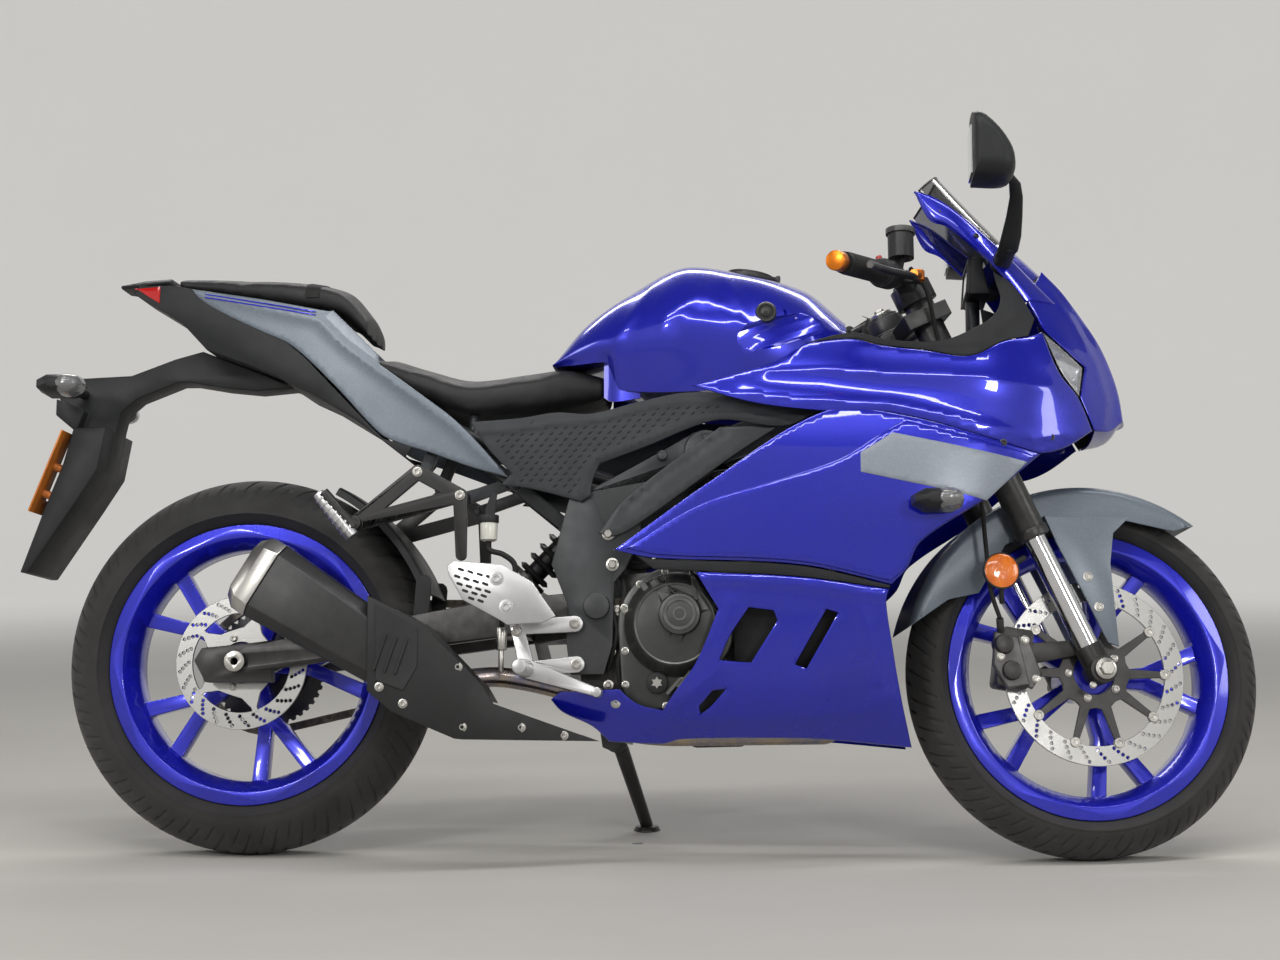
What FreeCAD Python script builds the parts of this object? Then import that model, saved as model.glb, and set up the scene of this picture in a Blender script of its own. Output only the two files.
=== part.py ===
"""A sport bike of the 300 cc class, parked on its side stand with the bars turned to the left.

Every piece is modelled in the upright bike frame: X forward from the rear axle's line, Y to the bike's
left, Z up from the ground, front wheel straight ahead. The last section leans the bike on its stand,
turns the steering, sets both tyres on the floor and puts the origin under the middle of the whole.
"""
import FreeCAD
import Part
import math
import os

import Sketcher
from FreeCAD import Placement, Rotation, Vector

doc = FreeCAD.newDocument("SportBike")

# Driving sizes: alias, value in millimetres or degrees.
SIZES = (
    ("wheelbase", 1380), ("rake_angle", 25), ("trail", 95),
    ("lean_angle", 8), ("steer_rest", 12), ("steer_lock", 34),
    ("front_tyre_radius", 293), ("front_crown_radius", 57),
    ("rear_tyre_radius", 314), ("rear_crown_radius", 72), ("crown_half_angle", 72),
    ("front_contact_angle", 12.875), ("rear_contact_angle", 8),
    ("bead_seat_radius", 218), ("rim_flange_radius", 234), ("rim_flange_width", 4.5),
    ("rim_well_radius", 200), ("rim_wall", 6),
    ("front_bead_half", 38), ("rear_bead_half", 50), ("bead_gap", 0.3),
    ("hub_radius", 34), ("hub_half_front", 58), ("hub_half_rear", 66),
    ("spoke_count", 5), ("spoke_half_thick", 14), ("spoke_root_half", 13), ("spoke_fork_radius", 112),
    ("spoke_fork_half", 18), ("spoke_outer_angle", 17), ("spoke_inner_angle", 9.5),
    ("axle_radius", 10), ("axle_bore_radius", 6), ("bearing_gap", 0.05), ("axle_nut_radius", 17),
    ("axle_nut_length", 9),
    ("front_disc_radius", 149), ("front_disc_inner", 116), ("front_disc_plane", 65),
    ("rear_disc_radius", 110), ("rear_disc_inner", 82), ("rear_disc_plane", 86),
    ("disc_thick", 4.5), ("carrier_inner_radius", 26), ("carrier_arm_half", 13),
    ("fork_spacing", 96), ("fork_outer_radius", 25), ("fork_inner_radius", 18.5),
    ("fork_outer_foot", 235), ("fork_outer_head", 705), ("fork_inner_foot", 45), ("fork_overlap", 30),
    ("lower_clamp", 500), ("upper_clamp", 636), ("clamp_thick", 26),
    ("stem_radius", 15), ("head_tube_radius", 27), ("head_bearing_gap", 0.1),
    ("grip_radius", 17), ("bar_radius", 11), ("bar_end_radius", 15.5), ("grip_length", 120),
    ("chain_pitch", 15.875), ("sprocket_teeth", 43), ("gearbox_teeth", 14),
    ("chain_height", 14), ("chain_width", 14), ("chain_plane", 92), ("chain_gap", 0.8),
    ("sprocket_thick", 6),
    ("cap_radius", 52), ("cap_ring_width", 9), ("cap_thick", 7), ("cap_gap", 0.5),
    ("panel_thick", 4), ("nose_thick", 7), ("seam_gap", 0.8), ("seat_gap", 0.3), ("frame_gap", 0.4), ("stay_radius", 8),
    ("stand_leg_radius", 11), ("stand_foot_radius", 24), ("stand_foot_thick", 8),
    ("stand_boss_radius", 17), ("stand_boss_length", 14), ("stand_pin_radius", 6),
    ("plate_thick", 3), ("plate_bolt_radius", 3.3), ("filler_radius", 20), ("filler_depth", 44),
)
sheet = doc.addObject("Spreadsheet::Sheet", "Sizes")
for row, (alias, value) in enumerate(SIZES, start=1):
    sheet.set("A%d" % row, alias)
    sheet.set("B%d" % row, str(value))
    sheet.setAlias("B%d" % row, alias)
doc.recompute()

# Places in the bike frame (x, y, z) or (x, z), in millimetres.
PIVOT = (594, 402)
GEARBOX_SHAFT = (655, 392)
STAND_PIVOT = (604, 134, 197)
STAND_FOOT_ON_FLOOR = (646, 262)
STAND_STOWED = (-213, 24, -12)
HEADER_PORTS = (918, 46, 616)
CAP_PLACE = (838, 0, 968)

ALONG_Y = Vector(0, 1, 0)
MID_PLANE = Vector(0, 0, 0)
TRIM = 1000
OVERLAP = 0.5


def size(name):
    """Read one driving size from the sheet."""
    return float(sheet.get(name))


def value(expression):
    """Work out an expression over the sheet's names."""
    return float(sheet.evalExpression(expression))


def cells(expression):
    """Write the sheet's name in front of every alias, as a bound expression needs it."""
    words = []
    word = ""
    for letter in expression + " ":
        if letter.isalnum() or letter == "_":
            word += letter
            continue
        words.append("Sizes." + word if word in ALIASES else word)
        words.append(letter)
        word = ""
    return "".join(words).strip()


ALIASES = {alias for alias, _ in SIZES}

# Shape helpers: each returns a solid or compound in the bike frame.


def prism(outline, y_from, y_to):
    """A side outline of (x, z) points, made solid between two lateral planes."""
    points = [Vector(x, y_from, z) for x, z in outline]
    face = Part.Face(Part.makePolygon(points + points[:1]))
    return face.extrude(Vector(0, y_to - y_from, 0))


def sections(rows, ruled=True):
    """A solid through closed polygons, each a list of (x, y, z) points of the same number."""
    wires = []
    for row in rows:
        points = [Vector(*point) for point in row]
        wires.append(Part.makePolygon(points + points[:1]))
    return Part.makeLoft(wires, True, ruled)


def rod(start, end, radius, end_radius=None):
    """A round bar, or a cone where the two radii differ."""
    start, end = Vector(*start), Vector(*end)
    along = end - start
    if end_radius is None or end_radius == radius:
        return Part.makeCylinder(radius, along.Length, start, along)
    return Part.makeCone(radius, end_radius, along.Length, start, along)


def sleeve(start, end, outer, inner):
    """A tube with a straight bore."""
    return rod(start, end, outer).cut(rod(start, end, inner))


def beam(start, end, height, width, end_height=None, end_width=None):
    """A box-section member between two points; height is across the run in its own upright plane."""
    start, end = Vector(*start), Vector(*end)
    along = (end - start).normalize()
    side = along.cross(Vector(0, 0, 1)).normalize()
    over = side.cross(along)
    rows = []
    for centre, tall, wide in ((start, height, width), (end, end_height or height, end_width or width)):
        rows.append([tuple(centre + side * (wide / 2 * a) + over * (tall / 2 * b))
                     for a, b in ((-1, -1), (1, -1), (1, 1), (-1, 1))])
    return sections(rows)


def arc_run(points, share=0.45):
    """A path of straight runs joined by tangent arcs, as large as the runs allow."""
    points = [Vector(*point) for point in points]
    edges = []
    start = points[0]
    for before, corner, after in zip(points, points[1:], points[2:]):
        back = (before - corner)
        ahead = (after - corner)
        run = share * min(back.Length, ahead.Length)
        back.normalize()
        ahead.normalize()
        half = back.getAngle(ahead) / 2
        inward = (back + ahead).normalize()
        centre = corner + inward * (run / math.cos(half))
        middle = centre - inward * (run * math.tan(half))
        first = corner + back * run
        last = corner + ahead * run
        edges.append(Part.LineSegment(start, first).toShape())
        edges.append(Part.Arc(first, middle, last).toShape())
        start = last
    edges.append(Part.LineSegment(start, points[-1]).toShape())
    return Part.Wire(edges)


def pipe(points, radius):
    """A round tube's outer form along straight runs and tangent arcs."""
    path = arc_run(points)
    first = Vector(*points[0])
    circle = Part.Wire([Part.makeCircle(radius, first, Vector(*points[1]) - first)])
    return path.makePipeShell([circle], True, False)


def link_plate(first, second, y_from, y_to):
    """A flat link with two round ends, each given as (x, z, radius)."""
    (ax, az, ar), (bx, bz, br) = first, second
    reach = math.hypot(bx - ax, bz - az)
    heading = math.atan2(bz - az, bx - ax)
    lean = math.acos((ar - br) / reach)
    points = []
    for x, z, radius, turn in ((ax, az, ar, lean), (bx, bz, br, lean), (bx, bz, br, -lean), (ax, az, ar, -lean)):
        angle = heading + turn
        points.append(Vector(x + radius * math.cos(angle), y_from, z + radius * math.sin(angle)))
    far = Vector(bx + br * math.cos(heading), y_from, bz + br * math.sin(heading))
    near = Vector(ax - ar * math.cos(heading), y_from, az - ar * math.sin(heading))
    wire = Part.Wire([
        Part.LineSegment(points[0], points[1]).toShape(), Part.Arc(points[1], far, points[2]).toShape(),
        Part.LineSegment(points[2], points[3]).toShape(), Part.Arc(points[3], near, points[0]).toShape()])
    return Part.Face(wire).extrude(Vector(0, y_to - y_from, 0))


def joined(*shapes):
    """One solid of pieces that meet."""
    return shapes[0].multiFuse(list(shapes[1:])).removeSplitter()


def pair(shape):
    """A right-hand piece and its mirror on the left."""
    return Part.makeCompound([shape, shape.mirror(MID_PLANE, ALONG_Y)])


def mirrored_whole(shape):
    """A right-hand half and its mirror, made one solid."""
    return shape.fuse(shape.mirror(MID_PLANE, ALONG_Y)).removeSplitter()


def half_body(levels, stations):
    """The right half of a body, from half-widths at height levels (columns) and x stations (rows)."""
    rows = []
    for x, widths in stations:
        side = [(x, -wide, z) for z, wide in zip(levels, widths)]
        rows.append(side + [(x, 0, levels[-1]), (x, 0, levels[0])])
    return sections(rows)


def skin(body, thick, back=0, down=0):
    """The outer wall of a right half body, as thick across the bike as given, and over its front where set."""
    inner = body.copy()
    inner.translate(Vector(-back, thick, -down))
    return body.cut(inner)


def panel(wall, outline, holes=()):
    """The part of a wall inside a side outline, with side-view openings cut."""
    piece = wall.common(prism(outline, -TRIM, OVERLAP))
    for hole in holes:
        piece = piece.cut(prism(hole, -TRIM, OVERLAP))
    return piece


def octagon(centre, along, half_height, half_width, bevel):
    """Eight corners of a bevelled box section across a run in the XZ plane."""
    along = Vector(*along).normalize()
    over = ALONG_Y.cross(along) * -1
    inner_h, inner_w = half_height - bevel, half_width - bevel
    corners = ((-inner_w, -half_height), (inner_w, -half_height), (half_width, -inner_h), (half_width, inner_h),
               (inner_w, half_height), (-inner_w, half_height), (-half_width, inner_h), (-half_width, -inner_h))
    return [tuple(Vector(*centre) + ALONG_Y * a + over * b) for a, b in corners]


# Document helpers: each makes one named object of the document.
pieces = []


def feature(label, frame, shape):
    """A free-form piece with its label and the body frame that it rides in."""
    thing = doc.addObject("Part::Feature", label)
    thing.Label = label
    thing.Shape = shape
    pieces.append((thing, frame))
    return thing


def drive(thing, **expressions):
    """Bind an object's properties to the sheet."""
    for name, expression in expressions.items():
        thing.setExpression(name, cells(expression))
    return thing


def outline_sketch(body, name, plane_role, points):
    """A closed sketch outline whose corners are bound to the sheet, each (across, up) an expression."""
    sketch = body.newObject("Sketcher::SketchObject", name)
    plane = [part for part in body.Origin.OriginFeatures if part.Role == plane_role][0]
    sketch.AttachmentSupport = (plane, [""])
    sketch.MapMode = "FlatFace"
    bound = [(cells(across), cells(up)) for across, up in points]
    corners = [Vector(value(across), value(up), 0) for across, up in bound]
    count = len(corners)
    for index in range(count):
        sketch.addGeometry(Part.LineSegment(corners[index], corners[(index + 1) % count]))
    for index in range(count):
        sketch.addConstraint(Sketcher.Constraint("Coincident", index, 2, (index + 1) % count, 1))
    for index, (corner, expressions) in enumerate(zip(corners, bound)):
        for kind, length, expression in zip(("DistanceX", "DistanceY"), (corner.x, corner.y), expressions):
            rule = sketch.addConstraint(Sketcher.Constraint(kind, -1, 1, index, 1, length))
            sketch.setExpression("Constraints[%d]" % rule, expression)
    return sketch


def revolve_outline(body, name, points, cut=False):
    """Turn an outline of (radius, lateral) corners about the Y axis, as a solid or a cut."""
    sketch = outline_sketch(body, name, "XY_Plane", points)
    kind = "PartDesign::Groove" if cut else "PartDesign::Revolution"
    turn = body.newObject(kind, name + "Turn")
    turn.Profile = sketch
    turn.ReferenceAxis = (sketch, ["V_Axis"])
    turn.Angle = 360
    return turn


def turned_piece(label, frame, points):
    """A body of one revolved outline about its own axle line."""
    body = doc.addObject("PartDesign::Body", label)
    body.Label = label
    revolve_outline(body, label + "_outline", points)
    pieces.append((body, frame))
    return body


# Wheels, modelled about their own axle at (0, 0, 0).


TYRE_BANDS = 2


def tyre(label, frame, radius, crown, bead, contact):
    """A tyre: a round crown of straight bands with a corner where it meets the floor, walls and beads."""
    half = [("bead_seat_radius + bead_gap", bead), ("rim_flange_radius + bead_gap", bead)]
    for step in range(TYRE_BANDS, -1, -1):
        turn = "((%s + (crown_half_angle - %s) * %s / %s) * 1deg)" % (contact, contact, step, TYRE_BANDS)
        half.append(("%s - %s + %s * cos%s" % (radius, crown, crown, turn), "%s * sin%s" % (crown, turn)))
    turned_piece(label, frame, half + [(across, "-(%s)" % up) for across, up in reversed(half)])


def rim(label, frame, bead, hub_half):
    """A cast wheel: flanged rim band, hub with an axle bore, and spokes that each fork in two."""
    body = doc.addObject("PartDesign::Body", label)
    body.Label = label
    half = [("rim_well_radius", "%s * 0.5" % bead), ("bead_seat_radius", "%s * 0.75" % bead),
            ("bead_seat_radius", "%s + bead_gap" % bead), ("rim_flange_radius", "%s + bead_gap" % bead),
            ("rim_flange_radius", "%s + rim_flange_width" % bead),
            ("bead_seat_radius - rim_wall", "%s + rim_flange_width" % bead),
            ("rim_well_radius - rim_wall", "%s * 0.5" % bead)]
    band = half + [(radius, "-(%s)" % across) for radius, across in reversed(half)]
    revolve_outline(body, label + "_band", band)
    reach = "(rim_well_radius - rim_wall / 2)"
    fork = [("hub_radius - 2", "spoke_root_half"), ("spoke_fork_radius - 14", "spoke_fork_half"),
            (reach + " * cos(spoke_outer_angle * 1deg)", reach + " * sin(spoke_outer_angle * 1deg)"),
            (reach + " * cos(spoke_inner_angle * 1deg)", reach + " * sin(spoke_inner_angle * 1deg)")]
    outline = fork + [("spoke_fork_radius", "0")] + [(across, "-(%s)" % up) for across, up in reversed(fork)]
    sketch = outline_sketch(body, label + "_spoke", "XZ_Plane", outline)
    spoke = body.newObject("PartDesign::Pad", label + "_spoke_pad")
    spoke.Profile = sketch
    spoke.Midplane = True
    drive(spoke, Length="spoke_half_thick * 2")
    pattern = body.newObject("PartDesign::PolarPattern", label + "_spokes")
    pattern.Originals = [spoke]
    pattern.Axis = (sketch, ["N_Axis"])
    pattern.Angle = 360
    drive(pattern, Occurrences="spoke_count")
    body.Tip = pattern
    revolve_outline(body, label + "_hub", [
        ("axle_radius + bearing_gap", "-%s" % hub_half), ("hub_radius", "-%s" % hub_half),
        ("hub_radius", hub_half), ("axle_radius + bearing_gap", hub_half)])
    revolve_outline(body, label + "_bore", [
        ("0", "-%s" % hub_half), ("axle_radius + bearing_gap", "-%s" % hub_half),
        ("axle_radius + bearing_gap", hub_half), ("0", hub_half)], cut=True)
    pieces.append((body, frame))
    return body


def disc(label, frame, outer, inner, plane, hub_half):
    """A brake disc: the braked band, five carrier arms and the flange that bolts to the hub."""
    body = doc.addObject("PartDesign::Body", label)
    body.Label = label
    near, far = "-(%s - disc_thick / 2)" % plane, "-(%s + disc_thick / 2)" % plane
    revolve_outline(body, label + "_band", [(inner, far), (outer, far), (outer, near), (inner, near)])
    sketch = outline_sketch(body, label + "_arm", "XZ_Plane", [
        ("carrier_inner_radius + 6", "-carrier_arm_half"), (inner + " + 4", "-carrier_arm_half * 0.6"),
        (inner + " + 4", "carrier_arm_half * 0.6"), ("carrier_inner_radius + 6", "carrier_arm_half")])
    drive(sketch, **{"AttachmentOffset.Base.z": "%s - disc_thick / 2" % plane})
    arm = body.newObject("PartDesign::Pad", label + "_arm_pad")
    arm.Profile = sketch
    drive(arm, Length="disc_thick")
    pattern = body.newObject("PartDesign::PolarPattern", label + "_arms")
    pattern.Originals = [arm]
    pattern.Axis = (sketch, ["N_Axis"])
    pattern.Angle = 360
    drive(pattern, Occurrences="spoke_count")
    body.Tip = pattern
    revolve_outline(body, label + "_flange", [
        ("carrier_inner_radius", far), ("hub_radius + 8", far), ("hub_radius + 8", "-(%s)" % hub_half),
        ("carrier_inner_radius", "-(%s)" % hub_half)])
    pieces.append((body, frame))
    return body


for wheel, bead, hub_half in (("front", "front_bead_half", "hub_half_front"), ("rear", "rear_bead_half", "hub_half_rear")):
    wheel_frame = wheel + "_wheel"
    tyre(wheel + "_tyre", wheel_frame, wheel + "_tyre_radius", wheel + "_crown_radius", bead, wheel + "_contact_angle")
    rim(wheel + "_rim", wheel_frame, bead, hub_half)
    disc(wheel + "_disc", wheel_frame, wheel + "_disc_radius", wheel + "_disc_inner", wheel + "_disc_plane", hub_half)

# The rear sprocket turns with its wheel; the chain's loop runs round it with a small gap.
pitch_radius = size("chain_pitch") / 2 / math.sin(math.pi / size("sprocket_teeth"))
gearbox_radius = size("chain_pitch") / 2 / math.sin(math.pi / size("gearbox_teeth"))
tooth_tip = pitch_radius - size("chain_height") / 2 - size("chain_gap")


def toothed_disc(centre, tip, teeth, bore, y_from, y_to):
    """A sprocket plate with one flat-topped tooth to each chain pitch."""
    x, z = centre
    tooth_depth = 5
    corners = []
    for tooth in range(teeth):
        for share, radius in ((0.0, tip - tooth_depth), (0.22, tip - tooth_depth), (0.42, tip), (0.8, tip)):
            turn = (tooth + share) / teeth * 2 * math.pi
            corners.append((x + radius * math.cos(turn), z + radius * math.sin(turn)))
    plate = prism(corners, y_from, y_to)
    return plate.cut(rod((x, y_from - 1, z), (x, y_to + 1, z), bore))


half_sprocket = size("sprocket_thick") / 2
rear_sprocket = joined(
    toothed_disc((0, 0), tooth_tip, int(size("sprocket_teeth")), 60,
                 size("chain_plane") - half_sprocket, size("chain_plane") + half_sprocket),
    rod((0, size("hub_half_rear"), 0), (0, size("chain_plane") + half_sprocket, 0), 72).cut(
        rod((0, 0, 0), (0, TRIM, 0), size("axle_nut_radius") + 6)))
feature("rear_sprocket", "rear_wheel", rear_sprocket)


def belt_wire(gap, y):
    """The chain's loop as two tangents and two arcs, set in or out from its pitch line."""
    (ax, az), (bx, bz) = (0, size("rear_tyre_radius")), GEARBOX_SHAFT
    ar, br = pitch_radius + gap, gearbox_radius + gap
    reach = math.hypot(bx - ax, bz - az)
    heading = math.atan2(bz - az, bx - ax)
    lean = math.acos((ar - br) / reach)
    spots = []
    for x, z, radius, turn in ((ax, az, ar, lean), (bx, bz, br, lean), (bx, bz, br, 0), (bx, bz, br, -lean),
                               (ax, az, ar, -lean), (ax, az, ar, math.pi)):
        spots.append(Vector(x + radius * math.cos(heading + turn), y, z + radius * math.sin(heading + turn)))
    return Part.Wire([
        Part.LineSegment(spots[0], spots[1]).toShape(), Part.Arc(spots[1], spots[2], spots[3]).toShape(),
        Part.LineSegment(spots[3], spots[4]).toShape(), Part.Arc(spots[4], spots[5], spots[0]).toShape()])


chain_low = size("chain_plane") - size("chain_width") / 2
half_chain = size("chain_height") / 2
chain_run = Vector(0, size("chain_width"), 0)
drive_chain = Part.Face(belt_wire(half_chain, chain_low)).extrude(chain_run).cut(
    Part.Face(belt_wire(-half_chain, chain_low)).extrude(chain_run))
feature("drive_chain", "chassis", drive_chain)

# Frame, engine and what hangs from them.
rake = math.radians(size("rake_angle"))
steer_axis = Vector(-math.sin(rake), 0, math.cos(rake))
steer_foot = Vector(size("wheelbase") + size("trail"), 0, 0)
fork_line = Vector(size("wheelbase"), 0, size("front_tyre_radius"))
axis_at_axle = steer_foot + steer_axis * ((fork_line - steer_foot).dot(steer_axis))


def on_axis(reach):
    """The point on the steering axis level with a fork station, counted up from the front axle."""
    return axis_at_axle + steer_axis * reach


def on_fork(reach, y):
    """The point on a fork leg's centre line, counted up from the front axle."""
    return fork_line + steer_axis * reach + Vector(0, y, 0)


def steer_turn(angle):
    """The steering's turn about its axis, left positive."""
    turn = Placement(MID_PLANE, Rotation(steer_axis, angle), steer_foot)
    return turn


BAR_ROOT = (1082, -114, 930)
BAR_TIP = (919, -345, 877)


def on_bar(y):
    """The point on the right bar's centre line at a lateral place."""
    root, tip = Vector(*BAR_ROOT), Vector(*BAR_TIP)
    return root + (tip - root) * ((y - root.y) / (tip.y - root.y))


# Bodywork comes from one envelope, right half-widths by height (columns) and station (rows).
BODY_LEVELS = (176, 235, 330, 450, 560, 640, 700, 760, 820, 880, 960)
BODY_STATIONS = (
    (500, (92, 142, 170, 184, 188, 186, 180, 170, 150, 130, 110)),
    (760, (110, 160, 187, 202, 208, 208, 200, 185, 165, 145, 125)),
    (960, (114, 164, 191, 208, 218, 214, 206, 194, 182, 165, 145)),
    (1090, (106, 156, 187, 206, 218, 214, 206, 196, 187, 175, 160)),
    (1200, (60, 100, 145, 182, 206, 205, 200, 194, 187, 176, 150)),
    (1290, (40, 60, 90, 130, 165, 176, 180, 176, 164, 140, 85)),
    (1350, (30, 45, 70, 100, 125, 140, 146, 140, 124, 90, 35)),
    (1410, (20, 30, 45, 60, 75, 88, 94, 84, 62, 25, 8)),
    (1455, (6, 8, 10, 12, 20, 32, 36, 26, 12, 8, 6)))
envelope = half_body(BODY_LEVELS, BODY_STATIONS)
body_wall = skin(envelope, size("panel_thick"))


KNEE_LEVELS = (540, 650, 760)
KNEE_STATIONS = ((330, (124, 128, 128)), (560, (148, 148, 140)), (820, (176, 172, 164)))
knee_body = half_body(KNEE_LEVELS, KNEE_STATIONS)
TAIL_LEVELS = (600, 700, 800, 900, 990)
TAIL_STATIONS = ((-270, (40, 46, 52, 54, 50)), (-90, (64, 70, 78, 82, 76)), (130, (98, 106, 112, 114, 106)),
                 (300, (114, 121, 126, 125, 118)), (470, (124, 131, 135, 131, 122)))
tail_body = half_body(TAIL_LEVELS, TAIL_STATIONS)
# Lamps: how far back and in their depth reaches. Instruments: their post's place and their underside.
LAMP_BACK, LAMP_IN = -14, 34
DASH_POST, DASH_FOOT = 1212, 925


def shifted(shape, x, y, z):
    """A copy of a shape, moved."""
    moved = shape.copy()
    moved.translate(Vector(x, y, z))
    return moved


def room_in(half, thick):
    """The whole space inside a right half body's wall, less the seat's gap."""
    right = shifted(half, 0, thick + size("seat_gap"), 0)
    return right.fuse(right.mirror(MID_PLANE, ALONG_Y))


def side_stays(places, half, thick=None):
    """Pairs of round stays from (x, inner y, z) out to the wall of a body."""
    bars = []
    for x, y, z in places:
        for side in (-1, 1):
            bars.append(rod((x, side * y, z), (x, side * 2 * y + side * 120, z), size("stay_radius")))
    return Part.makeCompound(bars).common(room_in(half, thick or size("panel_thick")))


HEAD_TUBE = (530, 606)
SPAR_KNEE = (770, 138, 652)
SHOCK_TOP = (578, 572)
SHOCK_HEAD_PIN = 12
CASE_HALF = 112
PLATE_Y = (127, 141)
# Pivot plate, side outline (x, z).
PIVOT_PLATE = ((548, 578), (640, 600), (668, 520), (640, 462), (622, 440), (620, 340), (606, 292), (552, 292),
               (545, 345), (548, 400), (520, 470))


def spar(side, grow=0.0):
    """One side's two-run spar; grow thickens it for the room that its neighbours leave."""
    high = on_axis(sum(HEAD_TUBE) / 2)
    knee = (SPAR_KNEE[0], side * SPAR_KNEE[1], SPAR_KNEE[2])
    start = (high.x - 6, side * 22, high.z - 14)
    return [beam(start, knee, 56 + grow, 24 + grow),
            beam(knee, (596, side * 134, 548), 70 + grow, 22 + grow, 90 + grow, 14 + grow),
            rod((knee[0], knee[1] - 11 - grow / 2, knee[2]), (knee[0], knee[1] + 11 + grow / 2, knee[2]), 35 + grow / 2)]


def spar_room():
    """The room round both spars."""
    grow = 2 * size("frame_gap")
    return joined(*spar(-1, grow), *spar(1, grow))


# Front stay: its end ahead of the head tube, the cross tube's place and the lamps' tube.
FRONT_STAY = (1238, 0, 828)
COWL_TUBE = (1264, 806)
LAMP_TUBE = (1347, 796)
RADIATOR_STAY = (1013, 58)
RADIATOR = (1000, 1026, 330, 545, 128)


def front_stay():
    """The stay ahead of the head tube that carries the cowl, the lamps and the instruments."""
    root = on_axis(568) + Vector(18, 0, 8)
    x, y, z = FRONT_STAY
    tube_x, tube_z = COWL_TUBE
    lamp_x, lamp_z = LAMP_TUBE
    cross = side_stays(((tube_x, 0, tube_z),), envelope)
    deep = shifted(envelope, LAMP_BACK, LAMP_IN + size("seat_gap"), 0)
    lamp_room = deep.fuse(deep.mirror(MID_PLANE, ALONG_Y))
    lamp_tube = rod((lamp_x, -TRIM / 5, lamp_z), (lamp_x, TRIM / 5, lamp_z), size("stay_radius")).common(lamp_room)
    return [beam(root, FRONT_STAY, 40, 40, 34, 34), beam((x - 16, 0, z), (lamp_x, 0, lamp_z), 28, 26, 22, 22),
            rod((x - 2, 0, z - 34), (x - 2, 0, z - 4), 12), *cross.Solids, *lamp_tube.Solids,
            rod((DASH_POST, 0, z - 4), (DASH_POST, 0, DASH_FOOT - size("seat_gap")), 12)]


def main_frame():
    """The head tube, two spars and the pivot plates, with the swingarm's pin and the engine's lugs."""
    head = sleeve(on_axis(HEAD_TUBE[0]), on_axis(HEAD_TUBE[1]), size("head_tube_radius"),
                  size("stem_radius") + size("head_bearing_gap"))
    parts = front_stay()
    for side in (-1, 1):
        parts.extend(spar(side))
        low, far = sorted((side * PLATE_Y[0], side * PLATE_Y[1]))
        parts.append(prism(PIVOT_PLATE, low, far))
        parts.append(rod((592, side * (CASE_HALF + 0.3), 322), (592, side * PLATE_Y[0], 322), 12))
        parts.append(rod((PIVOT[0], side * (PLATE_Y[1] - 1), PIVOT[1]), (PIVOT[0], side * (PLATE_Y[1] + 9), PIVOT[1]), 21))
        stay_x, stay_y = RADIATOR_STAY
        parts.append(rod((stay_x, side * stay_y, RADIATOR[3] + size("seat_gap")), (stay_x, side * stay_y, 730),
                         size("stay_radius")))
    parts.extend(side_stays(((700, 138, 645),), knee_body).Solids)
    x, z = SHOCK_TOP
    parts.append(rod((x, -PLATE_Y[0] - 2, z), (x, PLATE_Y[0] + 2, z), SHOCK_HEAD_PIN))
    parts.append(rod((PIVOT[0], -PLATE_Y[1] - 9, PIVOT[1]), (PIVOT[0], PLATE_Y[1] + 9, PIVOT[1]), size("axle_radius")))
    frame = joined(head, *parts)
    return frame.cut(rod(on_axis(HEAD_TUBE[0] - 20), on_axis(HEAD_TUBE[1] + 20),
                         size("stem_radius") + size("head_bearing_gap")))


PILLION_BOLTS = ((297, 623), (368, 584))
PILLION_Y = 128
SEAT_POSTS = ((0, 60, 856, 934.4), (380, 76, 686, 727))
SUBFRAME = ((612, 86, 612), (420, 84, 668), (120, 72, 812), (-120, 52, 905))


def subframe():
    """Two seat rails with their cross tubes, bolted behind the spars."""
    rails = []
    for side in (-1, 1):
        points = [(x, side * y, z) for x, y, z in SUBFRAME]
        rails.append(pipe(points, 11))
    for x, y, z in SUBFRAME[1:]:
        rails.append(rod((x, -y, z), (x, y, z), 9))
    stays = []
    for side in (-1, 1):
        stays.append(beam((560, side * 92, 520), (330, side * 82, 706), 22, 14))
        for (x, z), (high_x, high_z) in zip(PILLION_BOLTS, ((330, 700), (448, 612))):
            stays.append(beam((high_x, side * 83, high_z), (x, side * 83, z), 20, 12))
            stays.append(rod((x, side * 78, z), (x, side * (PILLION_Y - 0.3), z), 10))
    posts = []
    for x, y, z, top in SEAT_POSTS:
        for side in (-1, 1):
            posts.append(rod((x, side * y, z), (x, side * y, top - size("seat_gap")), size("stay_radius")))
    outs = [*side_stays(((455, 84, 607),), knee_body).Solids,
            *side_stays(((330, 82, 698), (60, 64, 834)), tail_body).Solids]
    return joined(*rails, *stays, *posts, *outs)


CRANKCASE = ((566, 334), (566, 250), (640, 222), (770, 216), (850, 240), (876, 310), (866, 400), (850, 440),
             (715, 462), (634, 456), (626, 345))
CYLINDERS = ((716, 455), (852, 436), (908, 596), (780, 640))
HEAD_BLOCK = ((776, 632), (910, 592), (934, 668), (884, 700), (800, 700))


def engine_cases():
    """The crankcase, cylinder block and head, open to view below the tank."""
    bosses = side_stays(((834, CASE_HALF - 4, 262),), envelope)
    return joined(prism(CRANKCASE, -CASE_HALF, CASE_HALF), prism(CYLINDERS, -96, 96), prism(HEAD_BLOCK, -106, 106),
                  *bosses.Solids)



CLUTCH = (722, 372, 94)
ARM_BOSS = 28
CLUTCH_FOOT = (684, 286, 50)
CLUTCH_BOSS = (730, 387, 33)


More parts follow.
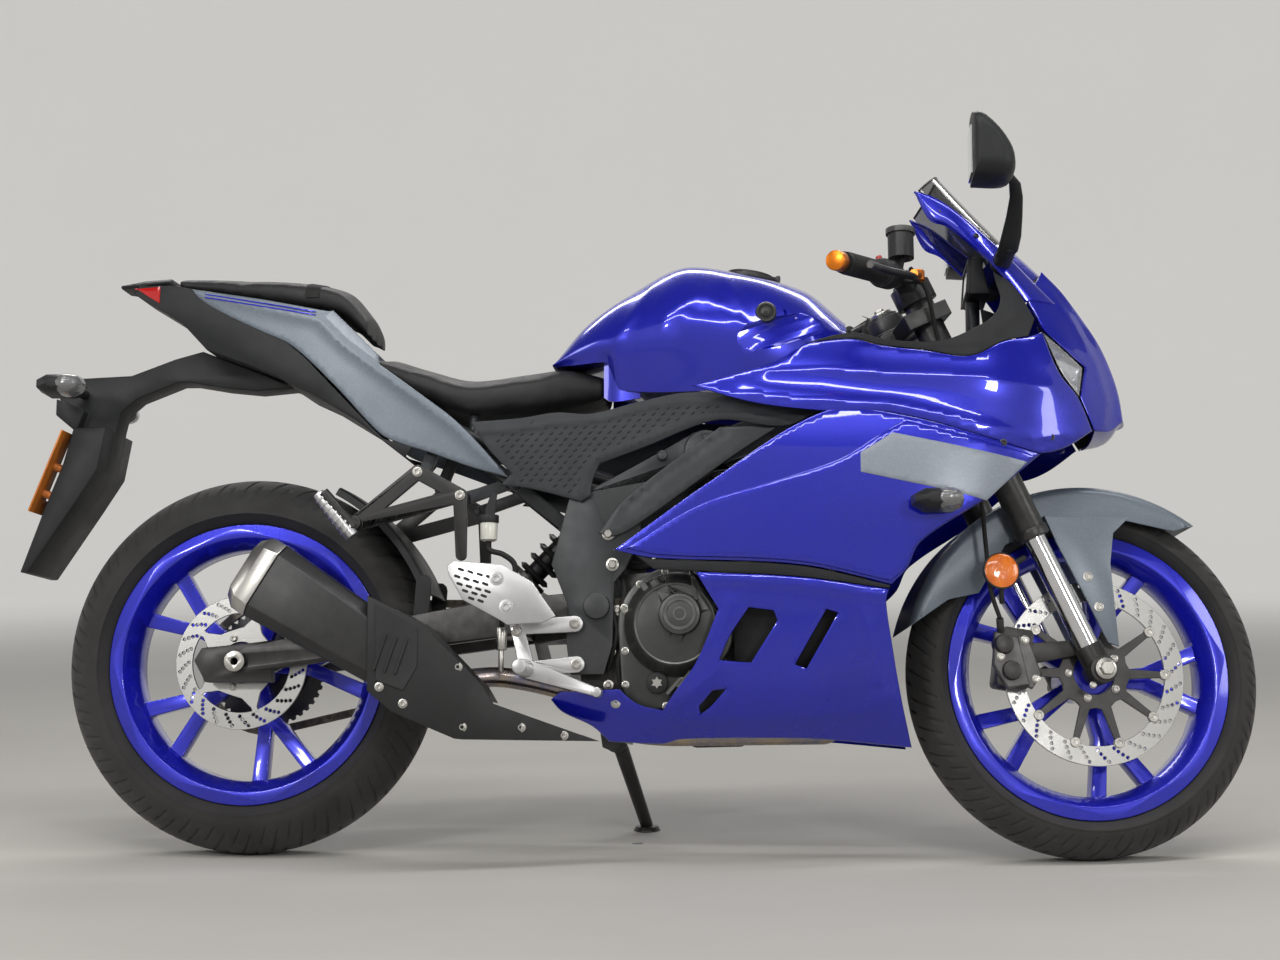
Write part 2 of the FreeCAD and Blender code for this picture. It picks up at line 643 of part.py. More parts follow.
def clutch_cover():
    """The right-hand cover: a round drum over the clutch, its boss and three ribs to the boss."""
    face_y = -CASE_HALF
    x, z, boss = CLUTCH_BOSS
    plate = link_plate(CLUTCH, CLUTCH_FOOT, face_y, face_y - 26)
    drum = rod((CLUTCH[0], face_y - 25, CLUTCH[1]), (CLUTCH[0], face_y - 56, CLUTCH[1]), 84, 66)
    cap = rod((x, face_y - 50, z), (x, face_y - 68, z), boss)
    ribs = []
    for turn in (128, 22, 262):
        away = Vector(math.cos(math.radians(turn)), 0, math.sin(math.radians(turn)))
        start = Vector(x, face_y - 46, z) + away * (boss - 6)
        ribs.append(beam(tuple(start), tuple(start + away * 44), 22, 30, 16, 12))
    return joined(plate, drum, cap, *ribs)


GENERATOR = (742, 352, 88)


def generator_cover():
    """The left-hand round cover over the generator."""
    x, z, radius = GENERATOR
    return joined(rod((x, CASE_HALF, z), (x, CASE_HALF + 34, z), radius, radius - 4),
                  rod((x, CASE_HALF + 33, z), (x, CASE_HALF + 46, z), radius - 22, radius - 30),
                  rod((x, CASE_HALF + 45, z), (x, CASE_HALF + 50, z), 15))


def sprocket_cover():
    """The left-hand cover over the gearbox sprocket, shaped round the generator's cover."""
    x, z, radius = GENERATOR
    shaft_x, shaft_z = GEARBOX_SHAFT
    cover = link_plate((shaft_x, shaft_z, 48), (shaft_x - 8, shaft_z - 42, 22), CASE_HALF + 0.3, CASE_HALF + 12)
    arm_room = rod((PIVOT[0], 0, PIVOT[1]), (PIVOT[0], TRIM, PIVOT[1]), ARM_BOSS + 5)
    return cover.cut(rod((x, 0, z), (x, TRIM, z), radius + 1)).cut(arm_room)


feature("engine_covers", "chassis", Part.makeCompound([clutch_cover(), generator_cover(), sprocket_cover()]))

def radiator():
    """The radiator core between its two tanks, with a filler neck and the lower hose stub."""
    x_back, x_front, low, high, half = RADIATOR
    core = prism(((x_back, low), (x_front, low), (x_front, high), (x_back, high)), -half, half)
    fins = []
    rows = 11
    for row in range(rows):
        z = low + (row + 0.5) * (high - low) / rows
        fins.append(prism(((x_front - 4, z - 5), (x_front + 1, z - 5), (x_front + 1, z + 5), (x_front - 4, z + 5)),
                          -half + 22, half - 22))
    core = core.cut(Part.makeCompound(fins))
    middle = (x_back + x_front) / 2
    stays = side_stays(((middle, half - 10, high - 24), (middle, half - 10, low + 20)), envelope)
    return joined(core, *stays.Solids, rod((x_back - 20, -half + 16, high - 14), (x_back + 4, -half + 16, high - 14), 15),
                  rod((x_back - 20, half - 16, low + 18), (x_back + 4, half - 16, low + 18), 14),
                  beam((x_back + 8, 0, high - 4), (940, 0, 626), 16, 40))


feature("radiator", "chassis", radiator())

COLLECTOR_TOP = 262
COLLECTOR_FOOT = (972, -10, 222)
COLLECTOR = (COLLECTOR_FOOT, (966, -22, 200), (880, -70, 198), (700, -88, 195), (640, -98, 201), (592, -113, 240),
             (556, -119, 264), (500, -120, 279), (430, -125, 291), (352, -158, 280), (300, -186, 298), (262, -188, 320))
COLLECTOR_RADIUS = 16
PORT_FACE = (0.9536, 0, -0.301)
HEADER_RADIUS = 15


def header_tube(side):
    """One header tube from its flange at the port down to the collector's flat top."""
    x, y, z = HEADER_PORTS
    out = Vector(*PORT_FACE)
    port = Vector(x, side * y, z)
    low = (x + 58, side * 24, COLLECTOR_TOP)
    tube = pipe([port, port + out * 62, (x + 58, side * 24, 420), low], HEADER_RADIUS)
    return joined(rod(port, port + out * 10, HEADER_RADIUS + 7), tube)


def collector():
    """The two-into-one collector box and the pipe that leads back to the right, up to the muffler's joint."""
    x, y, z = COLLECTOR_FOOT
    top, foot = [], []
    for a, b in ((-1, -1), (1, -1), (1, 1), (-1, 1)):
        top.append((HEADER_PORTS[0] + 58 + a * 19, b * 44, COLLECTOR_TOP))
        foot.append((x + a * 19, y + b * 21, z))
    run = pipe(COLLECTOR, COLLECTOR_RADIUS).cut(muffler_can(size("seat_gap")))
    return Part.makeCompound([sections([top, foot]), run])


sprocket_room = Part.Face(belt_wire(half_chain + 8, chain_low - 8)).extrude(Vector(0, TRIM, 0))
feature("engine_cases", "chassis", engine_cases().cut(spar_room()).cut(sprocket_room).cut(
    pipe(COLLECTOR, COLLECTOR_RADIUS + 3)))

# Muffler: a bevelled can from its rear end at the bevelled cap to the joint under the exhaust cover.
MUFFLER_REAR = (72, -196, 436)
MUFFLER_FRONT = (268, -188, 316)
MUFFLER_ALONG = (MUFFLER_FRONT[0] - MUFFLER_REAR[0], 0, MUFFLER_FRONT[2] - MUFFLER_REAR[2])


def muffler_can(grow=0.0):
    """The can's bevelled loft; grow thickens it all round for the cover's opening."""
    return sections([octagon(MUFFLER_REAR, MUFFLER_ALONG, 64 + grow, 48 + grow, 18),
                     octagon(MUFFLER_FRONT, MUFFLER_ALONG, 50 + grow, 42 + grow, 16)])


feature("muffler_body", "chassis", muffler_can())


def muffler_end_cap():
    """The slanted end cap with its outlet."""
    along = Vector(*MUFFLER_ALONG).normalize()
    rear = Vector(*MUFFLER_REAR)
    lip, tip = rear - along * size("seam_gap"), rear - along * 44
    cap = sections([octagon(tuple(lip), MUFFLER_ALONG, 65, 49, 18), octagon(tuple(rear - along * 26), MUFFLER_ALONG, 64, 46, 20),
                    octagon(tuple(tip), MUFFLER_ALONG, 50, 34, 16)])
    outlet = rear - Vector(0, 0, 8)
    return cap.cut(rod(tuple(outlet - along * 60), tuple(outlet - along * 12), 19))


feature("muffler_end_cap", "chassis", muffler_end_cap())

EXHAUST_COVER = ((240, 412), (292, 387), (330, 365), (422, 272), (439, 243), (601, 186), (380, 188), (281, 230),
                 (242, 262))
COVER_OUTER_Y = -238


def exhaust_cover():
    """The black cover over the joint pipe, open to the inside, drawn in towards its front point."""
    wall = size("panel_thick")
    outer = prism(EXHAUST_COVER, -146, COVER_OUTER_Y)
    middle_x = sum(x for x, _ in EXHAUST_COVER) / len(EXHAUST_COVER)
    middle_z = sum(z for _, z in EXHAUST_COVER) / len(EXHAUST_COVER)
    hollow = [(middle_x + (x - middle_x) * 0.93, middle_z + (z - middle_z) * 0.9) for x, z in EXHAUST_COVER]
    slant = [(200, COVER_OUTER_Y - 2), (330, COVER_OUTER_Y - 2), (620, -168), (620, -400), (200, -400)]
    cutter = Part.Face(Part.makePolygon([Vector(x, y, 150) for x, y in slant + slant[:1]])).extrude(Vector(0, 0, 300))
    inner_cutter = cutter.copy()
    inner_cutter.translate(Vector(0, wall, 0))
    hollow_body = prism(hollow, -140, COVER_OUTER_Y + wall).cut(inner_cutter)
    return outer.cut(cutter).cut(hollow_body).cut(muffler_can(1.2)).cut(pipe(COLLECTOR, COLLECTOR_RADIUS + 2))


feature("exhaust_cover", "chassis", exhaust_cover())
feature("header_pipes", "chassis", Part.makeCompound([header_tube(-1), header_tube(1), collector()]))

AXLE_Z = size("rear_tyre_radius")
ARM_Y = 113
SHOCK_FOOT = (446, 438)
SHOCK_PIN = 6


def swingarm():
    """The swingarm: pivot tube, two tapered arms, the cross box and the slotted axle lugs."""
    x, z = PIVOT
    parts = [rod((x, -104, z), (x, 80, z), 19), rod((x, 79, z), (x, 104, z), 14)]
    eye_x, eye_z = SHOCK_FOOT
    parts.append(rod((eye_x, -23, eye_z), (eye_x, 23, eye_z), SHOCK_PIN))
    for side in (-1, 1):
        parts.append(rod((x, side * (ARM_Y - 11), z), (x, side * (ARM_Y + 11), z), ARM_BOSS))
        low, far = sorted((side * 17, side * 24))
        parts.append(link_plate((eye_x, eye_z, 13), (eye_x - 4, 400, 16), low, far))
        parts.append(beam((PIVOT[0], side * ARM_Y, PIVOT[1]), (430, side * ARM_Y, 384), 52, 22, 62))
        parts.append(beam((432, side * ARM_Y, 384), (20, side * ARM_Y, AXLE_Z + 4), 62, 22, 42, 20))
        lug = ((58, AXLE_Z + 34), (62, AXLE_Z - 34), (-50, AXLE_Z - 34), (-70, AXLE_Z + 2), (-58, AXLE_Z + 22))
        low, far = sorted((side * (ARM_Y - 10), side * (ARM_Y + 10)))
        parts.append(prism(lug, low, far))
        parts.append(rod((0, side * (size("hub_half_rear") + 0.5), AXLE_Z), (0, side * ARM_Y, AXLE_Z), 17))
    parts.append(beam((432, -104, 388), (432, 104, 388), 54, 60))
    arm = joined(*parts)
    slot = size("axle_radius") + 0.1
    for side in (-1, 1):
        arm = arm.cut(rod((0, side * 20, AXLE_Z), (0, side * (ARM_Y + 20), AXLE_Z), slot))
    return arm.cut(rod((PIVOT[0], -TRIM, PIVOT[1]), (PIVOT[0], TRIM, PIVOT[1]), size("axle_radius") + 0.1))


feature("swingarm", "chassis", swingarm())


def hollow_axle(label, frame, half, centre):
    """A hollow axle with a nut or head at each end, its sizes bound to the sheet."""
    parts = []
    for name, radius, length, low in (
            ("shaft", "axle_radius", 2 * half, -half),
            ("nut_right", "axle_nut_radius", size("axle_nut_length"), -half - size("axle_nut_length") + OVERLAP),
            ("nut_left", "axle_nut_radius", size("axle_nut_length"), half - OVERLAP)):
        solid = doc.addObject("Part::Cylinder", label + "_" + name)
        drive(solid, Radius=radius)
        solid.Height = length
        solid.Placement = Placement(Vector(0, low, 0), Rotation(Vector(1, 0, 0), -90))
        parts.append(solid)
    whole = doc.addObject("Part::MultiFuse", label + "_whole")
    whole.Shapes = parts
    bore = doc.addObject("Part::Cylinder", label + "_bore")
    drive(bore, Radius="axle_bore_radius")
    bore.Height = 2 * half + 2 * TRIM / 10
    bore.Placement = Placement(Vector(0, -half - TRIM / 10, 0), Rotation(Vector(1, 0, 0), -90))
    axle = doc.addObject("Part::Cut", label)
    axle.Label = label
    axle.Base = whole
    axle.Tool = bore
    axle.Placement = Placement(centre, Rotation())
    pieces.append((axle, frame))
    return axle


hollow_axle("rear_axle", "chassis", ARM_Y + 12, Vector(0, 0, AXLE_Z))

def rear_shock():
    """The single damper on its two pins, between the swingarm's cross box and the frame, with its coils."""
    foot, head = Vector(SHOCK_FOOT[0], 0, SHOCK_FOOT[1]), Vector(SHOCK_TOP[0], 0, SHOCK_TOP[1])
    along = (head - foot).normalize()
    length = (head - foot).Length
    parts = [rod(foot - ALONG_Y * 16, foot + ALONG_Y * 16, 13), rod(head - ALONG_Y * 16, head + ALONG_Y * 16, 19),
             rod(foot, head, 17)]
    for reach in (24, length - 34):
        parts.append(rod(foot + along * reach, foot + along * (reach + 8), 31))
    turns = 6
    for turn in range(turns):
        place = foot + along * (40 + (length - 78) * turn / (turns - 1))
        for step in (-1, 1):
            parts.append(rod(place, place + along * (5 * step), 31, 25))
    damper = joined(*parts)
    for centre, pin in ((foot, SHOCK_PIN), (head, SHOCK_HEAD_PIN)):
        damper = damper.cut(rod(centre - ALONG_Y * 30, centre + ALONG_Y * 30, pin + size("head_bearing_gap")))
    return damper


feature("rear_shock", "chassis", rear_shock())

REAR_DISC_Y = size("rear_disc_plane")
CALIPER_REAR = (96, 62)


def caliper(centre, turn, y_disc, length, height, reach_in, reach_out):
    """A brake caliper: a rounded block with a slot over the disc's rim, turned about Y at its centre."""
    half = length / 2
    block = Part.makeBox(length, reach_in + reach_out, height, Vector(-half, -reach_out, -height / 2))
    block = block.makeFillet(8, [edge for edge in block.Edges if abs(edge.tangentAt(edge.FirstParameter).y) > 0.9])
    gap = size("disc_thick") / 2 + 1.6
    slot = Part.makeBox(length + 2, 2 * gap, height, Vector(-half - 1, -gap, -height / 2 - 9))
    block = block.cut(slot)
    block.rotate(Vector(0, 0, 0), ALONG_Y, turn)
    block.translate(Vector(centre[0], -y_disc, centre[1]))
    return block


feature("rear_caliper", "chassis", caliper((CALIPER_REAR[0], AXLE_Z + CALIPER_REAR[1] + 8), 52, REAR_DISC_Y, 92, 52, 20, ARM_Y - 10 - REAR_DISC_Y - size("seat_gap")))

# Bodywork as walls cut from the envelope.
MID_FAIRING = ((626, 487), (779, 594), (961, 706), (1068, 702), (1280, 645), (1302, 640), (1267, 610), (1213, 566),
               (1109, 496), (1088, 456), (1064, 431), (919, 462), (689, 474))
FAIRING_STRIP = ((660, 479), (689, 472), (919, 460), (1062, 429), (1060, 424), (919, 443), (690, 456))
LOWER_FAIRING = ((1060, 423), (1055, 406), (1065, 331), (1078, 256), (1096, 178), (974, 189), (903, 192), (729, 190),
                 (700, 183), (613, 186), (587, 210), (539, 233), (522, 252), (537, 264), (633, 268), (662, 245),
                 (702, 235), (716, 256), (756, 310), (792, 393), (774, 422), (756, 451.3), (919, 442.2))
LOWER_LEFT_FAIRING = LOWER_FAIRING[:8] + ((700, 186), (694, 236)) + LOWER_FAIRING[17:]
FAIRING_WINDOWS = (
    ((840, 395), (879, 390), (885, 374), (857, 331), (843, 309), (793, 313), (811, 352)),
    ((962, 392), (980, 386), (930, 300), (912, 306)),
    ((803, 268), (778, 241), (762, 229), (760, 241), (782, 266)))
UPPER_COWL = ((750, 753), (834, 776), (899, 795), (929, 821), (1006, 827), (1052, 815), (1119, 806), (1193, 796),
              (1247, 821), (1289, 832), (1312, 843), (1327, 798), (1340, 771), (1368, 738), (1392, 686), (1346, 655),
              (1306, 642), (1280, 645.9), (1068, 702.9), (961, 706.9), (850, 722))
COCKPIT_TRIM = ((930, 822), (1006, 827.9), (1052, 815.9), (1119, 806.9), (1193, 796.9), (1247, 821.9), (1288, 832.8),
                (1300.5, 865),
                (1268, 925), (1236, 944), (1240, 921), (1245, 895), (1233, 866), (1199, 842), (1147, 822), (1065, 824),
                (1006, 838))
NOSE_COWL = ((1322, 961), (1348, 936), (1366, 913), (1405, 857), (1427, 811), (1443, 762), (1450, 711), (1424, 690),
             (1396, 686), (1372, 738), (1383, 792), (1316, 846), (1306, 866), (1290, 900))
HEADLIGHT = ((1314, 841), (1379, 790), (1370, 741), (1343, 774), (1330, 800))


# Strip beside the screen: upper edge, then lower edge, as (x, y, z), from its tip down to the nose.
SPEAR = (((1114, 92, 1094), (1120, 95, 1083)), ((1149, 97, 1079), (1140, 101, 1044)),
         ((1186, 101, 1051), (1172, 108, 1028)), ((1252, 92, 993), (1229, 115, 974)),
         ((1300, 83, 945), (1257, 124, 940)), ((1347, 76, 899), (1288, 131, 897)))
SPEAR_WALL = Vector(-3, 4.5, -3)


def spears(grow=1):
    """The blue strips beside the screen, running down into the nose, their wall grown where wanted."""
    rows = []
    for upper, lower in SPEAR:
        edge = [Vector(x, -y, z) for x, y, z in (upper, lower)]
        rows.append([tuple(spot) for spot in (*edge, edge[1] + SPEAR_WALL * grow, edge[0] + SPEAR_WALL * grow)])
    return pair(sections(rows))


def both_sides(outline, holes=(), wall=body_wall):
    """A panel and its mirror."""
    return pair(panel(wall, outline, holes))


feature("mid_fairing", "chassis", both_sides(MID_FAIRING))
lower_right = panel(body_wall, LOWER_FAIRING, FAIRING_WINDOWS)
lower_left = panel(body_wall, LOWER_LEFT_FAIRING, FAIRING_WINDOWS).mirror(MID_PLANE, ALONG_Y)
feature("lower_fairing", "chassis", Part.makeCompound([lower_right, lower_left]))
feature("upper_cowl", "chassis", both_sides(UPPER_COWL))
spear_seat = spears(1.06)
feature("fairing_trim", "chassis", Part.makeCompound(
    [both_sides(FAIRING_STRIP), both_sides(COCKPIT_TRIM).cut(spear_seat)]))


def headlights():
    """Two lamps set a little behind the cowl's skin, each a block with its reflector's depth."""
    lamp = shifted(envelope, -1.5, 2, 0)
    return pair(lamp.cut(shifted(envelope, LAMP_BACK, LAMP_IN, 0)).common(prism(HEADLIGHT, -TRIM, -20)))


feature("headlights", "chassis", headlights())

# Screen: an arc across the bike at each station: centre (x, z), edge (x, half-width, z).
SCREEN = (((1322, 964), (1300, 66, 938)), ((1240, 1046), (1196, 98, 1006)), ((1156, 1139), (1122, 88, 1096)))


def windscreen():
    """The smoked screen: a surface through three arcs, given its wall down and back."""
    arcs = []
    for (cx, cz), (ex, ey, ez) in SCREEN:
        arcs.append(Part.Wire([Part.Arc(Vector(ex, -ey, ez), Vector(cx, 0, cz), Vector(ex, ey, ez)).toShape()]))
    surface = Part.makeLoft(arcs, False, False)
    return surface.Faces[0].extrude(Vector(-2.4, 0, -2.4)).cut(spear_seat)


feature("windscreen", "chassis", windscreen())


nose = size("nose_thick")
nose_wall = skin(envelope.common(prism(NOSE_COWL, -TRIM, 0)), nose, nose, nose / 2)
feature("nose_cowl", "chassis", Part.makeCompound([mirrored_whole(nose_wall), spears()]))

# Tank, seats, side covers and tail.


def full_sections(rows):
    """A solid through closed sections given by their right half (x, then (y, z) from bottom to top)."""
    loops = []
    for x, half in rows:
        right = [(x, -y, z) for y, z in half]
        left = [(x, y, z) for y, z in reversed(half) if y > 0]
        loops.append(right + left)
    return sections(loops)


# Tank stations: x, then (half-width, height) of the bottom middle, lower edge, widest line, shoulder and crest.
TANK = (
    (508, ((0, 811), (50, 812), (56, 814), (40, 817), (0, 820))),
    (560, ((0, 809), (84, 809), (92, 838), (62, 872), (0, 886))),
    (602, ((0, 809), (102, 809), (116, 848), (78, 900), (0, 918))),
    (626, ((0, 764), (106, 762), (126, 850), (84, 912), (0, 934))),
    (740, ((0, 750), (138, 752), (158, 872), (98, 958), (0, 988))),
    (840, ((0, 750), (146, 754), (156, 858), (98, 944), (0, 970))),
    (930, ((0, 750), (132, 753), (136, 846), (82, 916), (0, 945))),
    (998, ((0, 760), (88, 762), (95, 832), (50, 876), (0, 888))))
CAP_TILT = 9


def cap_frame():
    """Where the filler sits: its middle on the tank's crest and its outward direction."""
    return Placement(Vector(*CAP_PLACE), Rotation(ALONG_Y, CAP_TILT))


def in_cap_frame(shape):
    """Move a shape made at the origin to the filler."""
    moved = shape.copy()
    moved.Placement = cap_frame().multiply(moved.Placement)
    return moved


HAND_ROOM = 28
HAND_REACH = (-110, -360)


def hand_relief():
    """Room in the tank's right side for the grip and its switch housing at full lock."""
    lock = steer_turn(-size("steer_lock"))
    root, tip = [lock.multVec(on_bar(y)) for y in HAND_REACH]
    along = (tip - root).normalize()
    opening = steer_axis.cross((root + tip) * 0.5 - steer_foot)
    opening = (opening - along * opening.dot(along)).normalize()
    box = Part.makeBox((tip - root).Length, HAND_ROOM * 5, HAND_ROOM * 2)
    inner = [edge for edge in box.Edges if edge.BoundBox.XLength > HAND_ROOM and edge.BoundBox.YMax < 1]
    box = box.makeFillet(HAND_ROOM * 0.8, inner)
    corner = root - opening * HAND_ROOM - along.cross(opening) * HAND_ROOM
    box.Placement = Placement(corner, Rotation(along, opening, along.cross(opening), "XYZ"))
    return box


def fuel_tank():
    """The tank, with the filler's round seat sunk in its crest."""
    seat = Part.makeCylinder(size("cap_radius") + size("cap_gap"), 60, Vector(0, 0, -4))
    throat = Part.makeCylinder(size("filler_radius"), size("filler_depth"), Vector(0, 0, -size("filler_depth")))
    relief = hand_relief()
    return full_sections(TANK).cut(in_cap_frame(seat)).cut(in_cap_frame(throat)).cut(spar_room()).cut(relief).cut(
        relief.mirror(MID_PLANE, ALONG_Y))


feature("fuel_tank", "chassis", fuel_tank())
HINGE_X = 47
HINGE_Z = 10


def filler_ring():
    """The fixed ring with the two ears that hold the lid's pin."""
    ring = Part.makeCylinder(size("cap_radius"), 6, Vector(0, 0, -4 + size("seat_gap"))).cut(
        Part.makeCylinder(size("filler_radius"), 20, Vector(0, 0, -8)))
    ears = []
    for side in (-1, 1):
        ears.append(Part.makeBox(7, 4, 11, Vector(HINGE_X - 3.5, side * 9 - 2, 1)))
    pin = rod((HINGE_X, -10, HINGE_Z), (HINGE_X, 10, HINGE_Z), 1.5)
    return in_cap_frame(joined(ring, *ears, pin))


feature("filler_ring", "chassis", filler_ring())


def filler_lid():
    """The lid over the ring, with the knuckle that turns on the pin and the lock's boss."""
    bottom = 2 + size("seat_gap") * 2
    lid = Part.makeCylinder(40, size("cap_thick"), Vector(0, 0, bottom))
    lid = lid.makeFillet(2, [edge for edge in lid.Edges if edge.BoundBox.ZMin > bottom + 1 and len(edge.Vertexes) == 1])
    knuckle = rod((HINGE_X, -6.4, HINGE_Z), (HINGE_X, 6.4, HINGE_Z), 3.6)
    tongue = Part.makeBox(14, 12.8, 4, Vector(HINGE_X - 14, -6.4, HINGE_Z - 3.4))
    boss = Part.makeCylinder(9, 2.5, Vector(-16, 0, bottom + size("cap_thick") - 0.5))
    bore = rod((HINGE_X, -20, HINGE_Z), (HINGE_X, 20, HINGE_Z), 1.5 + size("head_bearing_gap") / 2)
    return in_cap_frame(joined(lid, boss, tongue, knuckle).cut(bore))


feature("filler_lid", "filler_lid", filler_lid())

# Seats: x, half-width, crest height, edge height, bottom height.
RIDER_SEAT = ((208, 90, 842, 832, 802), (300, 110, 807, 798, 752), (380, 120, 791, 776, 727),
              (470, 114, 802, 786, 732), (540, 92, 805, 796, 745), (597, 60, 793, 788, 764))
PILLION_SEAT = ((-144, 56, 980, 972, 957), (-36, 86, 973, 962, 940), (73, 98, 967, 955, 926),
                (150, 96, 952, 940, 914), (192, 84, 902, 896, 872))


def seat(stations):
    """A saddle pad through stations across the bike."""
    return full_sections([(x, ((0, low), (wide * 0.94, low), (wide, (low + edge) / 2), (wide * 0.86, edge), (0, crest)))
                          for x, wide, crest, edge, low in stations])


feature("rider_seat", "chassis", seat(RIDER_SEAT))
feature("pillion_seat", "chassis", seat(PILLION_SEAT))

KNEE_COVER = ((351, 706), (446, 716), (520, 727), (570, 739), (612, 755), (640, 738), (668, 726), (726, 741),
              (760, 744), (800, 742), (802, 704), (761, 670), (640, 592), (574, 553), (434, 600), (452, 619), (412, 662))
knee_wall = skin(knee_body, size("panel_thick"))
feature("knee_covers", "chassis", both_sides(KNEE_COVER, wall=knee_wall))

tail_wall = skin(tail_body, size("panel_thick"))
TAIL_PANEL = ((-94, 944), (127, 889), (159, 898), (221, 818), (314, 729), (346, 708), (408, 660), (446, 617),
              (423, 622), (352, 644), (284, 671), (234, 683), (192, 725), (97, 823), (50, 861), (-73, 919), (-92, 934))
TAIL_LOWER = ((-214, 945), (-151, 907), (-122, 888), (-78, 842), (45, 796), (74, 777), (116, 758), (187, 715),
              (271, 650), (284, 668), (234, 682), (192, 724), (97, 822), (50, 860), (-73, 918), (-93, 933),
              (-97, 946), (-141, 956.6), (-205, 958.1))
feature("tail_panels", "chassis", both_sides(TAIL_PANEL, wall=tail_wall))


def width_at(stations, levels, x, z):
    """Half-width of a half body at a station and height, by straight runs between its table's entries."""
    def along(pairs, place):
        for (low, first), (high, second) in zip(pairs, pairs[1:]):
            if place <= high:
                break
        return first + (second - first) * (place - low) / (high - low)
    at_level = [(row_x, along(list(zip(levels, widths)), z)) for row_x, widths in stations]
    return along(at_level, x)


def tail_lower():
    """The black under-tail: two sides and the tray between them."""
    sides = panel(tail_wall, TAIL_LOWER)
    rows = []
    for x, z in TAIL_LOWER[:9]:
        wide = width_at(TAIL_STATIONS, TAIL_LEVELS, x, z) - 1
        rows.append([(x, -wide, z), (x, wide, z), (x, wide, z + 4), (x, -wide, z + 4)])
    return joined(sides, sides.mirror(MID_PLANE, ALONG_Y), sections(rows))


TAIL_CAP = (
    (-248, ((0, 962), (26, 962), (30, 966), (22, 969), (0, 969))),
    (-200, ((0, 958), (48, 958), (52, 964), (40, 972), (0, 974))),
    (-152, ((0, 957), (56, 957), (62, 965), (48, 973), (0, 975))))
feature("tail_lower", "chassis", Part.makeCompound([tail_lower(), full_sections(TAIL_CAP)]))
feature("tail_light", "chassis", prism(((-220, 959.3), (-200, 957.7), (-163, 956.9), (-169, 922.3), (-196, 938.5)), -44, 44))

CARRIER = ((60, 785.7), (6, 810), (-57, 833.6), (-100, 850), (-148, 837), (-224, 809), (-316, 805), (-348, 769),
           (-346, 738), (-309, 708), (-300, 700), (-322, 650), (-352, 570), (-388, 466), (-375, 466), (-298, 583),
           (-262, 640), (-250, 700), (-240, 745), (-213, 768), (-142, 796), (-118, 796), (-60, 786), (-3, 780))
feature("plate_carrier", "chassis", joined(
    prism(CARRIER, -28, 28),
    prism(((-306, 712), (-322, 650), (-352, 570), (-388, 466), (-375, 466), (-298, 583), (-262, 640), (-250, 712)), -74, 74),
    prism(((-346, 766), (-346, 738), (-309, 708), (-296, 745)), -52, 52)))
# Plate holder: top and foot of its inner face (x, z), its bolt rows as shares of the way down.
PLATE_TOP = Vector(-320, 0, 706)
PLATE_FOOT = Vector(-372, 0, 568)
PLATE_BOLT_SHARES = (0.42, 0.75)
PLATE_BOLT_Y = 55
plate_normal = ALONG_Y.cross(PLATE_FOOT - PLATE_TOP).normalize()


def plate_bolt(share, side):
    """One bolt's place on the holder's inner face."""
    return PLATE_TOP + (PLATE_FOOT - PLATE_TOP) * share + Vector(0, side * PLATE_BOLT_Y, 0)


def plate_bracket():
    """The anodised plate holder behind the flap, on four bored spacers."""
    thick = plate_normal * size("plate_thick")
    corners = (PLATE_TOP, PLATE_TOP + thick, PLATE_FOOT + thick, PLATE_FOOT)
    sheet_metal = prism([(corner.x, corner.z) for corner in corners], -86, 86)
    window = prism(((-316, 680), (-350, 700), (-385, 600), (-350, 588)), -34, 34)
    spacers, bores = [], []
    for share in PLATE_BOLT_SHARES:
        for side in (-1, 1):
            spot = plate_bolt(share, side)
            spacers.append(rod(spot - plate_normal * 17.6, spot + plate_normal, 7))
            bores.append(rod(spot - plate_normal * 20, spot + plate_normal * 10, size("plate_bolt_radius")))
    return joined(sheet_metal.cut(window), *spacers).cut(Part.makeCompound(bores))


feature("plate_bracket", "chassis", plate_bracket())


def lamp_pod(rows, centre):
    """A turn-signal's head, from rows of (reach out, half-length, half-height) about its centre."""
    x, y, z = centre
    loops = []
    for reach, half_long, half_tall in rows:
        loops.append([(x - half_long, y - reach, z - half_tall * 0.4), (x - half_long * 0.5, y - reach, z - half_tall),
                      (x + half_long * 0.6, y - reach, z - half_tall), (x + half_long, y - reach, z),
                      (x + half_long * 0.6, y - reach, z + half_tall), (x - half_long * 0.5, y - reach, z + half_tall),
                      (x - half_long, y - reach, z + half_tall * 0.4)])
    return sections(loops)


SIGNAL_ROWS = ((0, 12, 8), (16, 40, 19), (56, 34, 15), (68, 16, 8))
rear_signal = joined(lamp_pod(SIGNAL_ROWS, (-307, -106, 772)), rod((-304, -28.6, 776), (-306, -108, 773), 8))
front_signal = joined(lamp_pod(SIGNAL_ROWS, (1133, -230, 556)), rod((1133, -190, 556), (1133, -232, 556), 9)).cut(
    shifted(envelope, 0, -size("seat_gap"), 0))
feature("turn_signals", "chassis", Part.makeCompound([pair(rear_signal), pair(front_signal)]))


def hugger():
    """The short guard over the rear tyre's front, with its two side arms on the swingarm."""
    radius = size("rear_tyre_radius") + 14
    ring = sleeve((0, -80, AXLE_Z), (0, 80, AXLE_Z), radius + 4, radius)
    sector = [(0, AXLE_Z)]
    for turn in (18, 50, 80, 104):
        sector.append((600 * math.cos(math.radians(turn)), AXLE_Z + 600 * math.sin(math.radians(turn))))
    parts = [ring.common(prism(sector, -90, 90))]
    for side in (-1, 1):
        low, far = sorted((side * 76, side * 80))
        parts.append(link_plate((296, 448, 14), (300, 382, 12), low, far))
        parts.append(rod((300, side * 77, 382), (300, side * (ARM_Y - 11 - size("seat_gap")), 382), 7))
    return joined(*parts)


feature("hugger", "chassis", hugger())

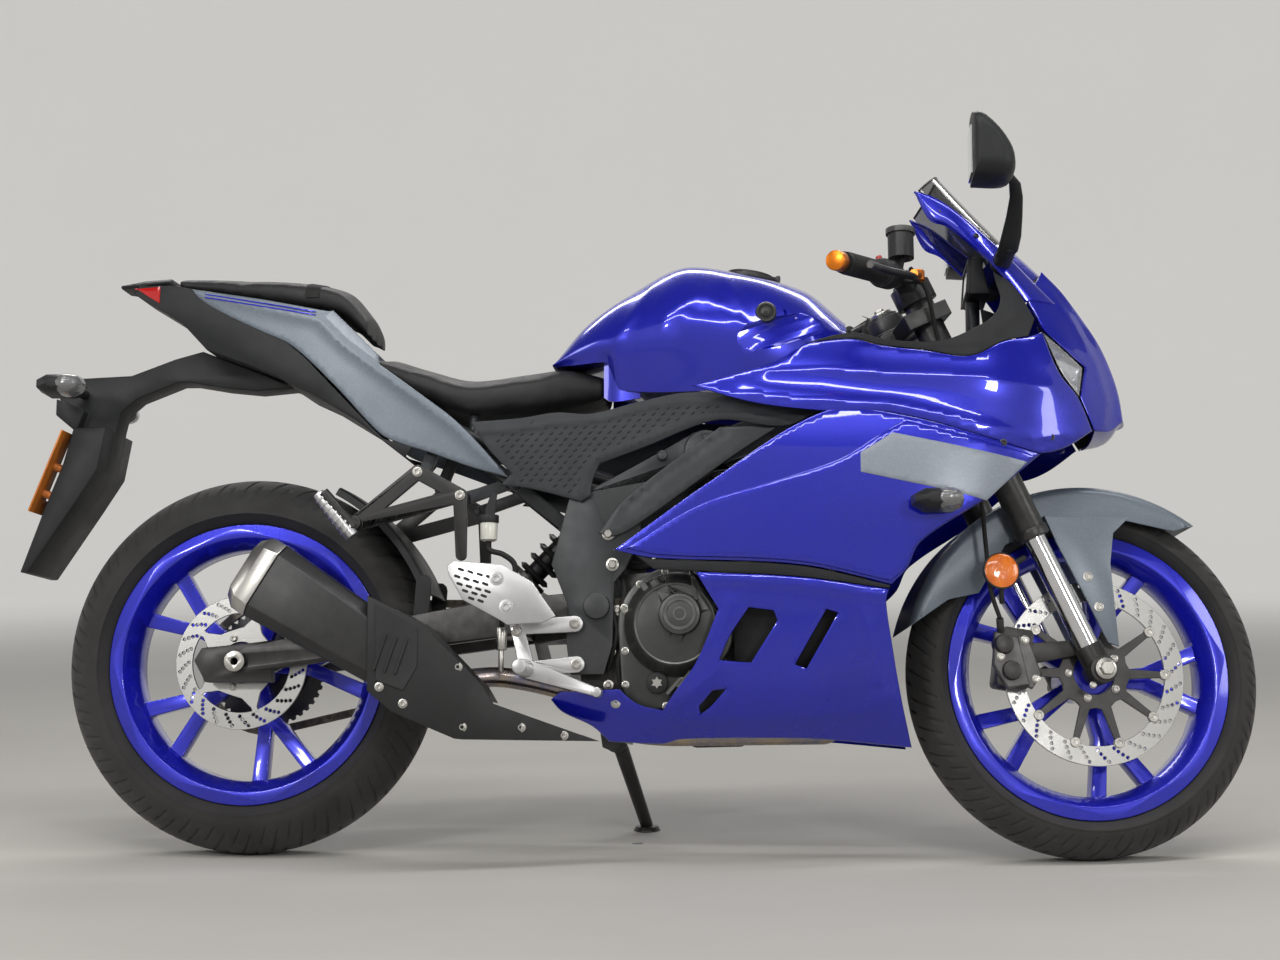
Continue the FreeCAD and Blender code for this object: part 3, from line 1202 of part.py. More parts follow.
# Cockpit, mirrors and riding controls.
feature("dash", "chassis", prism(
    ((DASH_POST - 10, DASH_FOOT), (DASH_POST - 5, 986), (DASH_POST + 9, 990), (DASH_POST + 24, DASH_FOOT)), -64, 64))


strip_outer = [[(x, -y, z) for x, y, z in edge] for edge in SPEAR]
spear_room = sections([edge + [(x, 40, z) for x, _, z in reversed(edge)] for edge in strip_outer])
spear_room.translate(Vector(0, -size("seat_gap"), 0))


def mirror():
    """One mirror: its foot on the cowl, the stem and the shell."""
    foot = rod((1252, -90, 966), (1266, -170, 990), 15, 11).cut(spear_room)
    foot = max(foot.Solids, key=lambda solid: solid.Volume)
    stem = pipe([(1262, -160, 984), (1270, -224, 1046), (1240, -270, 1076), (1216, -292, 1084)], 9)
    shell = []
    for y, half_deep, half_tall in ((-258, 14, 24), (-276, 27, 42), (-344, 28, 46), (-365, 16, 28)):
        x, z = 1218, 1090
        shell.append([(x - half_deep, y, z - half_tall), (x + half_deep * 0.3, y, z - half_tall),
                      (x + half_deep, y, z - half_tall * 0.4), (x + half_deep, y, z + half_tall * 0.4),
                      (x + half_deep * 0.3, y, z + half_tall), (x - half_deep, y, z + half_tall)])
    return joined(foot, stem, sections(shell))


feature("mirrors", "chassis", pair(mirror()))
feature("mirror_glass", "chassis", pair(prism(
    ((1187.2, 1052), (1189.7, 1052), (1189.7, 1128), (1187.2, 1128)), -342, -280)))

EYES = ((560, 373, 13), (563, 308, 13))
PEDAL_PIVOT = (484, 300, 12)
REARSET_TOP = (466, 367, 11)
REARSET_Y = -(PLATE_Y[1] + 0.3)
HEEL_PLATE = ((361, 461), (372, 469), (449, 463), (498, 435), (536, 381), (516, 371), (459, 367), (450, 373),
              (387, 407), (364, 447))
HEEL_Y = -205


def rearset():
    """One side's foot controls: the forked bracket, peg, heel plate and pedal."""
    near, far = REARSET_Y, REARSET_Y - 9
    arms = [link_plate(EYES[0], REARSET_TOP, near, far), link_plate(EYES[1], PEDAL_PIVOT, near, far),
            link_plate(REARSET_TOP, PEDAL_PIVOT, near, far)]
    x, z, _ = PEDAL_PIVOT
    peg = rod((x, far + 1, z), (x, far - 100, z), 13, 11)
    standoff = [rod((place_x, far + 1, place_z), (place_x, HEEL_Y + 1, place_z), 8)
                for place_x, place_z in ((REARSET_TOP[0], REARSET_TOP[1] + 6), )]
    plate = prism(HEEL_PLATE, HEEL_Y, HEEL_Y - 5)
    pedal = joined(link_plate((x, z, 15), (600, 262, 7), far - 14, far - 22),
                   rod((600, far - 14, 262), (600, far - 50, 262), 8),
                   rod((x, far + 1, z), (x, far - 22, z), 15))
    return joined(*arms, peg, *standoff, plate, pedal)


feature("rearsets", "chassis", pair(rearset()))


def pillion_set():
    """One side's passenger-peg bracket, an open triangle, and its folded peg."""
    near, far = -PILLION_Y, -PILLION_Y - 8
    corners = [(x, z, 12) for x, z in PILLION_BOLTS]
    apex = (195, 538, 13)
    arms = [link_plate(corners[0], apex, near, far), link_plate(corners[1], apex, near, far),
            link_plate(corners[1], (371, 486, 9), near, far), link_plate(corners[0], corners[1], near, far)]
    knuckle = rod((195, far + 1, 538), (195, far - 16, 538), 12)
    peg = rod((195, far - 10, 530), (146, far - 22, 588), 11, 9)
    return joined(*arms, knuckle, peg)


feature("pillion_pegs", "chassis", pair(pillion_set()))
feature("belly_pan", "chassis", joined(
    prism(((719, 196), (745, 179), (820, 181), (852, 196)), -52, 58),
    *[rod((742, y, 190), (742, y, 216.6), size("stay_radius")) for y in (-36, 40)]))

# Steering: everything that turns with the forks, built along the steering axis.
across_axis = Vector(math.cos(rake), 0, math.sin(rake))


def steer_prism(outline, y_from, y_to):
    """An outline of (ahead of the axis, up the axis) points, made solid between two lateral planes."""
    spots = [axis_at_axle + across_axis * ahead + steer_axis * up for ahead, up in outline]
    return prism([(spot.x, spot.z) for spot in spots], y_from, y_to)


FORK_OFFSET = (fork_line - axis_at_axle).Length
FORK_Y = size("fork_spacing")


def clamp(up, back, bore):
    """A triple clamp: a plate across both legs and the stem, bored for the legs."""
    half = size("clamp_thick") / 2
    plate = steer_prism(((-back, up - half), (FORK_OFFSET + 34, up - half), (FORK_OFFSET + 34, up + half), (-back, up + half)),
                        -FORK_Y - 34, FORK_Y + 34)
    corner = steer_prism(((-back - 1, up - TRIM / 10), (-6, up - TRIM / 10), (-6, up + TRIM / 10), (-back - 1, up + TRIM / 10)),
                         -FORK_Y - 40, -48)
    plate = plate.cut(corner).cut(corner.mirror(MID_PLANE, ALONG_Y))
    for side in (-1, 1):
        plate = plate.cut(rod(on_fork(up - TRIM / 10, side * FORK_Y), on_fork(up + TRIM / 10, side * FORK_Y), bore))
    return plate


fork_bore = size("fork_outer_radius") + size("head_bearing_gap")
stem = rod(on_axis(size("lower_clamp")), on_axis(size("upper_clamp") + 22), size("stem_radius"))
stem_nut = rod(on_axis(size("upper_clamp")), on_axis(size("upper_clamp") + 22), size("stem_radius") + 5)
feature("triple_clamps", "steering", joined(
    clamp(size("lower_clamp"), 30, fork_bore), clamp(size("upper_clamp"), 28, fork_bore), stem, stem_nut))


def bound_rod(label, radius, reach_from, reach_to, side):
    """A fork cylinder bound to the sheet, standing along one leg."""
    solid = doc.addObject("Part::Cylinder", label)
    drive(solid, Radius=radius, Height="(%s) - (%s)" % (reach_to, reach_from))
    solid.Placement = Placement(on_fork(value(cells(reach_from)), side * FORK_Y), Rotation(ALONG_Y, -size("rake_angle")))
    return solid


def fork_pair(label, outer, bore, reach_from, reach_to):
    """Two tubes, one to each leg, as one bound compound."""
    tubes = []
    for side, name in ((-1, "right"), (1, "left")):
        shell = bound_rod("%s_%s" % (label, name), outer, reach_from, reach_to, side)
        if bore:
            hollow = bound_rod("%s_%s_bore" % (label, name), bore, reach_from, reach_to, side)
            cut = doc.addObject("Part::Cut", "%s_%s_tube" % (label, name))
            cut.Base = shell
            cut.Tool = hollow
            shell = cut
        tubes.append(shell)
    whole = doc.addObject("Part::Compound", label)
    whole.Label = label
    whole.Links = tubes
    pieces.append((whole, "steering"))


fork_pair("fork_outer_tubes", "fork_outer_radius", "fork_inner_radius + head_bearing_gap", "fork_outer_foot",
          "fork_outer_head")
fork_pair("fork_inner_tubes", "fork_inner_radius", "", "fork_inner_foot", "fork_outer_foot + fork_overlap")


FOOT_HALF = 23


def fork_bottom():
    """One fork foot: the socket under the inner tube, the axle boss and the spacer to the hub."""
    socket = rod(on_fork(-6, -FORK_Y), on_fork(size("fork_inner_foot") - 0.3, -FORK_Y), 22.5)
    boss = rod((fork_line.x, -FORK_Y + FOOT_HALF, fork_line.z), (fork_line.x, -FORK_Y - FOOT_HALF, fork_line.z), 22)
    spacer = rod((fork_line.x, -size("hub_half_front") - 0.5, fork_line.z), (fork_line.x, -FORK_Y, fork_line.z), 16)
    foot = joined(socket, boss, spacer)
    return foot.cut(rod((fork_line.x, -TRIM, fork_line.z), (fork_line.x, 0, fork_line.z), size("axle_radius") + 0.1))


feature("fork_bottoms", "steering", pair(fork_bottom()))
hollow_axle("front_axle", "steering", FORK_Y + FOOT_HALF + size("seat_gap") + OVERLAP, fork_line)


def clip_on():
    """One clip-on: its clamp on the fork leg, the bar and the switch housing."""
    ring = rod(on_fork(664, -FORK_Y), on_fork(698, -FORK_Y), size("fork_outer_radius") + 9)
    lug = beam(tuple(on_fork(684, -FORK_Y) + Vector(-12, -26, 4)), tuple(on_bar(-134)), 28, 30)
    bar = rod(on_bar(-118), on_bar(-346), size("bar_radius"))
    housing = rod(on_bar(-184), on_bar(-216), 22)
    return joined(ring, lug, bar, housing).cut(
        rod(on_fork(600, -FORK_Y), on_fork(760, -FORK_Y), size("fork_outer_radius") + size("head_bearing_gap")))


feature("clip_ons", "steering", pair(clip_on()))
feature("grips", "steering", pair(rod(on_bar(-220), on_bar(-338), size("grip_radius")).cut(
    rod(on_bar(-200), on_bar(-360), size("bar_radius") + size("seat_gap")))))
feature("bar_ends", "steering", pair(rod(on_bar(-346.4), on_bar(-364), size("bar_end_radius"))))


def lever():
    """One hand lever on its perch round the bar."""
    perch = joined(rod(on_bar(-166), on_bar(-181), 19),
                   beam(tuple(on_bar(-174) + Vector(10, 0, -4)), tuple(on_bar(-182) + Vector(46, -10, -6)), 16, 18))
    start = on_bar(-186) + Vector(44, -4, -6)
    blade = pipe([tuple(start), tuple(on_bar(-232) + Vector(54, -10, -8)), tuple(on_bar(-290) + Vector(40, -12, -8)),
                  tuple(on_bar(-340) + Vector(40, -14, -6))], 6)
    return joined(perch, blade).cut(rod(on_bar(-140), on_bar(-200), size("bar_radius") + 0.2))


reservoir_foot = on_bar(-169) + Vector(12, 0, 30)
reservoir = joined(rod(tuple(reservoir_foot), tuple(reservoir_foot + Vector(0, 0, 42)), 21),
                   rod(tuple(reservoir_foot + Vector(0, 0, 41)), tuple(reservoir_foot + Vector(0, 0, 50)), 24),
                   beam(reservoir_foot + Vector(0, 0, 6), on_bar(-176) + Vector(10, 0, 12), 10, 12), lever()).cut(clip_on())
feature("levers", "steering", Part.makeCompound([reservoir, lever().mirror(MID_PLANE, ALONG_Y)]))


FENDER_EDGE = ((1580, 547), (1524, 530), (1442, 546), (1415, 530), (1300, 530), (1240, 500), (1194, 420), (1143, 408),
               (1060, 350), (1000, 380), (1000, 700), (1620, 700))
FENDER_BOSS = (1270, 531)
FORK_GUARD = ((1320, 500), (1300, 546), (1442, 546), (1415, 520), (1408, 470), (1416, 334), (1398, 340), (1364, 413))


def front_fender():
    """The front fender: an arc over the tyre with deep sides, and a guard ahead of each fork leg."""
    radius = size("front_tyre_radius") + 13
    x, z = fork_line.x, fork_line.z
    wall, half = 3.5, 69.5
    shell = rod((x, -half, z), (x, half, z), radius + wall)
    shell = shell.makeFillet(16, [edge for edge in shell.Edges if len(edge.Vertexes) == 1])
    hollow = rod((x, -half + wall, z), (x, half - wall, z), radius)
    shell = shell.cut(hollow.makeFillet(16 - wall, [edge for edge in hollow.Edges if len(edge.Vertexes) == 1]))
    arch = shell.common(prism(FENDER_EDGE, -100, 100))
    guard = prism(FORK_GUARD, -90, -85)
    web = prism(((1306, 534), (1300, 546), (1442, 546), (1415, 534)), -90, -half + wall / 2)
    x, z = FENDER_BOSS
    boss = rod((x, -half + 1, z), (x, -FORK_Y + size("fork_outer_radius") + size("seat_gap"), z), 9)
    side = joined(guard, web, boss)
    return joined(arch, side, side.mirror(MID_PLANE, ALONG_Y))


feature("front_fender", "steering", front_fender())
feature("front_caliper", "steering", joined(
    caliper((1243, 312), -82, size("front_disc_plane"), 96, 52, 18, 30),
    link_plate((1252, 318, 18), (1350, 332, 12), -86, -78)).cut(
        rod(on_fork(-60, -FORK_Y), on_fork(240, -FORK_Y), 22.5 + size("seat_gap"))))
feature("reflectors", "steering", pair(rod(
    on_fork(268, -FORK_Y) + Vector(0, -25.3, 0), on_fork(268, -FORK_Y) + Vector(0, -33, 0), 26)))

# Side stand: from its pivot to a foot flat on the floor, worked out from the parked pose below.
lean = size("lean_angle")


def parked_base():
    """Lean to the left, then the small lift and pitch that set both round crowns on the floor."""
    base = Placement(MID_PLANE, Rotation(Vector(1, 0, 0), -lean))
    turn = steer_turn(size("steer_rest"))
    wheels = ((Vector(0, 0, size("rear_tyre_radius")), ALONG_Y, "rear"),
              (turn.multVec(fork_line), turn.Rotation.multVec(ALONG_Y), "front"))
    for _ in range(6):
        lows = []
        for centre, axle, name in wheels:
            place, line = base.multVec(centre), base.Rotation.multVec(axle)
            crown = size(name + "_crown_radius")
            ring = size(name + "_tyre_radius") - crown
            lows.append((place.x, place.z - ring * math.sqrt(1 - line.z ** 2) - crown))
        (rear_x, rear_low), (front_x, front_low) = lows
        pitch = math.degrees(math.atan2(front_low - rear_low, front_x - rear_x))
        level = Placement(Vector(0, 0, -rear_low), Rotation(ALONG_Y, pitch), Vector(rear_x, 0, 0))
        base = level.multiply(base)
    return base


base = parked_base()
to_bike = base.inverse()
stand_pivot = Vector(*STAND_PIVOT)
foot_point = to_bike.multVec(Vector(*STAND_FOOT_ON_FLOOR, 0))
floor_up = to_bike.Rotation.multVec(Vector(0, 0, 1))
stand_axis = (foot_point - stand_pivot).cross(Vector(*STAND_STOWED)).normalize()


def side_stand():
    """The stand's leg, its eye on the pivot pin and the round foot that lies flat on the floor."""
    top = foot_point + floor_up * size("stand_foot_thick")
    ankle = top + (stand_pivot - top).normalize() * 10
    foot = rod(foot_point, top, size("stand_foot_radius"), size("stand_foot_radius") - 4)
    down = (ankle - stand_pivot).normalize()
    knee = stand_pivot + down * (size("stand_boss_radius") + 7)
    neck = rod(stand_pivot, knee + down * 4, size("stand_boss_length") / 2 - 0.5)
    leg = joined(neck, rod(knee, ankle, size("stand_leg_radius") + 2, size("stand_leg_radius")))
    tip = rod(ankle, top, size("stand_leg_radius"))
    half = stand_axis * (size("stand_boss_length") / 2)
    eye = rod(stand_pivot - half, stand_pivot + half, size("stand_boss_radius"))
    bore = rod(stand_pivot - half * 8, stand_pivot + half * 8, size("stand_pin_radius") + size("bearing_gap"))
    return joined(foot, leg, tip, eye).cut(bore)


feature("side_stand", "side_stand", side_stand())


def stand_bracket():
    """The bracket under the left of the frame, with the fixed pin that the stand turns on."""
    half = stand_axis * (size("stand_boss_length") / 2)
    inner = stand_pivot - half - stand_axis * 0.3
    cheek = rod(inner, inner - stand_axis * 12, size("stand_boss_radius") + 2)
    pin = rod(inner - stand_axis * 4, stand_pivot + half + stand_axis * 1.5,
              size("stand_pin_radius") - size("head_bearing_gap"))
    head = rod(stand_pivot + half + stand_axis * 0.5, stand_pivot + half + stand_axis * 5, size("stand_pin_radius") + 4)
    plate = prism(((556, 330), (618, 336), (624, 200), (600, 172), (580, 180)), CASE_HALF + 0.5, CASE_HALF + 4)
    arm = link_plate((566, 336, 14), (600, 318, 14), CASE_HALF + 0.5, PLATE_Y[0] + 2)
    return joined(plate, cheek, pin, head, arm)


feature("main_frame", "chassis", Part.makeCompound([joined(main_frame(), subframe()), stand_bracket()]))

# The parked pose: where each body frame's own zero goes, and the origin under the middle of the whole.
turned = steer_turn(size("steer_rest"))
FRAMES = {
    "chassis": base,
    "side_stand": base,
    "filler_lid": base,
    "steering": base.multiply(turned),
    "front_wheel": base.multiply(turned).multiply(Placement(fork_line, Rotation())),
    "rear_wheel": base.multiply(Placement(Vector(0, 0, AXLE_Z), Rotation())),
}

doc.recompute()
for thing, frame_name in pieces:
    thing.Placement = FRAMES[frame_name].multiply(thing.Placement)
doc.recompute()

reach = FreeCAD.BoundBox()
for thing, _ in pieces:
    reach.add(thing.Shape.optimalBoundingBox(False))
origin = Vector((reach.XMin + reach.XMax) / 2, (reach.YMin + reach.YMax) / 2, 0)
shift = Placement(-origin, Rotation())
for thing, _ in pieces:
    thing.Placement = shift.multiply(thing.Placement)
doc.recompute()

for thing in doc.Objects:
    if set(thing.State) & {"Invalid", "Error"}:
        raise RuntimeError("%s is %s" % (thing.Name, thing.State))
faulty = [thing.Label for thing, _ in pieces if thing.Shape.isNull() or not thing.Shape.isValid()]
if faulty:
    raise RuntimeError("no valid shape: " + ", ".join(faulty))


def metres(vector):
    """A place in metres, as the record gives it."""
    return [round(part / 1000, 6) for part in vector]


def unit(vector):
    """A direction, rounded for the record."""
    return [round(part, 6) for part in vector]


whole = shift.multiply(base)
steered = shift.multiply(FRAMES["steering"])
cap = whole.multiply(cap_frame())
print("size", [round(side, 1) for side in (reach.XLength, reach.YLength, reach.ZLength)], "low", round(reach.ZMin, 3))
print("steering", metres(whole.multVec(on_axis(0))), unit(whole.Rotation.multVec(steer_axis)))
print("front axle", metres(steered.multVec(fork_line)), unit(steered.Rotation.multVec(ALONG_Y)))
print("rear axle", metres(whole.multVec(Vector(0, 0, AXLE_Z))), unit(whole.Rotation.multVec(ALONG_Y)))
print("stand pivot", metres(whole.multVec(stand_pivot)), unit(whole.Rotation.multVec(stand_axis)))
print("lid hinge", metres(cap.multVec(Vector(HINGE_X, 0, HINGE_Z))), unit(cap.Rotation.multVec(ALONG_Y)))
print("stand travel", round(math.degrees((foot_point - stand_pivot).getAngle(Vector(*STAND_STOWED))), 1))
for share in PLATE_BOLT_SHARES:
    for side in (-1, 1):
        print("plate bolt", metres(whole.multVec(plate_bolt(share, side))), unit(whole.Rotation.multVec(plate_normal)))
for name, spot in (("filler top", (0, 0, -6)), ("filler floor", (0, 0, -size("filler_depth")))):
    print(name, metres(cap.multVec(Vector(*spot))))

os.makedirs("parts", exist_ok=True)
for thing, _ in pieces:
    thing.Shape.exportStep("parts/%s.step" % thing.Label)
print("pieces", len(pieces))
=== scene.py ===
"""Looks of a parked sport bike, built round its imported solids.

Every size is in millimetres in the bike's own upright frame (x forward from the rear axle's line, y to the
left, z up from the floor) until a mesh is finished, and then it is set in the row frame in metres.
"""

from __future__ import annotations

import logging
import math
from dataclasses import dataclass, replace
from enum import Enum
from typing import Callable, Sequence

import bmesh
import bpy
import numpy as np
from mathutils import Matrix, Vector
from mathutils.bvhtree import BVHTree
from mathutils.geometry import delaunay_2d_cdt


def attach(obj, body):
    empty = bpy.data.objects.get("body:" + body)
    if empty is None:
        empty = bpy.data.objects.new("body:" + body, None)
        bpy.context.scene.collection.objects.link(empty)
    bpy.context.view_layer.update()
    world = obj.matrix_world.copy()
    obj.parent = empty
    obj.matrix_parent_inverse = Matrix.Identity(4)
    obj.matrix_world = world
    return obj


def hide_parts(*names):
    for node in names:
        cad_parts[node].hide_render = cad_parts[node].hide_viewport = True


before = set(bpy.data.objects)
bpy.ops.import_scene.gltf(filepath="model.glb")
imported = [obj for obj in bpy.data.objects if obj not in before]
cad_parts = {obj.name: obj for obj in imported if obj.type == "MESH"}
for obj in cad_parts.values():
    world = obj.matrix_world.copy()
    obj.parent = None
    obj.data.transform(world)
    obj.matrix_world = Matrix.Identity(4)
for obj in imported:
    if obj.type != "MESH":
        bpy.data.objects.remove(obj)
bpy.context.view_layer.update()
LOG = logging.getLogger("sport_bike")

Point = tuple[float, float, float]
Flat = tuple[float, float]
Colour = tuple[float, float, float]
RIGHT, LEFT = -1, 1
SIDES = (RIGHT, LEFT)


class Body(Enum):
    """The bodies that move apart from each other."""

    CHASSIS = "chassis"
    STEERING = "steering"
    FRONT_WHEEL = "front_wheel"
    REAR_WHEEL = "rear_wheel"
    SIDE_STAND = "side_stand"
    FILLER_LID = "filler_lid"


@dataclass(frozen=True)
class Parking:
    """How the bike stands: its lean, its steering's turn and the places that set the frames."""

    lean: float = 8.0
    pitch: float = 0.0976
    steer: float = 12.0
    rake: float = 25.0
    wheelbase: float = 1380.0
    trail: float = 95.0
    front_radius: float = 293.0
    rear_radius: float = 314.0
    shift: Point = (-640.615, -126.984, 0.705)

    def upright(self) -> Matrix:
        """From the upright frame in millimetres to the row frame in metres."""
        turn = Matrix.Rotation(math.radians(self.pitch), 4, "Y") @ Matrix.Rotation(math.radians(-self.lean), 4, "X")
        return Matrix.Scale(0.001, 4) @ Matrix.Translation(self.shift) @ turn

    def steered(self) -> Matrix:
        """The same for what turns with the bars, given as it is with the wheel straight."""
        rake = math.radians(self.rake)
        axis = Vector((-math.sin(rake), 0, math.cos(rake)))
        foot = Vector((self.wheelbase + self.trail, 0, 0))
        turn = Matrix.Rotation(math.radians(self.steer), 4, axis)
        return self.upright() @ Matrix.Translation(foot) @ turn @ Matrix.Translation(-foot)

    def front_wheel(self) -> Matrix:
        """The front wheel's own frame, zero at its axle."""
        return self.steered() @ Matrix.Translation((self.wheelbase, 0, self.front_radius))

    def rear_wheel(self) -> Matrix:
        """The rear wheel's own frame, zero at its axle."""
        return self.upright() @ Matrix.Translation((0, 0, self.rear_radius))

    def fork(self, reach: float, y: float = 0.0, ahead: float = 0.0) -> Point:
        """A point counted up along the fork from the front axle, across and ahead of its line."""
        rake = math.radians(self.rake)
        return (self.wheelbase - reach * math.sin(rake) + ahead * math.cos(rake), y,
                self.front_radius + reach * math.cos(rake) + ahead * math.sin(rake))


PARKING = Parking()
FRAMES: dict[Body, Matrix] = {
    Body.CHASSIS: PARKING.upright(),
    Body.STEERING: PARKING.steered(),
    Body.FRONT_WHEEL: PARKING.front_wheel(),
    Body.REAR_WHEEL: PARKING.rear_wheel(),
    Body.SIDE_STAND: PARKING.upright(),
    Body.FILLER_LID: PARKING.upright(),
}


# Node trees and the shader groups that several finishes share.


class Graph:
    """A node tree that is being wired."""

    def __init__(self, tree: bpy.types.NodeTree) -> None:
        """Take a tree.

        Args:
            tree: The tree that nodes are added to.
        """
        self.tree = tree

    @classmethod
    def group(cls, name: str, takes: dict[str, str], gives: dict[str, str],
              kind: str = "ShaderNodeTree") -> "Graph":
        """Start a group.

        Args:
            name: What the group is called.
            takes: Each input's name and kind of socket.
            gives: Each output's name and kind of socket.
            kind: The kind of tree.

        Returns:
            The graph, with the group's inputs as its source.
        """
        graph = cls(bpy.data.node_groups.new(name, kind))
        for way, sockets in (("INPUT", takes), ("OUTPUT", gives)):
            for label, socket in sockets.items():
                graph.tree.interface.new_socket(name=label, in_out=way, socket_type="NodeSocket" + socket)
        graph.source = graph.node("NodeGroupInput").outputs
        return graph

    def close(self, **results: bpy.types.NodeSocket) -> bpy.types.NodeTree:
        """Send sockets out of the group and give its tree."""
        self.node("NodeGroupOutput", results)
        return self.tree

    def feed(self, node: bpy.types.Node, inputs: dict) -> None:
        """Link each socket that is given to a node's input, and set each plain value on it."""
        for name, value in inputs.items():
            if isinstance(value, bpy.types.NodeSocket):
                self.tree.links.new(value, node.inputs[name])
            else:
                node.inputs[name].default_value = value

    def node(self, kind: str, inputs: dict | None = None, **settings: object) -> bpy.types.Node:
        """Add a node.

        Args:
            kind: The node's type.
            inputs: What each of its inputs gets, by name or number.
            **settings: The node's own settings.

        Returns:
            The node.
        """
        node = self.tree.nodes.new(kind)
        for name, value in settings.items():
            setattr(node, name, value)
        self.feed(node, inputs or {})
        return node

    def math(self, operation: str, *values: object, clamp: bool = False) -> bpy.types.NodeSocket:
        """Add a sum over sockets and numbers, and give its result."""
        node = self.node("ShaderNodeMath", dict(enumerate(values)), operation=operation, use_clamp=clamp)
        return node.outputs[0]

    def spread(self, value: bpy.types.NodeSocket, low: float, high: float, to_low: float = 0.0,
               to_high: float = 1.0, curve: str = "LINEAR") -> bpy.types.NodeSocket:
        """Spread a value from one range to another, and give the result."""
        ends = {"Value": value, "From Min": low, "From Max": high, "To Min": to_low, "To Max": to_high}
        return self.node("ShaderNodeMapRange", ends, interpolation_type=curve).outputs["Result"]

    def noise(self, place: bpy.types.NodeSocket, scale: object, detail: float,
              rough: float = 0.5) -> bpy.types.NodeSocket:
        """Add noise at a place, and give its value."""
        values = {"Vector": place, "Scale": scale, "Detail": detail, "Roughness": rough}
        return self.node("ShaderNodeTexNoise", values).outputs["Fac"]

    def mix(self, factor: bpy.types.NodeSocket, first: object, second: object) -> bpy.types.NodeSocket:
        """Mix a colour over another by a mask, and give the result."""
        values = {"Factor": factor, "A": first, "B": second}
        return self.node("ShaderNodeMix", values, data_type="RGBA").outputs["Result"]


class Effects:
    """The shader node groups, each built once."""

    def __init__(self) -> None:
        """Build every group."""
        self.grain = self._grain()
        self.drift = self._drift()
        self.wear = self._wear()
        self.brushed = self._brushed()
        self.flake = self._flake()
        self.dust = self._dust()

    @staticmethod
    def _grain() -> bpy.types.NodeTree:
        """Moulded grain: cells softened by noise."""
        graph = Graph.group("moulded_grain", {"Vector": "Vector", "Scale": "Float"}, {"Height": "Float"})
        place, scale = graph.source["Vector"], graph.source["Scale"]
        cells = graph.node("ShaderNodeTexVoronoi", {"Vector": place, "Scale": scale}).outputs["Distance"]
        return graph.close(Height=graph.math("MULTIPLY_ADD", cells, 0.6, graph.noise(place, scale, 4)))

    @staticmethod
    def _drift() -> bpy.types.NodeTree:
        """Slow change between a colour and its shade."""
        graph = Graph.group("colour_drift", {"Vector": "Vector", "Colour": "Color", "Shade": "Color",
                                             "Scale": "Float"}, {"Colour": "Color", "Mask": "Float"})
        source = graph.source
        mask = graph.spread(graph.noise(source["Vector"], source["Scale"], 6, 0.62), 0.32, 0.68)
        return graph.close(Colour=graph.mix(mask, source["Colour"], source["Shade"]), Mask=mask)

    @staticmethod
    def _wear() -> bpy.types.NodeTree:
        """Rubbed edges, broken up by noise."""
        graph = Graph.group("edge_wear", {"Vector": "Vector", "Amount": "Float"}, {"Mask": "Float"})
        edges = graph.spread(graph.node("ShaderNodeNewGeometry").outputs["Pointiness"], 0.515, 0.60)
        broken = graph.math("MULTIPLY", edges, graph.noise(graph.source["Vector"], 55, 5))
        return graph.close(Mask=graph.math("MULTIPLY", broken, graph.source["Amount"], clamp=True))

    @staticmethod
    def _brushed() -> bpy.types.NodeTree:
        """Fine streaks drawn out along one way."""
        graph = Graph.group("brushed_streaks", {"Vector": "Vector", "Stretch": "Vector"}, {"Height": "Float"})
        pull = graph.node("ShaderNodeVectorMath", {0: graph.source["Vector"], 1: graph.source["Stretch"]},
                          operation="MULTIPLY")
        return graph.close(Height=graph.noise(pull.outputs["Vector"], 1, 3))

    @staticmethod
    def _flake() -> bpy.types.NodeTree:
        """Metal flakes under a clear coat: a chance value for each small cell."""
        graph = Graph.group("paint_flake", {"Vector": "Vector", "Scale": "Float"}, {"Mask": "Float"})
        cells = graph.node("ShaderNodeTexVoronoi", {name: graph.source[name] for name in ("Vector", "Scale")})
        parts = graph.node("ShaderNodeSeparateColor", {"Color": cells.outputs["Color"]})
        return graph.close(Mask=parts.outputs["Red"])

    @staticmethod
    def _dust() -> bpy.types.NodeTree:
        """Road dust that gathers low down."""
        graph = Graph.group("road_dust", {"Vector": "Vector", "Amount": "Float"}, {"Mask": "Float"})
        place = graph.source["Vector"]
        low = graph.spread(graph.node("ShaderNodeSeparateXYZ", {0: place}).outputs["Z"], 0.75, 0.05)
        broken = graph.math("MULTIPLY", low, graph.noise(place, 14, 7))
        return graph.close(Mask=graph.math("MULTIPLY", broken, graph.source["Amount"], clamp=True))


EFFECTS = Effects()
DUST: Colour = (0.16, 0.145, 0.125)


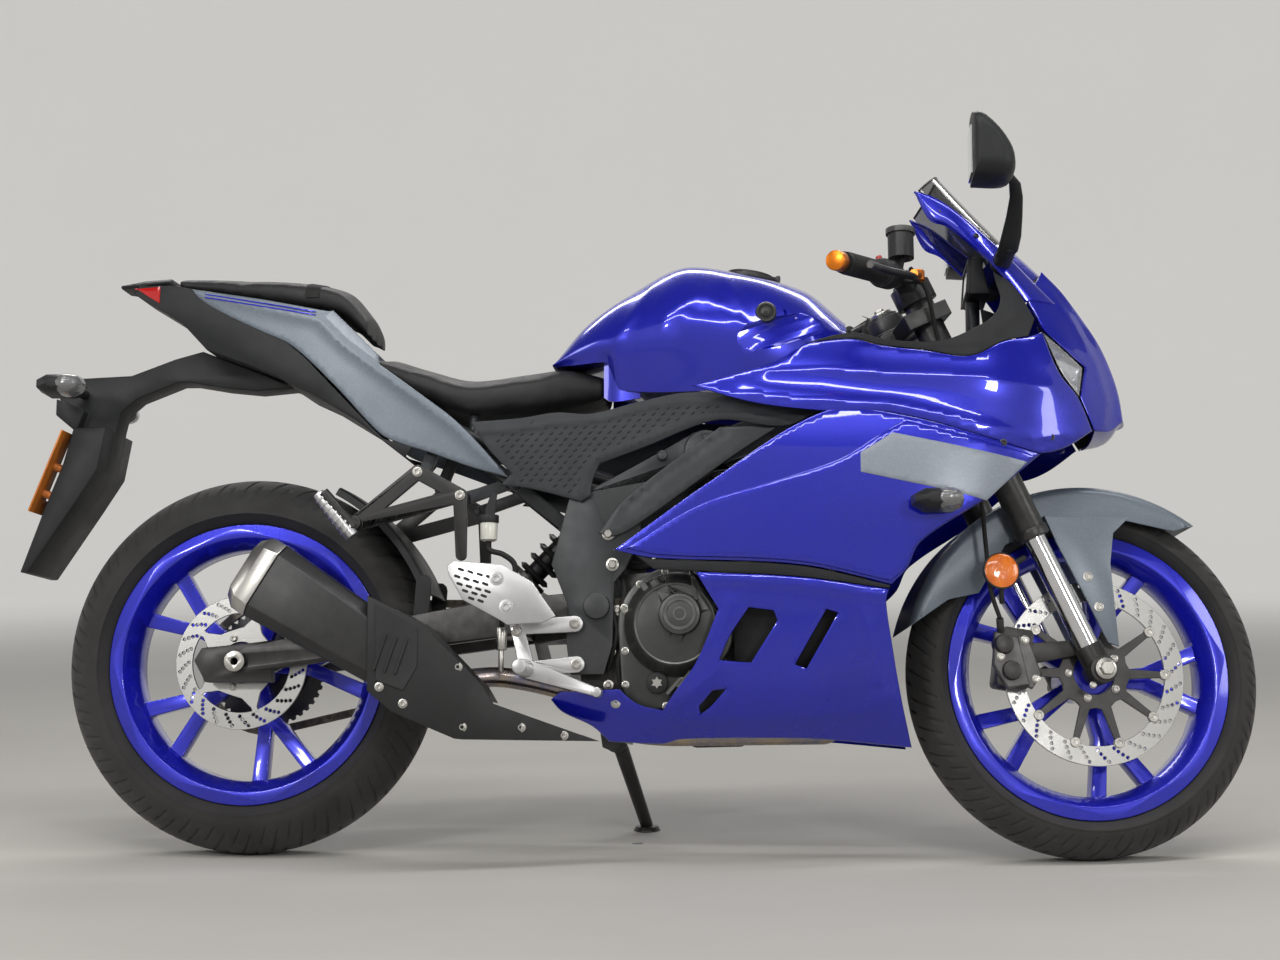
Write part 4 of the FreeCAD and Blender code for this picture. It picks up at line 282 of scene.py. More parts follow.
@dataclass(frozen=True)
class Finish:
    """One finish of the bike, as the values of its shader."""

    name: str
    colour: Colour
    shade: Colour
    drift: float = 9.0
    metallic: float = 0.0
    roughness: float = 0.5
    spread: float = 0.06
    coat: float = 0.0
    coat_rough: float = 0.05
    grain: float = 0.0
    bump: float = 0.15
    depth: float = 0.0004
    flake: float = 0.0
    wear: float = 0.0
    bare: Colour = (0.5, 0.5, 0.5)
    dust: float = 0.0
    streak: Point | None = None
    specular: float = 0.5
    transmission: float = 0.0
    alpha: float = 1.0
    glow: Colour | None = None
    glow_strength: float = 0.25
    sheen: float = 0.0

    def material(self) -> bpy.types.Material:
        """Build the finish's material.

        Returns:
            The material.
        """
        made = bpy.data.materials.new(self.name)
        made.use_nodes = True
        graph = Graph(made.node_tree)
        shader = made.node_tree.nodes["Principled BSDF"]
        place = graph.node("ShaderNodeTexCoord").outputs["Object"]

        def effect(tree: bpy.types.NodeTree, output: str, **values: object) -> bpy.types.NodeSocket:
            """Set a shared group in the material with its own values, and give one of its outputs."""
            return graph.node("ShaderNodeGroup", {"Vector": place, **values}, node_tree=tree).outputs[output]

        colour = effect(EFFECTS.drift, "Colour", Scale=self.drift, Colour=(*self.colour, 1),
                        Shade=(*self.shade, 1))
        drifted = colour.node.outputs["Mask"]
        if self.flake:
            flakes = graph.spread(effect(EFFECTS.flake, "Mask", Scale=self.flake), 0.55, 1.0, 0.0, 0.55)
            bright = [min(1.0, part * 1.9 + 0.01) for part in self.colour]
            colour = graph.mix(flakes, colour, (*bright, 1))
        if self.wear:
            colour = graph.mix(effect(EFFECTS.wear, "Mask", Amount=self.wear), colour, (*self.bare, 1))
        if self.dust:
            colour = graph.mix(effect(EFFECTS.dust, "Mask", Amount=self.dust), colour, (*DUST, 1))
        graph.feed(shader, {
            "Base Color": colour, "Metallic": self.metallic, "Coat Weight": self.coat,
            "Roughness": graph.spread(drifted, 0, 1, self.roughness - self.spread, self.roughness + self.spread),
            "Coat Roughness": self.coat_rough, "Specular IOR Level": self.specular, "Alpha": self.alpha,
            "Transmission Weight": self.transmission, "Sheen Weight": self.sheen})
        height = None
        if self.streak:
            height = effect(EFFECTS.brushed, "Height", Stretch=self.streak)
        elif self.grain:
            height = effect(EFFECTS.grain, "Height", Scale=self.grain)
        if height is not None:
            bump = graph.node("ShaderNodeBump", {"Strength": self.bump, "Distance": self.depth, "Height": height})
            graph.feed(shader, {"Normal": bump.outputs["Normal"]})
        if self.glow:
            graph.feed(shader, {"Emission Color": (*self.glow, 1), "Emission Strength": self.glow_strength})
        return made


class Look(Enum):
    """Every finish on the bike."""


    BODY_BLUE = Finish("gloss_blue", (0.002, 0.006, 0.40), (0.001, 0.004, 0.31), 5, 0.45, 0.26, 0.03,
                       coat=1.0, coat_rough=0.03, flake=2600, grain=900, bump=0.05, depth=0.0001)
    WHEEL_BLUE = Finish("wheel_blue", (0.004, 0.008, 0.50), (0.003, 0.006, 0.38), 12, 0.45, 0.3, 0.05,
                        coat=0.9, coat_rough=0.08, flake=2200, grain=700, bump=0.08, depth=0.0002, dust=0.12)
    SLATE = Finish("satin_slate", (0.132, 0.158, 0.192), (0.112, 0.136, 0.168), 8, 0.25, 0.4, 0.04, coat=0.25,
                   coat_rough=0.3, flake=2400, grain=800, bump=0.06, depth=0.0002)
    # The fairing's grey stripe, and a painted highlight on the tail panel's upturned strip.
    PALE_SLATE = Finish("pale_slate", (0.20, 0.225, 0.262), (0.175, 0.198, 0.235), 8, 0.25, 0.38, 0.04,
                        coat=0.3, coat_rough=0.3, flake=2400, grain=800, bump=0.06, depth=0.0002)
    BLACK_PLASTIC = Finish("black_plastic", (0.016, 0.017, 0.019), (0.011, 0.012, 0.013), 10, 0.0, 0.48, 0.08,
                           grain=1500, bump=0.22, depth=0.0003, wear=0.25, bare=(0.07, 0.07, 0.075), dust=0.1,
                           specular=0.26)
    GREY_PLASTIC = Finish("grey_plastic", (0.034, 0.037, 0.042), (0.026, 0.028, 0.032), 9, 0.0, 0.5, 0.07,
                          grain=1300, bump=0.25, depth=0.0003, wear=0.3, bare=(0.11, 0.11, 0.12), dust=0.05,
                          specular=0.26)
    DASH_PLASTIC = Finish("cockpit_plastic", (0.022, 0.023, 0.026), (0.016, 0.017, 0.019), 9, 0.0, 0.62, 0.06,
                          grain=1100, bump=0.3, depth=0.0004, specular=0.26)
    FRAME_GREY = Finish("frame_grey", (0.045, 0.048, 0.052), (0.034, 0.036, 0.04), 14, 0.35, 0.42, 0.07,
                        grain=600, bump=0.22, depth=0.0004, wear=0.5, bare=(0.22, 0.22, 0.22), dust=0.15,
                        specular=0.26)
    ENGINE_DARK = Finish("engine_dark", (0.036, 0.038, 0.037), (0.026, 0.028, 0.027), 20, 0.45, 0.5, 0.08,
                         grain=420, bump=0.35, depth=0.0006, wear=0.6, bare=(0.28, 0.28, 0.27), dust=0.3)
    COVER_DARK = Finish("cover_dark", (0.052, 0.056, 0.054), (0.04, 0.043, 0.042), 16, 0.5, 0.36, 0.06,
                        grain=520, bump=0.2, depth=0.0004, wear=0.6, bare=(0.3, 0.3, 0.29), dust=0.2)
    BLACK_METAL = Finish("black_metal", (0.018, 0.018, 0.019), (0.012, 0.012, 0.013), 16, 0.4, 0.38, 0.06,
                         grain=500, bump=0.12, depth=0.0003, wear=0.5, bare=(0.25, 0.25, 0.25), dust=0.2)
    MUFFLER = Finish("muffler_black", (0.030, 0.031, 0.033), (0.022, 0.022, 0.024), 12, 0.55, 0.4, 0.05,
                     grain=700, bump=0.1, depth=0.0003, wear=0.3, bare=(0.2, 0.2, 0.2), dust=0.15)
    DISC_STEEL = Finish("disc_steel", (0.52, 0.52, 0.51), (0.40, 0.40, 0.39), 18, 1.0, 0.3, 0.06, streak=(30,
                        2600, 30), bump=0.12, depth=0.0003, dust=0.1)
    BRUSHED_STEEL = Finish("brushed_steel", (0.56, 0.55, 0.53), (0.44, 0.43, 0.41), 22, 1.0, 0.33, 0.07,
                           streak=(60, 1800, 60), bump=0.2, depth=0.0003, dust=0.1)
    SILVER = Finish("cast_silver", (0.60, 0.60, 0.61), (0.48, 0.48, 0.49), 18, 0.85, 0.34, 0.07, grain=900,
                    bump=0.1, depth=0.0002, wear=0.2, bare=(0.75, 0.75, 0.75), dust=0.15)
    ZINC = Finish("zinc_bolt", (0.50, 0.49, 0.46), (0.36, 0.35, 0.33), 60, 1.0, 0.34, 0.1, grain=900,
                  bump=0.15, depth=0.0002)
    CHROME = Finish("hard_chrome", (0.72, 0.72, 0.73), (0.62, 0.62, 0.63), 12, 1.0, 0.1, 0.03, streak=(60, 60,
                    900), bump=0.03, depth=0.0002)
    HEADER = Finish("heated_pipe", (0.46, 0.37, 0.24), (0.20, 0.20, 0.30), 24, 1.0, 0.28, 0.08, grain=500,
                    bump=0.1, depth=0.0003, dust=0.3)
    CHAIN = Finish("chain_steel", (0.16, 0.145, 0.12), (0.09, 0.08, 0.065), 60, 0.9, 0.42, 0.1, grain=700,
                   bump=0.2, depth=0.0003)
    ANODISED = Finish("orange_anodised", (0.78, 0.22, 0.012), (0.62, 0.15, 0.006), 20, 0.85, 0.3, 0.05,
                      grain=900, bump=0.08, depth=0.0002, wear=0.3, bare=(0.8, 0.5, 0.2))
    ORANGE = Finish("orange_bracket", (0.62, 0.20, 0.03), (0.48, 0.14, 0.02), 20, 0.2, 0.42, 0.06, grain=700,
                    bump=0.1, depth=0.0002)
    RED_SWITCH = Finish("red_switch", (0.42, 0.02, 0.012), (0.34, 0.012, 0.01), 20, 0.0, 0.4, 0.05, grain=900,
                        bump=0.1, depth=0.0002)
    TYRE = Finish("tyre_rubber", (0.020, 0.020, 0.021), (0.014, 0.014, 0.015), 16, 0.0, 0.66, 0.08, grain=800,
                  bump=0.25, depth=0.0004, dust=0.25, sheen=0.1, specular=0.26)
    RUBBER = Finish("grip_rubber", (0.018, 0.018, 0.018), (0.012, 0.012, 0.012), 20, 0.0, 0.7, 0.06,
                    grain=1200, bump=0.3, depth=0.0004, specular=0.26)
    LEATHER = Finish("seat_leather", (0.022, 0.022, 0.024), (0.016, 0.016, 0.017), 12, 0.0, 0.5, 0.07,
                     grain=620, bump=0.45, depth=0.0006, wear=0.15, bare=(0.06, 0.06, 0.06), specular=0.26)
    CLEAR_LENS = Finish("clear_lens", (0.93, 0.94, 0.96), (0.86, 0.88, 0.9), 20, 0.0, 0.05, 0.02, grain=200,
                        bump=0.06, depth=0.0004, transmission=0.85, coat=0.6)
    REFLECTOR = Finish("lamp_reflector", (0.80, 0.81, 0.83), (0.66, 0.67, 0.69), 60, 1.0, 0.14, 0.04,
                       grain=160, bump=0.1, depth=0.0008)
    RED_LENS = Finish("red_lens", (0.42, 0.008, 0.008), (0.30, 0.004, 0.004), 30, 0.0, 0.1, 0.03, grain=300,
                      bump=0.2, depth=0.0005, coat=0.8, glow=(0.3, 0.0, 0.0))
    # Only the side reflectors take this finish. They are no lamps, so its glow is painted light: a painted reflection
    # of the lamps in them.
    AMBER_LENS = Finish("amber_lens_painted_glow", (0.80, 0.20, 0.008), (0.62, 0.12, 0.004), 60, 0.0, 0.12, 0.03,
                        grain=420, bump=0.5, depth=0.0008, coat=0.8, glow=(0.35, 0.06, 0.0))
    SCREEN = Finish("smoke_screen", (0.012, 0.013, 0.016), (0.009, 0.010, 0.012), 6, 0.0, 0.04, 0.01,
                    grain=30, bump=0.01, depth=0.0002, coat=1.0, coat_rough=0.02, alpha=0.5)
    MIRROR = Finish("mirror_glass", (0.75, 0.77, 0.78), (0.70, 0.72, 0.73), 6, 1.0, 0.03, 0.01, grain=30,
                    bump=0.01, depth=0.0001)
    POT = Finish("fluid_pot", (0.66, 0.66, 0.60), (0.58, 0.58, 0.52), 40, 0.0, 0.32, 0.05, grain=300,
                 bump=0.08, depth=0.0003, coat=0.3)
    CORE = Finish("radiator_core", (0.024, 0.024, 0.025), (0.016, 0.016, 0.017), 40, 0.6, 0.5, 0.08,
                  grain=500, bump=0.2, depth=0.0004, dust=0.3)
    DARK_GLASS = Finish("dial_glass", (0.008, 0.009, 0.011), (0.005, 0.006, 0.007), 20, 0.0, 0.06, 0.02,
                        grain=60, bump=0.01, depth=0.0001, coat=1.0)


# Surfaces and outlines.


def monotone(knots: Sequence[float], values: np.ndarray, at: np.ndarray) -> np.ndarray:
    """Interpolate smoothly without overshoot.

    Args:
        knots: Where the values stand.
        values: One row of values for all places, or one row for each place.
        at: The places.

    Returns:
        One value for each place.
    """
    knots = np.asarray(knots, float)
    step = np.diff(knots)
    slope = np.diff(values, axis=1) / step
    left, right = slope[:, :-1], slope[:, 1:]
    heavy, light = 2 * step[1:] + step[:-1], step[1:] + 2 * step[:-1]
    same = left * right > 0
    safe_left, safe_right = np.where(same, left, 1), np.where(same, right, 1)
    inner = np.where(same, (heavy + light) / (heavy / safe_left + light / safe_right), 0)
    tangent = np.concatenate([slope[:, :1], inner, slope[:, -1:]], axis=1)
    at = np.clip(at, knots[0], knots[-1])
    cell = np.clip(np.searchsorted(knots, at) - 1, 0, len(knots) - 2)
    row = np.arange(len(at)) if len(values) > 1 else np.zeros(len(at), int)
    width = step[cell]
    t = (at - knots[cell]) / width
    first, second = values[row, cell], values[row, cell + 1]
    return ((1 + 2 * t) * (1 - t) ** 2 * first + t * (1 - t) ** 2 * width * tangent[row, cell]
            + t * t * (3 - 2 * t) * second + t * t * (t - 1) * width * tangent[row, cell + 1])


class Skin:
    """The outer surface of a half body, as softened half-widths on a grid of places."""

    PITCH = 5.0

    def __init__(self, levels: Sequence[float], stations: Sequence[tuple], blur: float = 18.0) -> None:
        """Build the grid.

        Args:
            levels: The heights of the table's columns.
            stations: Each row's x and its half-widths.
            blur: How far the table's corners are softened.
        """
        self.x_low, self.z_low = stations[0][0] - 30.0, levels[0] - 30.0
        xs = np.arange(self.x_low, stations[-1][0] + 30, self.PITCH)
        zs = np.arange(self.z_low, levels[-1] + 30, self.PITCH)
        table = np.array([widths for _, widths in stations], float)
        places = [x for x, _ in stations]
        along = np.stack([monotone(places, table[:, [column]].T, xs)
                          for column in range(len(levels))], axis=1)
        self.grid = np.stack([monotone(levels, along[[index]], zs) for index in range(len(xs))])
        reach = int(2.5 * blur / self.PITCH)
        weights = np.exp(-0.5 * (np.arange(-reach, reach + 1) * self.PITCH / blur) ** 2)
        weights /= weights.sum()
        for axis in (0, 1):
            pad = [(reach, reach) if axis == side else (0, 0) for side in (0, 1)]
            padded = np.pad(self.grid, pad, mode="reflect", reflect_type="odd")
            self.grid = np.apply_along_axis(np.convolve, axis, padded, weights, mode="valid")

    def width(self, x: np.ndarray, z: np.ndarray) -> np.ndarray:
        """The half-width at each place."""
        column = np.clip((np.asarray(x) - self.x_low) / self.PITCH, 0, self.grid.shape[0] - 1.001)
        row = np.clip((np.asarray(z) - self.z_low) / self.PITCH, 0, self.grid.shape[1] - 1.001)
        i, j = column.astype(int), row.astype(int)
        a, b = column - i, row - j
        return ((1 - a) * (1 - b) * self.grid[i, j] + a * (1 - b) * self.grid[i + 1, j]
                + (1 - a) * b * self.grid[i, j + 1] + a * b * self.grid[i + 1, j + 1])


def eased(outline: Sequence[Flat], pitch: float, corner: float = 34.0, closed: bool = True) -> np.ndarray:
    """Sample an outline, rounding the corners that turn gently.

    Args:
        outline: Its (x, z) corners.
        pitch: About how far the samples stand apart.
        corner: From how many degrees of turn a corner stays sharp.
        closed: Whether the outline closes on itself.

    Returns:
        The samples as rows of (x, z).
    """
    points = np.asarray(outline, float)
    count = len(points)
    ahead = np.roll(points, -1, axis=0) - points
    lengths = np.linalg.norm(ahead, axis=1)
    unit = ahead / lengths[:, None]
    samples = []
    for index in range(count if closed else count - 1):
        after = (index + 1) % count
        tangents = []
        for vertex in (index, after):
            before, following = unit[vertex - 1], unit[vertex]
            turn = math.degrees(math.acos(float(np.clip(before @ following, -1, 1))))
            loose = not closed and vertex in (0, count - 1)
            if turn > corner or loose:
                tangents.append(unit[index])
            else:
                mean = before * lengths[vertex - 1] + following * lengths[vertex]
                tangents.append(mean / np.linalg.norm(mean))
        reach = lengths[index]
        steps = max(1, int(round(reach / pitch)))
        for step in range(steps):
            t = step / steps
            samples.append((1 + 2 * t) * (1 - t) ** 2 * points[index] + t * (1 - t) ** 2 * reach * tangents[0]
                           + t * t * (3 - 2 * t) * points[after] + t * t * (t - 1) * reach * tangents[1])
    if not closed:
        samples.append(points[-1])
    return np.array(samples)


def curved(before: Vector, start: Vector, end: Vector, after: Vector, t: float) -> Vector:
    """The place at a share of the way between two points, curved by their neighbours."""
    return 0.5 * (2 * start + (end - before) * t + (2 * before - 5 * start + 4 * end - after) * t * t
                  + (3 * start - before - 3 * end + after) * t ** 3)


def smooth_path(points: Sequence[Point], steps: int = 6) -> list[Vector]:
    """A run through points, curved between them."""
    spots = [Vector(point) for point in points]
    run = []
    for index in range(len(spots) - 1):
        knots = [spots[min(max(number, 0), len(spots) - 1)] for number in range(index - 1, index + 3)]
        run += [curved(*knots, step / steps) for step in range(steps)]
    run.append(spots[-1])
    return run


def inside(places: np.ndarray, loop: np.ndarray) -> np.ndarray:
    """Which places lie inside a closed loop."""
    x, z = places[:, 0][:, None], places[:, 1][:, None]
    x0, z0 = loop[:, 0][None], loop[:, 1][None]
    x1, z1 = np.roll(loop[:, 0], -1)[None], np.roll(loop[:, 1], -1)[None]
    cross = (z0 > z) != (z1 > z)
    with np.errstate(divide="ignore", invalid="ignore"):
        at = x0 + (z - z0) * (x1 - x0) / (z1 - z0)
    return (np.sum(cross & (x < at), axis=1) % 2).astype(bool)


def away_from(places: np.ndarray, line: np.ndarray, closed: bool = True) -> np.ndarray:
    """How far each place lies from a line."""
    start = line if closed else line[:-1]
    end = np.roll(line, -1, axis=0) if closed else line[1:]
    run = end - start
    best = np.full(len(places), 1e9)
    for first, along in zip(start, run):
        share = np.clip(((places - first) @ along) / max(along @ along, 1e-9), 0, 1)
        best = np.minimum(best, np.linalg.norm(places - first - share[:, None] * along, axis=1))
    return best


@dataclass(frozen=True)
class Crease:
    """A raised or sunk line in a panel's face."""

    line: Sequence[Flat]
    height: float
    reach: float

    def lift(self, places: np.ndarray) -> np.ndarray:
        """How much the crease lifts each place."""
        near = np.clip(1 - away_from(places, np.asarray(self.line, float), closed=False) / self.reach, 0, 1)
        return self.height * near * near


class Mould:
    """A mesh being made in one body's frame, in millimetres."""

    def __init__(self, body: Body = Body.CHASSIS) -> None:
        """Start an empty mesh.

        Args:
            body: The body that the piece rides.
        """
        self.body = body
        self.mesh = bmesh.new()

    def rings(self, rows: Sequence[Sequence], caps: bool = True, round_again: bool = False) -> "Mould":
        """Join closed rows of points that have the same count.

        Args:
            rows: The rows.
            caps: Whether the first and last row are filled.
            round_again: Whether the last row joins the first.

        Returns:
            The same mesh.
        """
        loops = [[self.mesh.verts.new(Vector(point)) for point in row] for row in rows]
        count = len(loops[0])
        for first, second in zip(loops, loops[1:]):
            for index in range(count):
                after = (index + 1) % count
                self.mesh.faces.new((first[index], first[after], second[after], second[index]))
        if round_again:
            for index in range(count):
                after = (index + 1) % count
                self.mesh.faces.new((loops[-1][index], loops[-1][after], loops[0][after], loops[0][index]))
        elif caps:
            self.mesh.faces.new(reversed(loops[0]))
            self.mesh.faces.new(loops[-1])
        return self

    def rod(self, start: Point, end: Point, radius: float, end_radius: float | None = None, sides: int = 28,
            round_off: float = 0.0) -> "Mould":
        """A round bar, with its ends rounded off where wanted.

        Args:
            start: The middle of its first end.
            end: The middle of its last end.
            radius: Its radius at the start.
            end_radius: Its radius at the end, where it is another one.
            sides: How many sides it has.
            round_off: How far its ends are rounded off.

        Returns:
            The same mesh.
        """
        start, end = Vector(start), Vector(end)
        last = radius if end_radius is None else end_radius
        if round_off:
            along = (end - start).normalized()
            share = 1 - 0.7071
            profile = [(start, radius - round_off),
                       (start + along * round_off * share, radius - round_off * share),
                       (start + along * round_off, radius), (end - along * round_off, last),
                       (end - along * round_off * share, last - round_off * share), (end, last - round_off)]
        else:
            profile = [(start, radius), (end, last)]
        return self.spun(profile, end - start, sides)

    def spun(self, profile: Sequence[tuple], along: Vector, sides: int = 28, caps: bool = True) -> "Mould":
        """Rings about a line.

        Args:
            profile: Each ring's middle and radius.
            along: The line's way.
            sides: How many sides the rings have.
            caps: Whether the ends are filled.

        Returns:
            The same mesh.
        """
        along = Vector(along).normalized()
        side = along.orthogonal().normalized()
        over = along.cross(side)
        return self.rings([[Vector(middle) + (side * math.cos(turn) + over * math.sin(turn)) * radius
                            for turn in turns(sides)] for middle, radius in profile], caps)

    def turned(self, profile: Sequence[Flat], sides: int = 96, centre: Point = (0, 0, 0)) -> "Mould":
        """A closed outline of (radius, y) points turned about the y axis."""
        return self.rings([[(centre[0] + radius * math.cos(turn), centre[1] + y,
                             centre[2] + radius * math.sin(turn)) for radius, y in profile]
                           for turn in turns(sides)], round_again=True)

    def tube(self, path: Sequence[Point], radius: float | Sequence[float], sides: int = 14) -> "Mould":
        """A round tube along a path, its rings carried along without twist.

        Args:
            path: The tube's middle line.
            radius: Its radius, or one for each point.
            sides: How many sides it has.

        Returns:
            The same mesh.
        """
        spots = [Vector(point) for point in path]
        radii = [radius] * len(spots) if isinstance(radius, (int, float)) else list(radius)
        side = (spots[1] - spots[0]).normalized().orthogonal().normalized()
        rows = []
        for index, spot in enumerate(spots):
            before, after = spots[max(index - 1, 0)], spots[min(index + 1, len(spots) - 1)]
            along = (after - before).normalized()
            side = (side - along * side.dot(along)).normalized()
            over = along.cross(side)
            rows.append([spot + (side * math.cos(turn) + over * math.sin(turn)) * radii[index]
                         for turn in turns(sides)])
        return self.rings(rows)

    def plate(self, outline: Sequence[Flat], y_from: float, y_to: float, holes: Sequence[Sequence[Flat]] = (),
              edge: float = 0.0) -> "Mould":
        """A side outline of (x, z) points with holes, as thick as two lateral planes are apart.

        Args:
            outline: Its outline.
            y_from: The plane of its first face.
            y_to: The plane of its last face.
            holes: The holes' outlines.
            edge: How wide its edges are broken.

        Returns:
            The same mesh.
        """
        loops = [np.asarray(loop, float) for loop in (outline, *holes)]
        places = [place for loop in loops for place in loop]
        edges, start = [], 0
        for loop in loops:
            edges += ring_edges(start, len(loop))
            start += len(loop)
        _, faces = triangulated(places, edges, loops)
        levels, flat = [(y_from, places), (y_to, places)], places
        if edge:
            drawn = [inset(loop, -edge if number else edge) for number, loop in enumerate(loops)]
            flat = [place for loop in drawn for place in loop]
            step = math.copysign(edge, y_to - y_from)
            levels = [(y_from, flat), (y_from + step, places), (y_to - step, places), (y_to, flat)]
        rows = [[self.mesh.verts.new((x, y, z)) for x, z in level] for y, level in levels]
        for row in (rows[0], rows[-1]):
            for face in faces:
                self.mesh.faces.new([row[index] for index in face])
        for lower, upper in zip(rows, rows[1:]):
            for a, b in edges:
                self.mesh.faces.new((lower[a], lower[b], upper[b], upper[a]))
        return self

    def mirrored(self) -> "Mould":
        """Add the other side's copy."""
        whole = list(self.mesh.verts) + list(self.mesh.edges) + list(self.mesh.faces)
        for item in bmesh.ops.duplicate(self.mesh, geom=whole)["geom"]:
            if isinstance(item, bmesh.types.BMVert):
                item.co.y = -item.co.y
        return self

    def moved(self, turn: Matrix) -> "Mould":
        """Place all that is there so far."""
        self.mesh.transform(turn)
        return self

    def joined(self, other: "Mould") -> "Mould":
        """Take in another mould's mesh."""
        data = other.data("joined")
        self.mesh.from_mesh(data)
        bpy.data.meshes.remove(data)
        return self

    def data(self, name: str) -> bpy.types.Mesh:
        """The mesh as Blender keeps it, under a name, with its faces turned outwards."""
        bmesh.ops.recalc_face_normals(self.mesh, faces=list(self.mesh.faces))
        data = bpy.data.meshes.new(name)
        self.mesh.to_mesh(data)
        return data

    def thing(self, name: str) -> bpy.types.Object:
        """The mesh as an object in the scene."""
        return linked(name, self.data(name))

    def done(self, name: str, look: Look, slot: str, replaces: Sequence[str] = (),
             smooth: float = 38.0) -> bpy.types.Object:
        """Set the piece in the row frame and hand it over.

        Args:
            name: The piece's name.
            look: Its finish.
            slot: The record's material slot; not used.
            replaces: The CAD nodes that it stands for.
            smooth: Up to how many degrees an edge is shaded round.

        Returns:
            The piece.
        """
        bmesh.ops.remove_doubles(self.mesh, verts=list(self.mesh.verts), dist=0.01)
        loose = [vert for vert in self.mesh.verts if not vert.link_faces]
        bmesh.ops.delete(self.mesh, geom=loose, context="VERTS")
        self.mesh.transform(FRAMES[self.body])
        piece = self.thing(name)
        self.mesh.free()
        return finished(piece, self.body, look, replaces, smooth)


def turns(count: int) -> list[float]:
    """Equal steps of angle round a whole turn."""
    return [2 * math.pi * step / count for step in range(count)]


def ring_edges(start: int, count: int) -> list[tuple[int, int]]:
    """The edges of a closed loop whose points are numbered on from a start."""
    return [(start + index, start + (index + 1) % count) for index in range(count)]


def between(places: np.ndarray, loops: Sequence[np.ndarray]) -> np.ndarray:
    """Which places lie inside the first loop and outside the others."""
    keep = inside(places, loops[0])
    for hole in loops[1:]:
        keep &= ~inside(places, hole)
    return keep


def triangulated(places: Sequence, edges: Sequence, loops: Sequence[np.ndarray]) -> tuple[np.ndarray, list]:
    """Triangles over places that keep the given edges and stay between the loops.

    Args:
        places: The (x, z) places.
        edges: Pairs of their numbers that stay joined.
        loops: The outline and the holes.

    Returns:
        The places as they end, and the triangles' corners by number.
    """
    verts, _, faces, _, _, _ = delaunay_2d_cdt([Vector(place) for place in places], list(edges), [], 0, 1e-5)
    flat = np.array([(vert[0], vert[1]) for vert in verts])
    corners = np.array([face for face in faces if len(face) == 3])
    keep = between(flat[corners].mean(axis=1), loops)
    return flat, [tuple(int(index) for index in face) for face in corners[keep]]


def inset(loop: np.ndarray, reach: float) -> np.ndarray:
    """A loop drawn in by a reach, or out by a negative one."""
    area = 0.5 * np.sum(loop[:, 0] * np.roll(loop[:, 1], -1) - np.roll(loop[:, 0], -1) * loop[:, 1])
    after = np.roll(loop, -1, axis=0) - loop
    after /= np.linalg.norm(after, axis=1)[:, None]
    normal = np.stack([-after[:, 1], after[:, 0]], axis=1) * np.sign(area)
    both = normal + np.roll(normal, 1, axis=0)
    size = np.linalg.norm(both, axis=1)
    both /= np.maximum(size, 0.3)[:, None]
    return loop + both * reach * np.minimum(2 / np.maximum(size, 1.2), 1.35)[:, None]


def linked(name: str, data: bpy.types.ID) -> bpy.types.Object:
    """A new object in the scene that shows some data."""
    thing = bpy.data.objects.new(name, data)
    bpy.context.scene.collection.objects.link(thing)
    return thing


def finished(piece: bpy.types.Object, body: Body, look: Look, replaces: Sequence[str] = (),
             smooth: float = 38.0) -> bpy.types.Object:
    """Give a piece its shading, finish and body.

    Args:
        piece: The piece.
        body: The body that it rides.
        look: Its finish.
        replaces: The CAD nodes that it stands for.
        smooth: Up to how many degrees an edge is shaded round.

    Returns:
        The piece.
    """
    piece.data.shade_smooth()
    piece.data.set_sharp_from_angle(angle=math.radians(smooth))
    piece.data.materials.clear()
    piece.data.materials.append(finish(look))
    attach(piece, body.value)
    if replaces:
        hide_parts(*replaces)
    LOG.info("%s: %d faces", piece.name, len(piece.data.polygons))
    return piece


def evaluated(piece: bpy.types.Object) -> bpy.types.Mesh:
    """A piece's mesh as its modifiers leave it."""
    graph = bpy.context.evaluated_depsgraph_get()
    graph.update()
    return bpy.data.meshes.new_from_object(piece.evaluated_get(graph))


def applied(piece: bpy.types.Object) -> None:
    """Write a piece's modifiers into its mesh."""
    made, old = evaluated(piece), piece.data
    piece.modifiers.clear()
    piece.data = made
    bpy.data.meshes.remove(old)


MATERIALS: dict[str, bpy.types.Material] = {}


def finish(look: Look) -> bpy.types.Material:
    """A finish's material, built the first time that it is asked for."""
    if look.name not in MATERIALS:
        MATERIALS[look.name] = look.value.material()
    return MATERIALS[look.name]


def dressed(node: str, look: Look, bevel: float, body: Body) -> None:
    """Make a CAD node's form with its edges broken.

    Args:
        node: The CAD node.
        look: Its finish.
        bevel: How wide its edges are broken, in millimetres.
        body: The body that it rides.
    """
    mesh = bmesh.new()
    mesh.from_mesh(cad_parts[node].data)
    bmesh.ops.remove_doubles(mesh, verts=list(mesh.verts), dist=0.00002)
    bmesh.ops.dissolve_limit(mesh, angle_limit=math.radians(0.8), verts=list(mesh.verts), edges=list(mesh.edges))
    data = bpy.data.meshes.new(node + "_form")
    mesh.to_mesh(data)
    mesh.free()
    piece = linked(node + "_form", data)
    edge = piece.modifiers.new("edge", "BEVEL")
    edge.width = bevel * 0.001
    edge.segments = 2
    edge.limit_method = "ANGLE"
    edge.angle_limit = math.radians(38)
    edge.use_clamp_overlap = False
    applied(piece)
    finished(piece, body, look, (node,), 34)


# Repeats, made with Geometry Nodes.


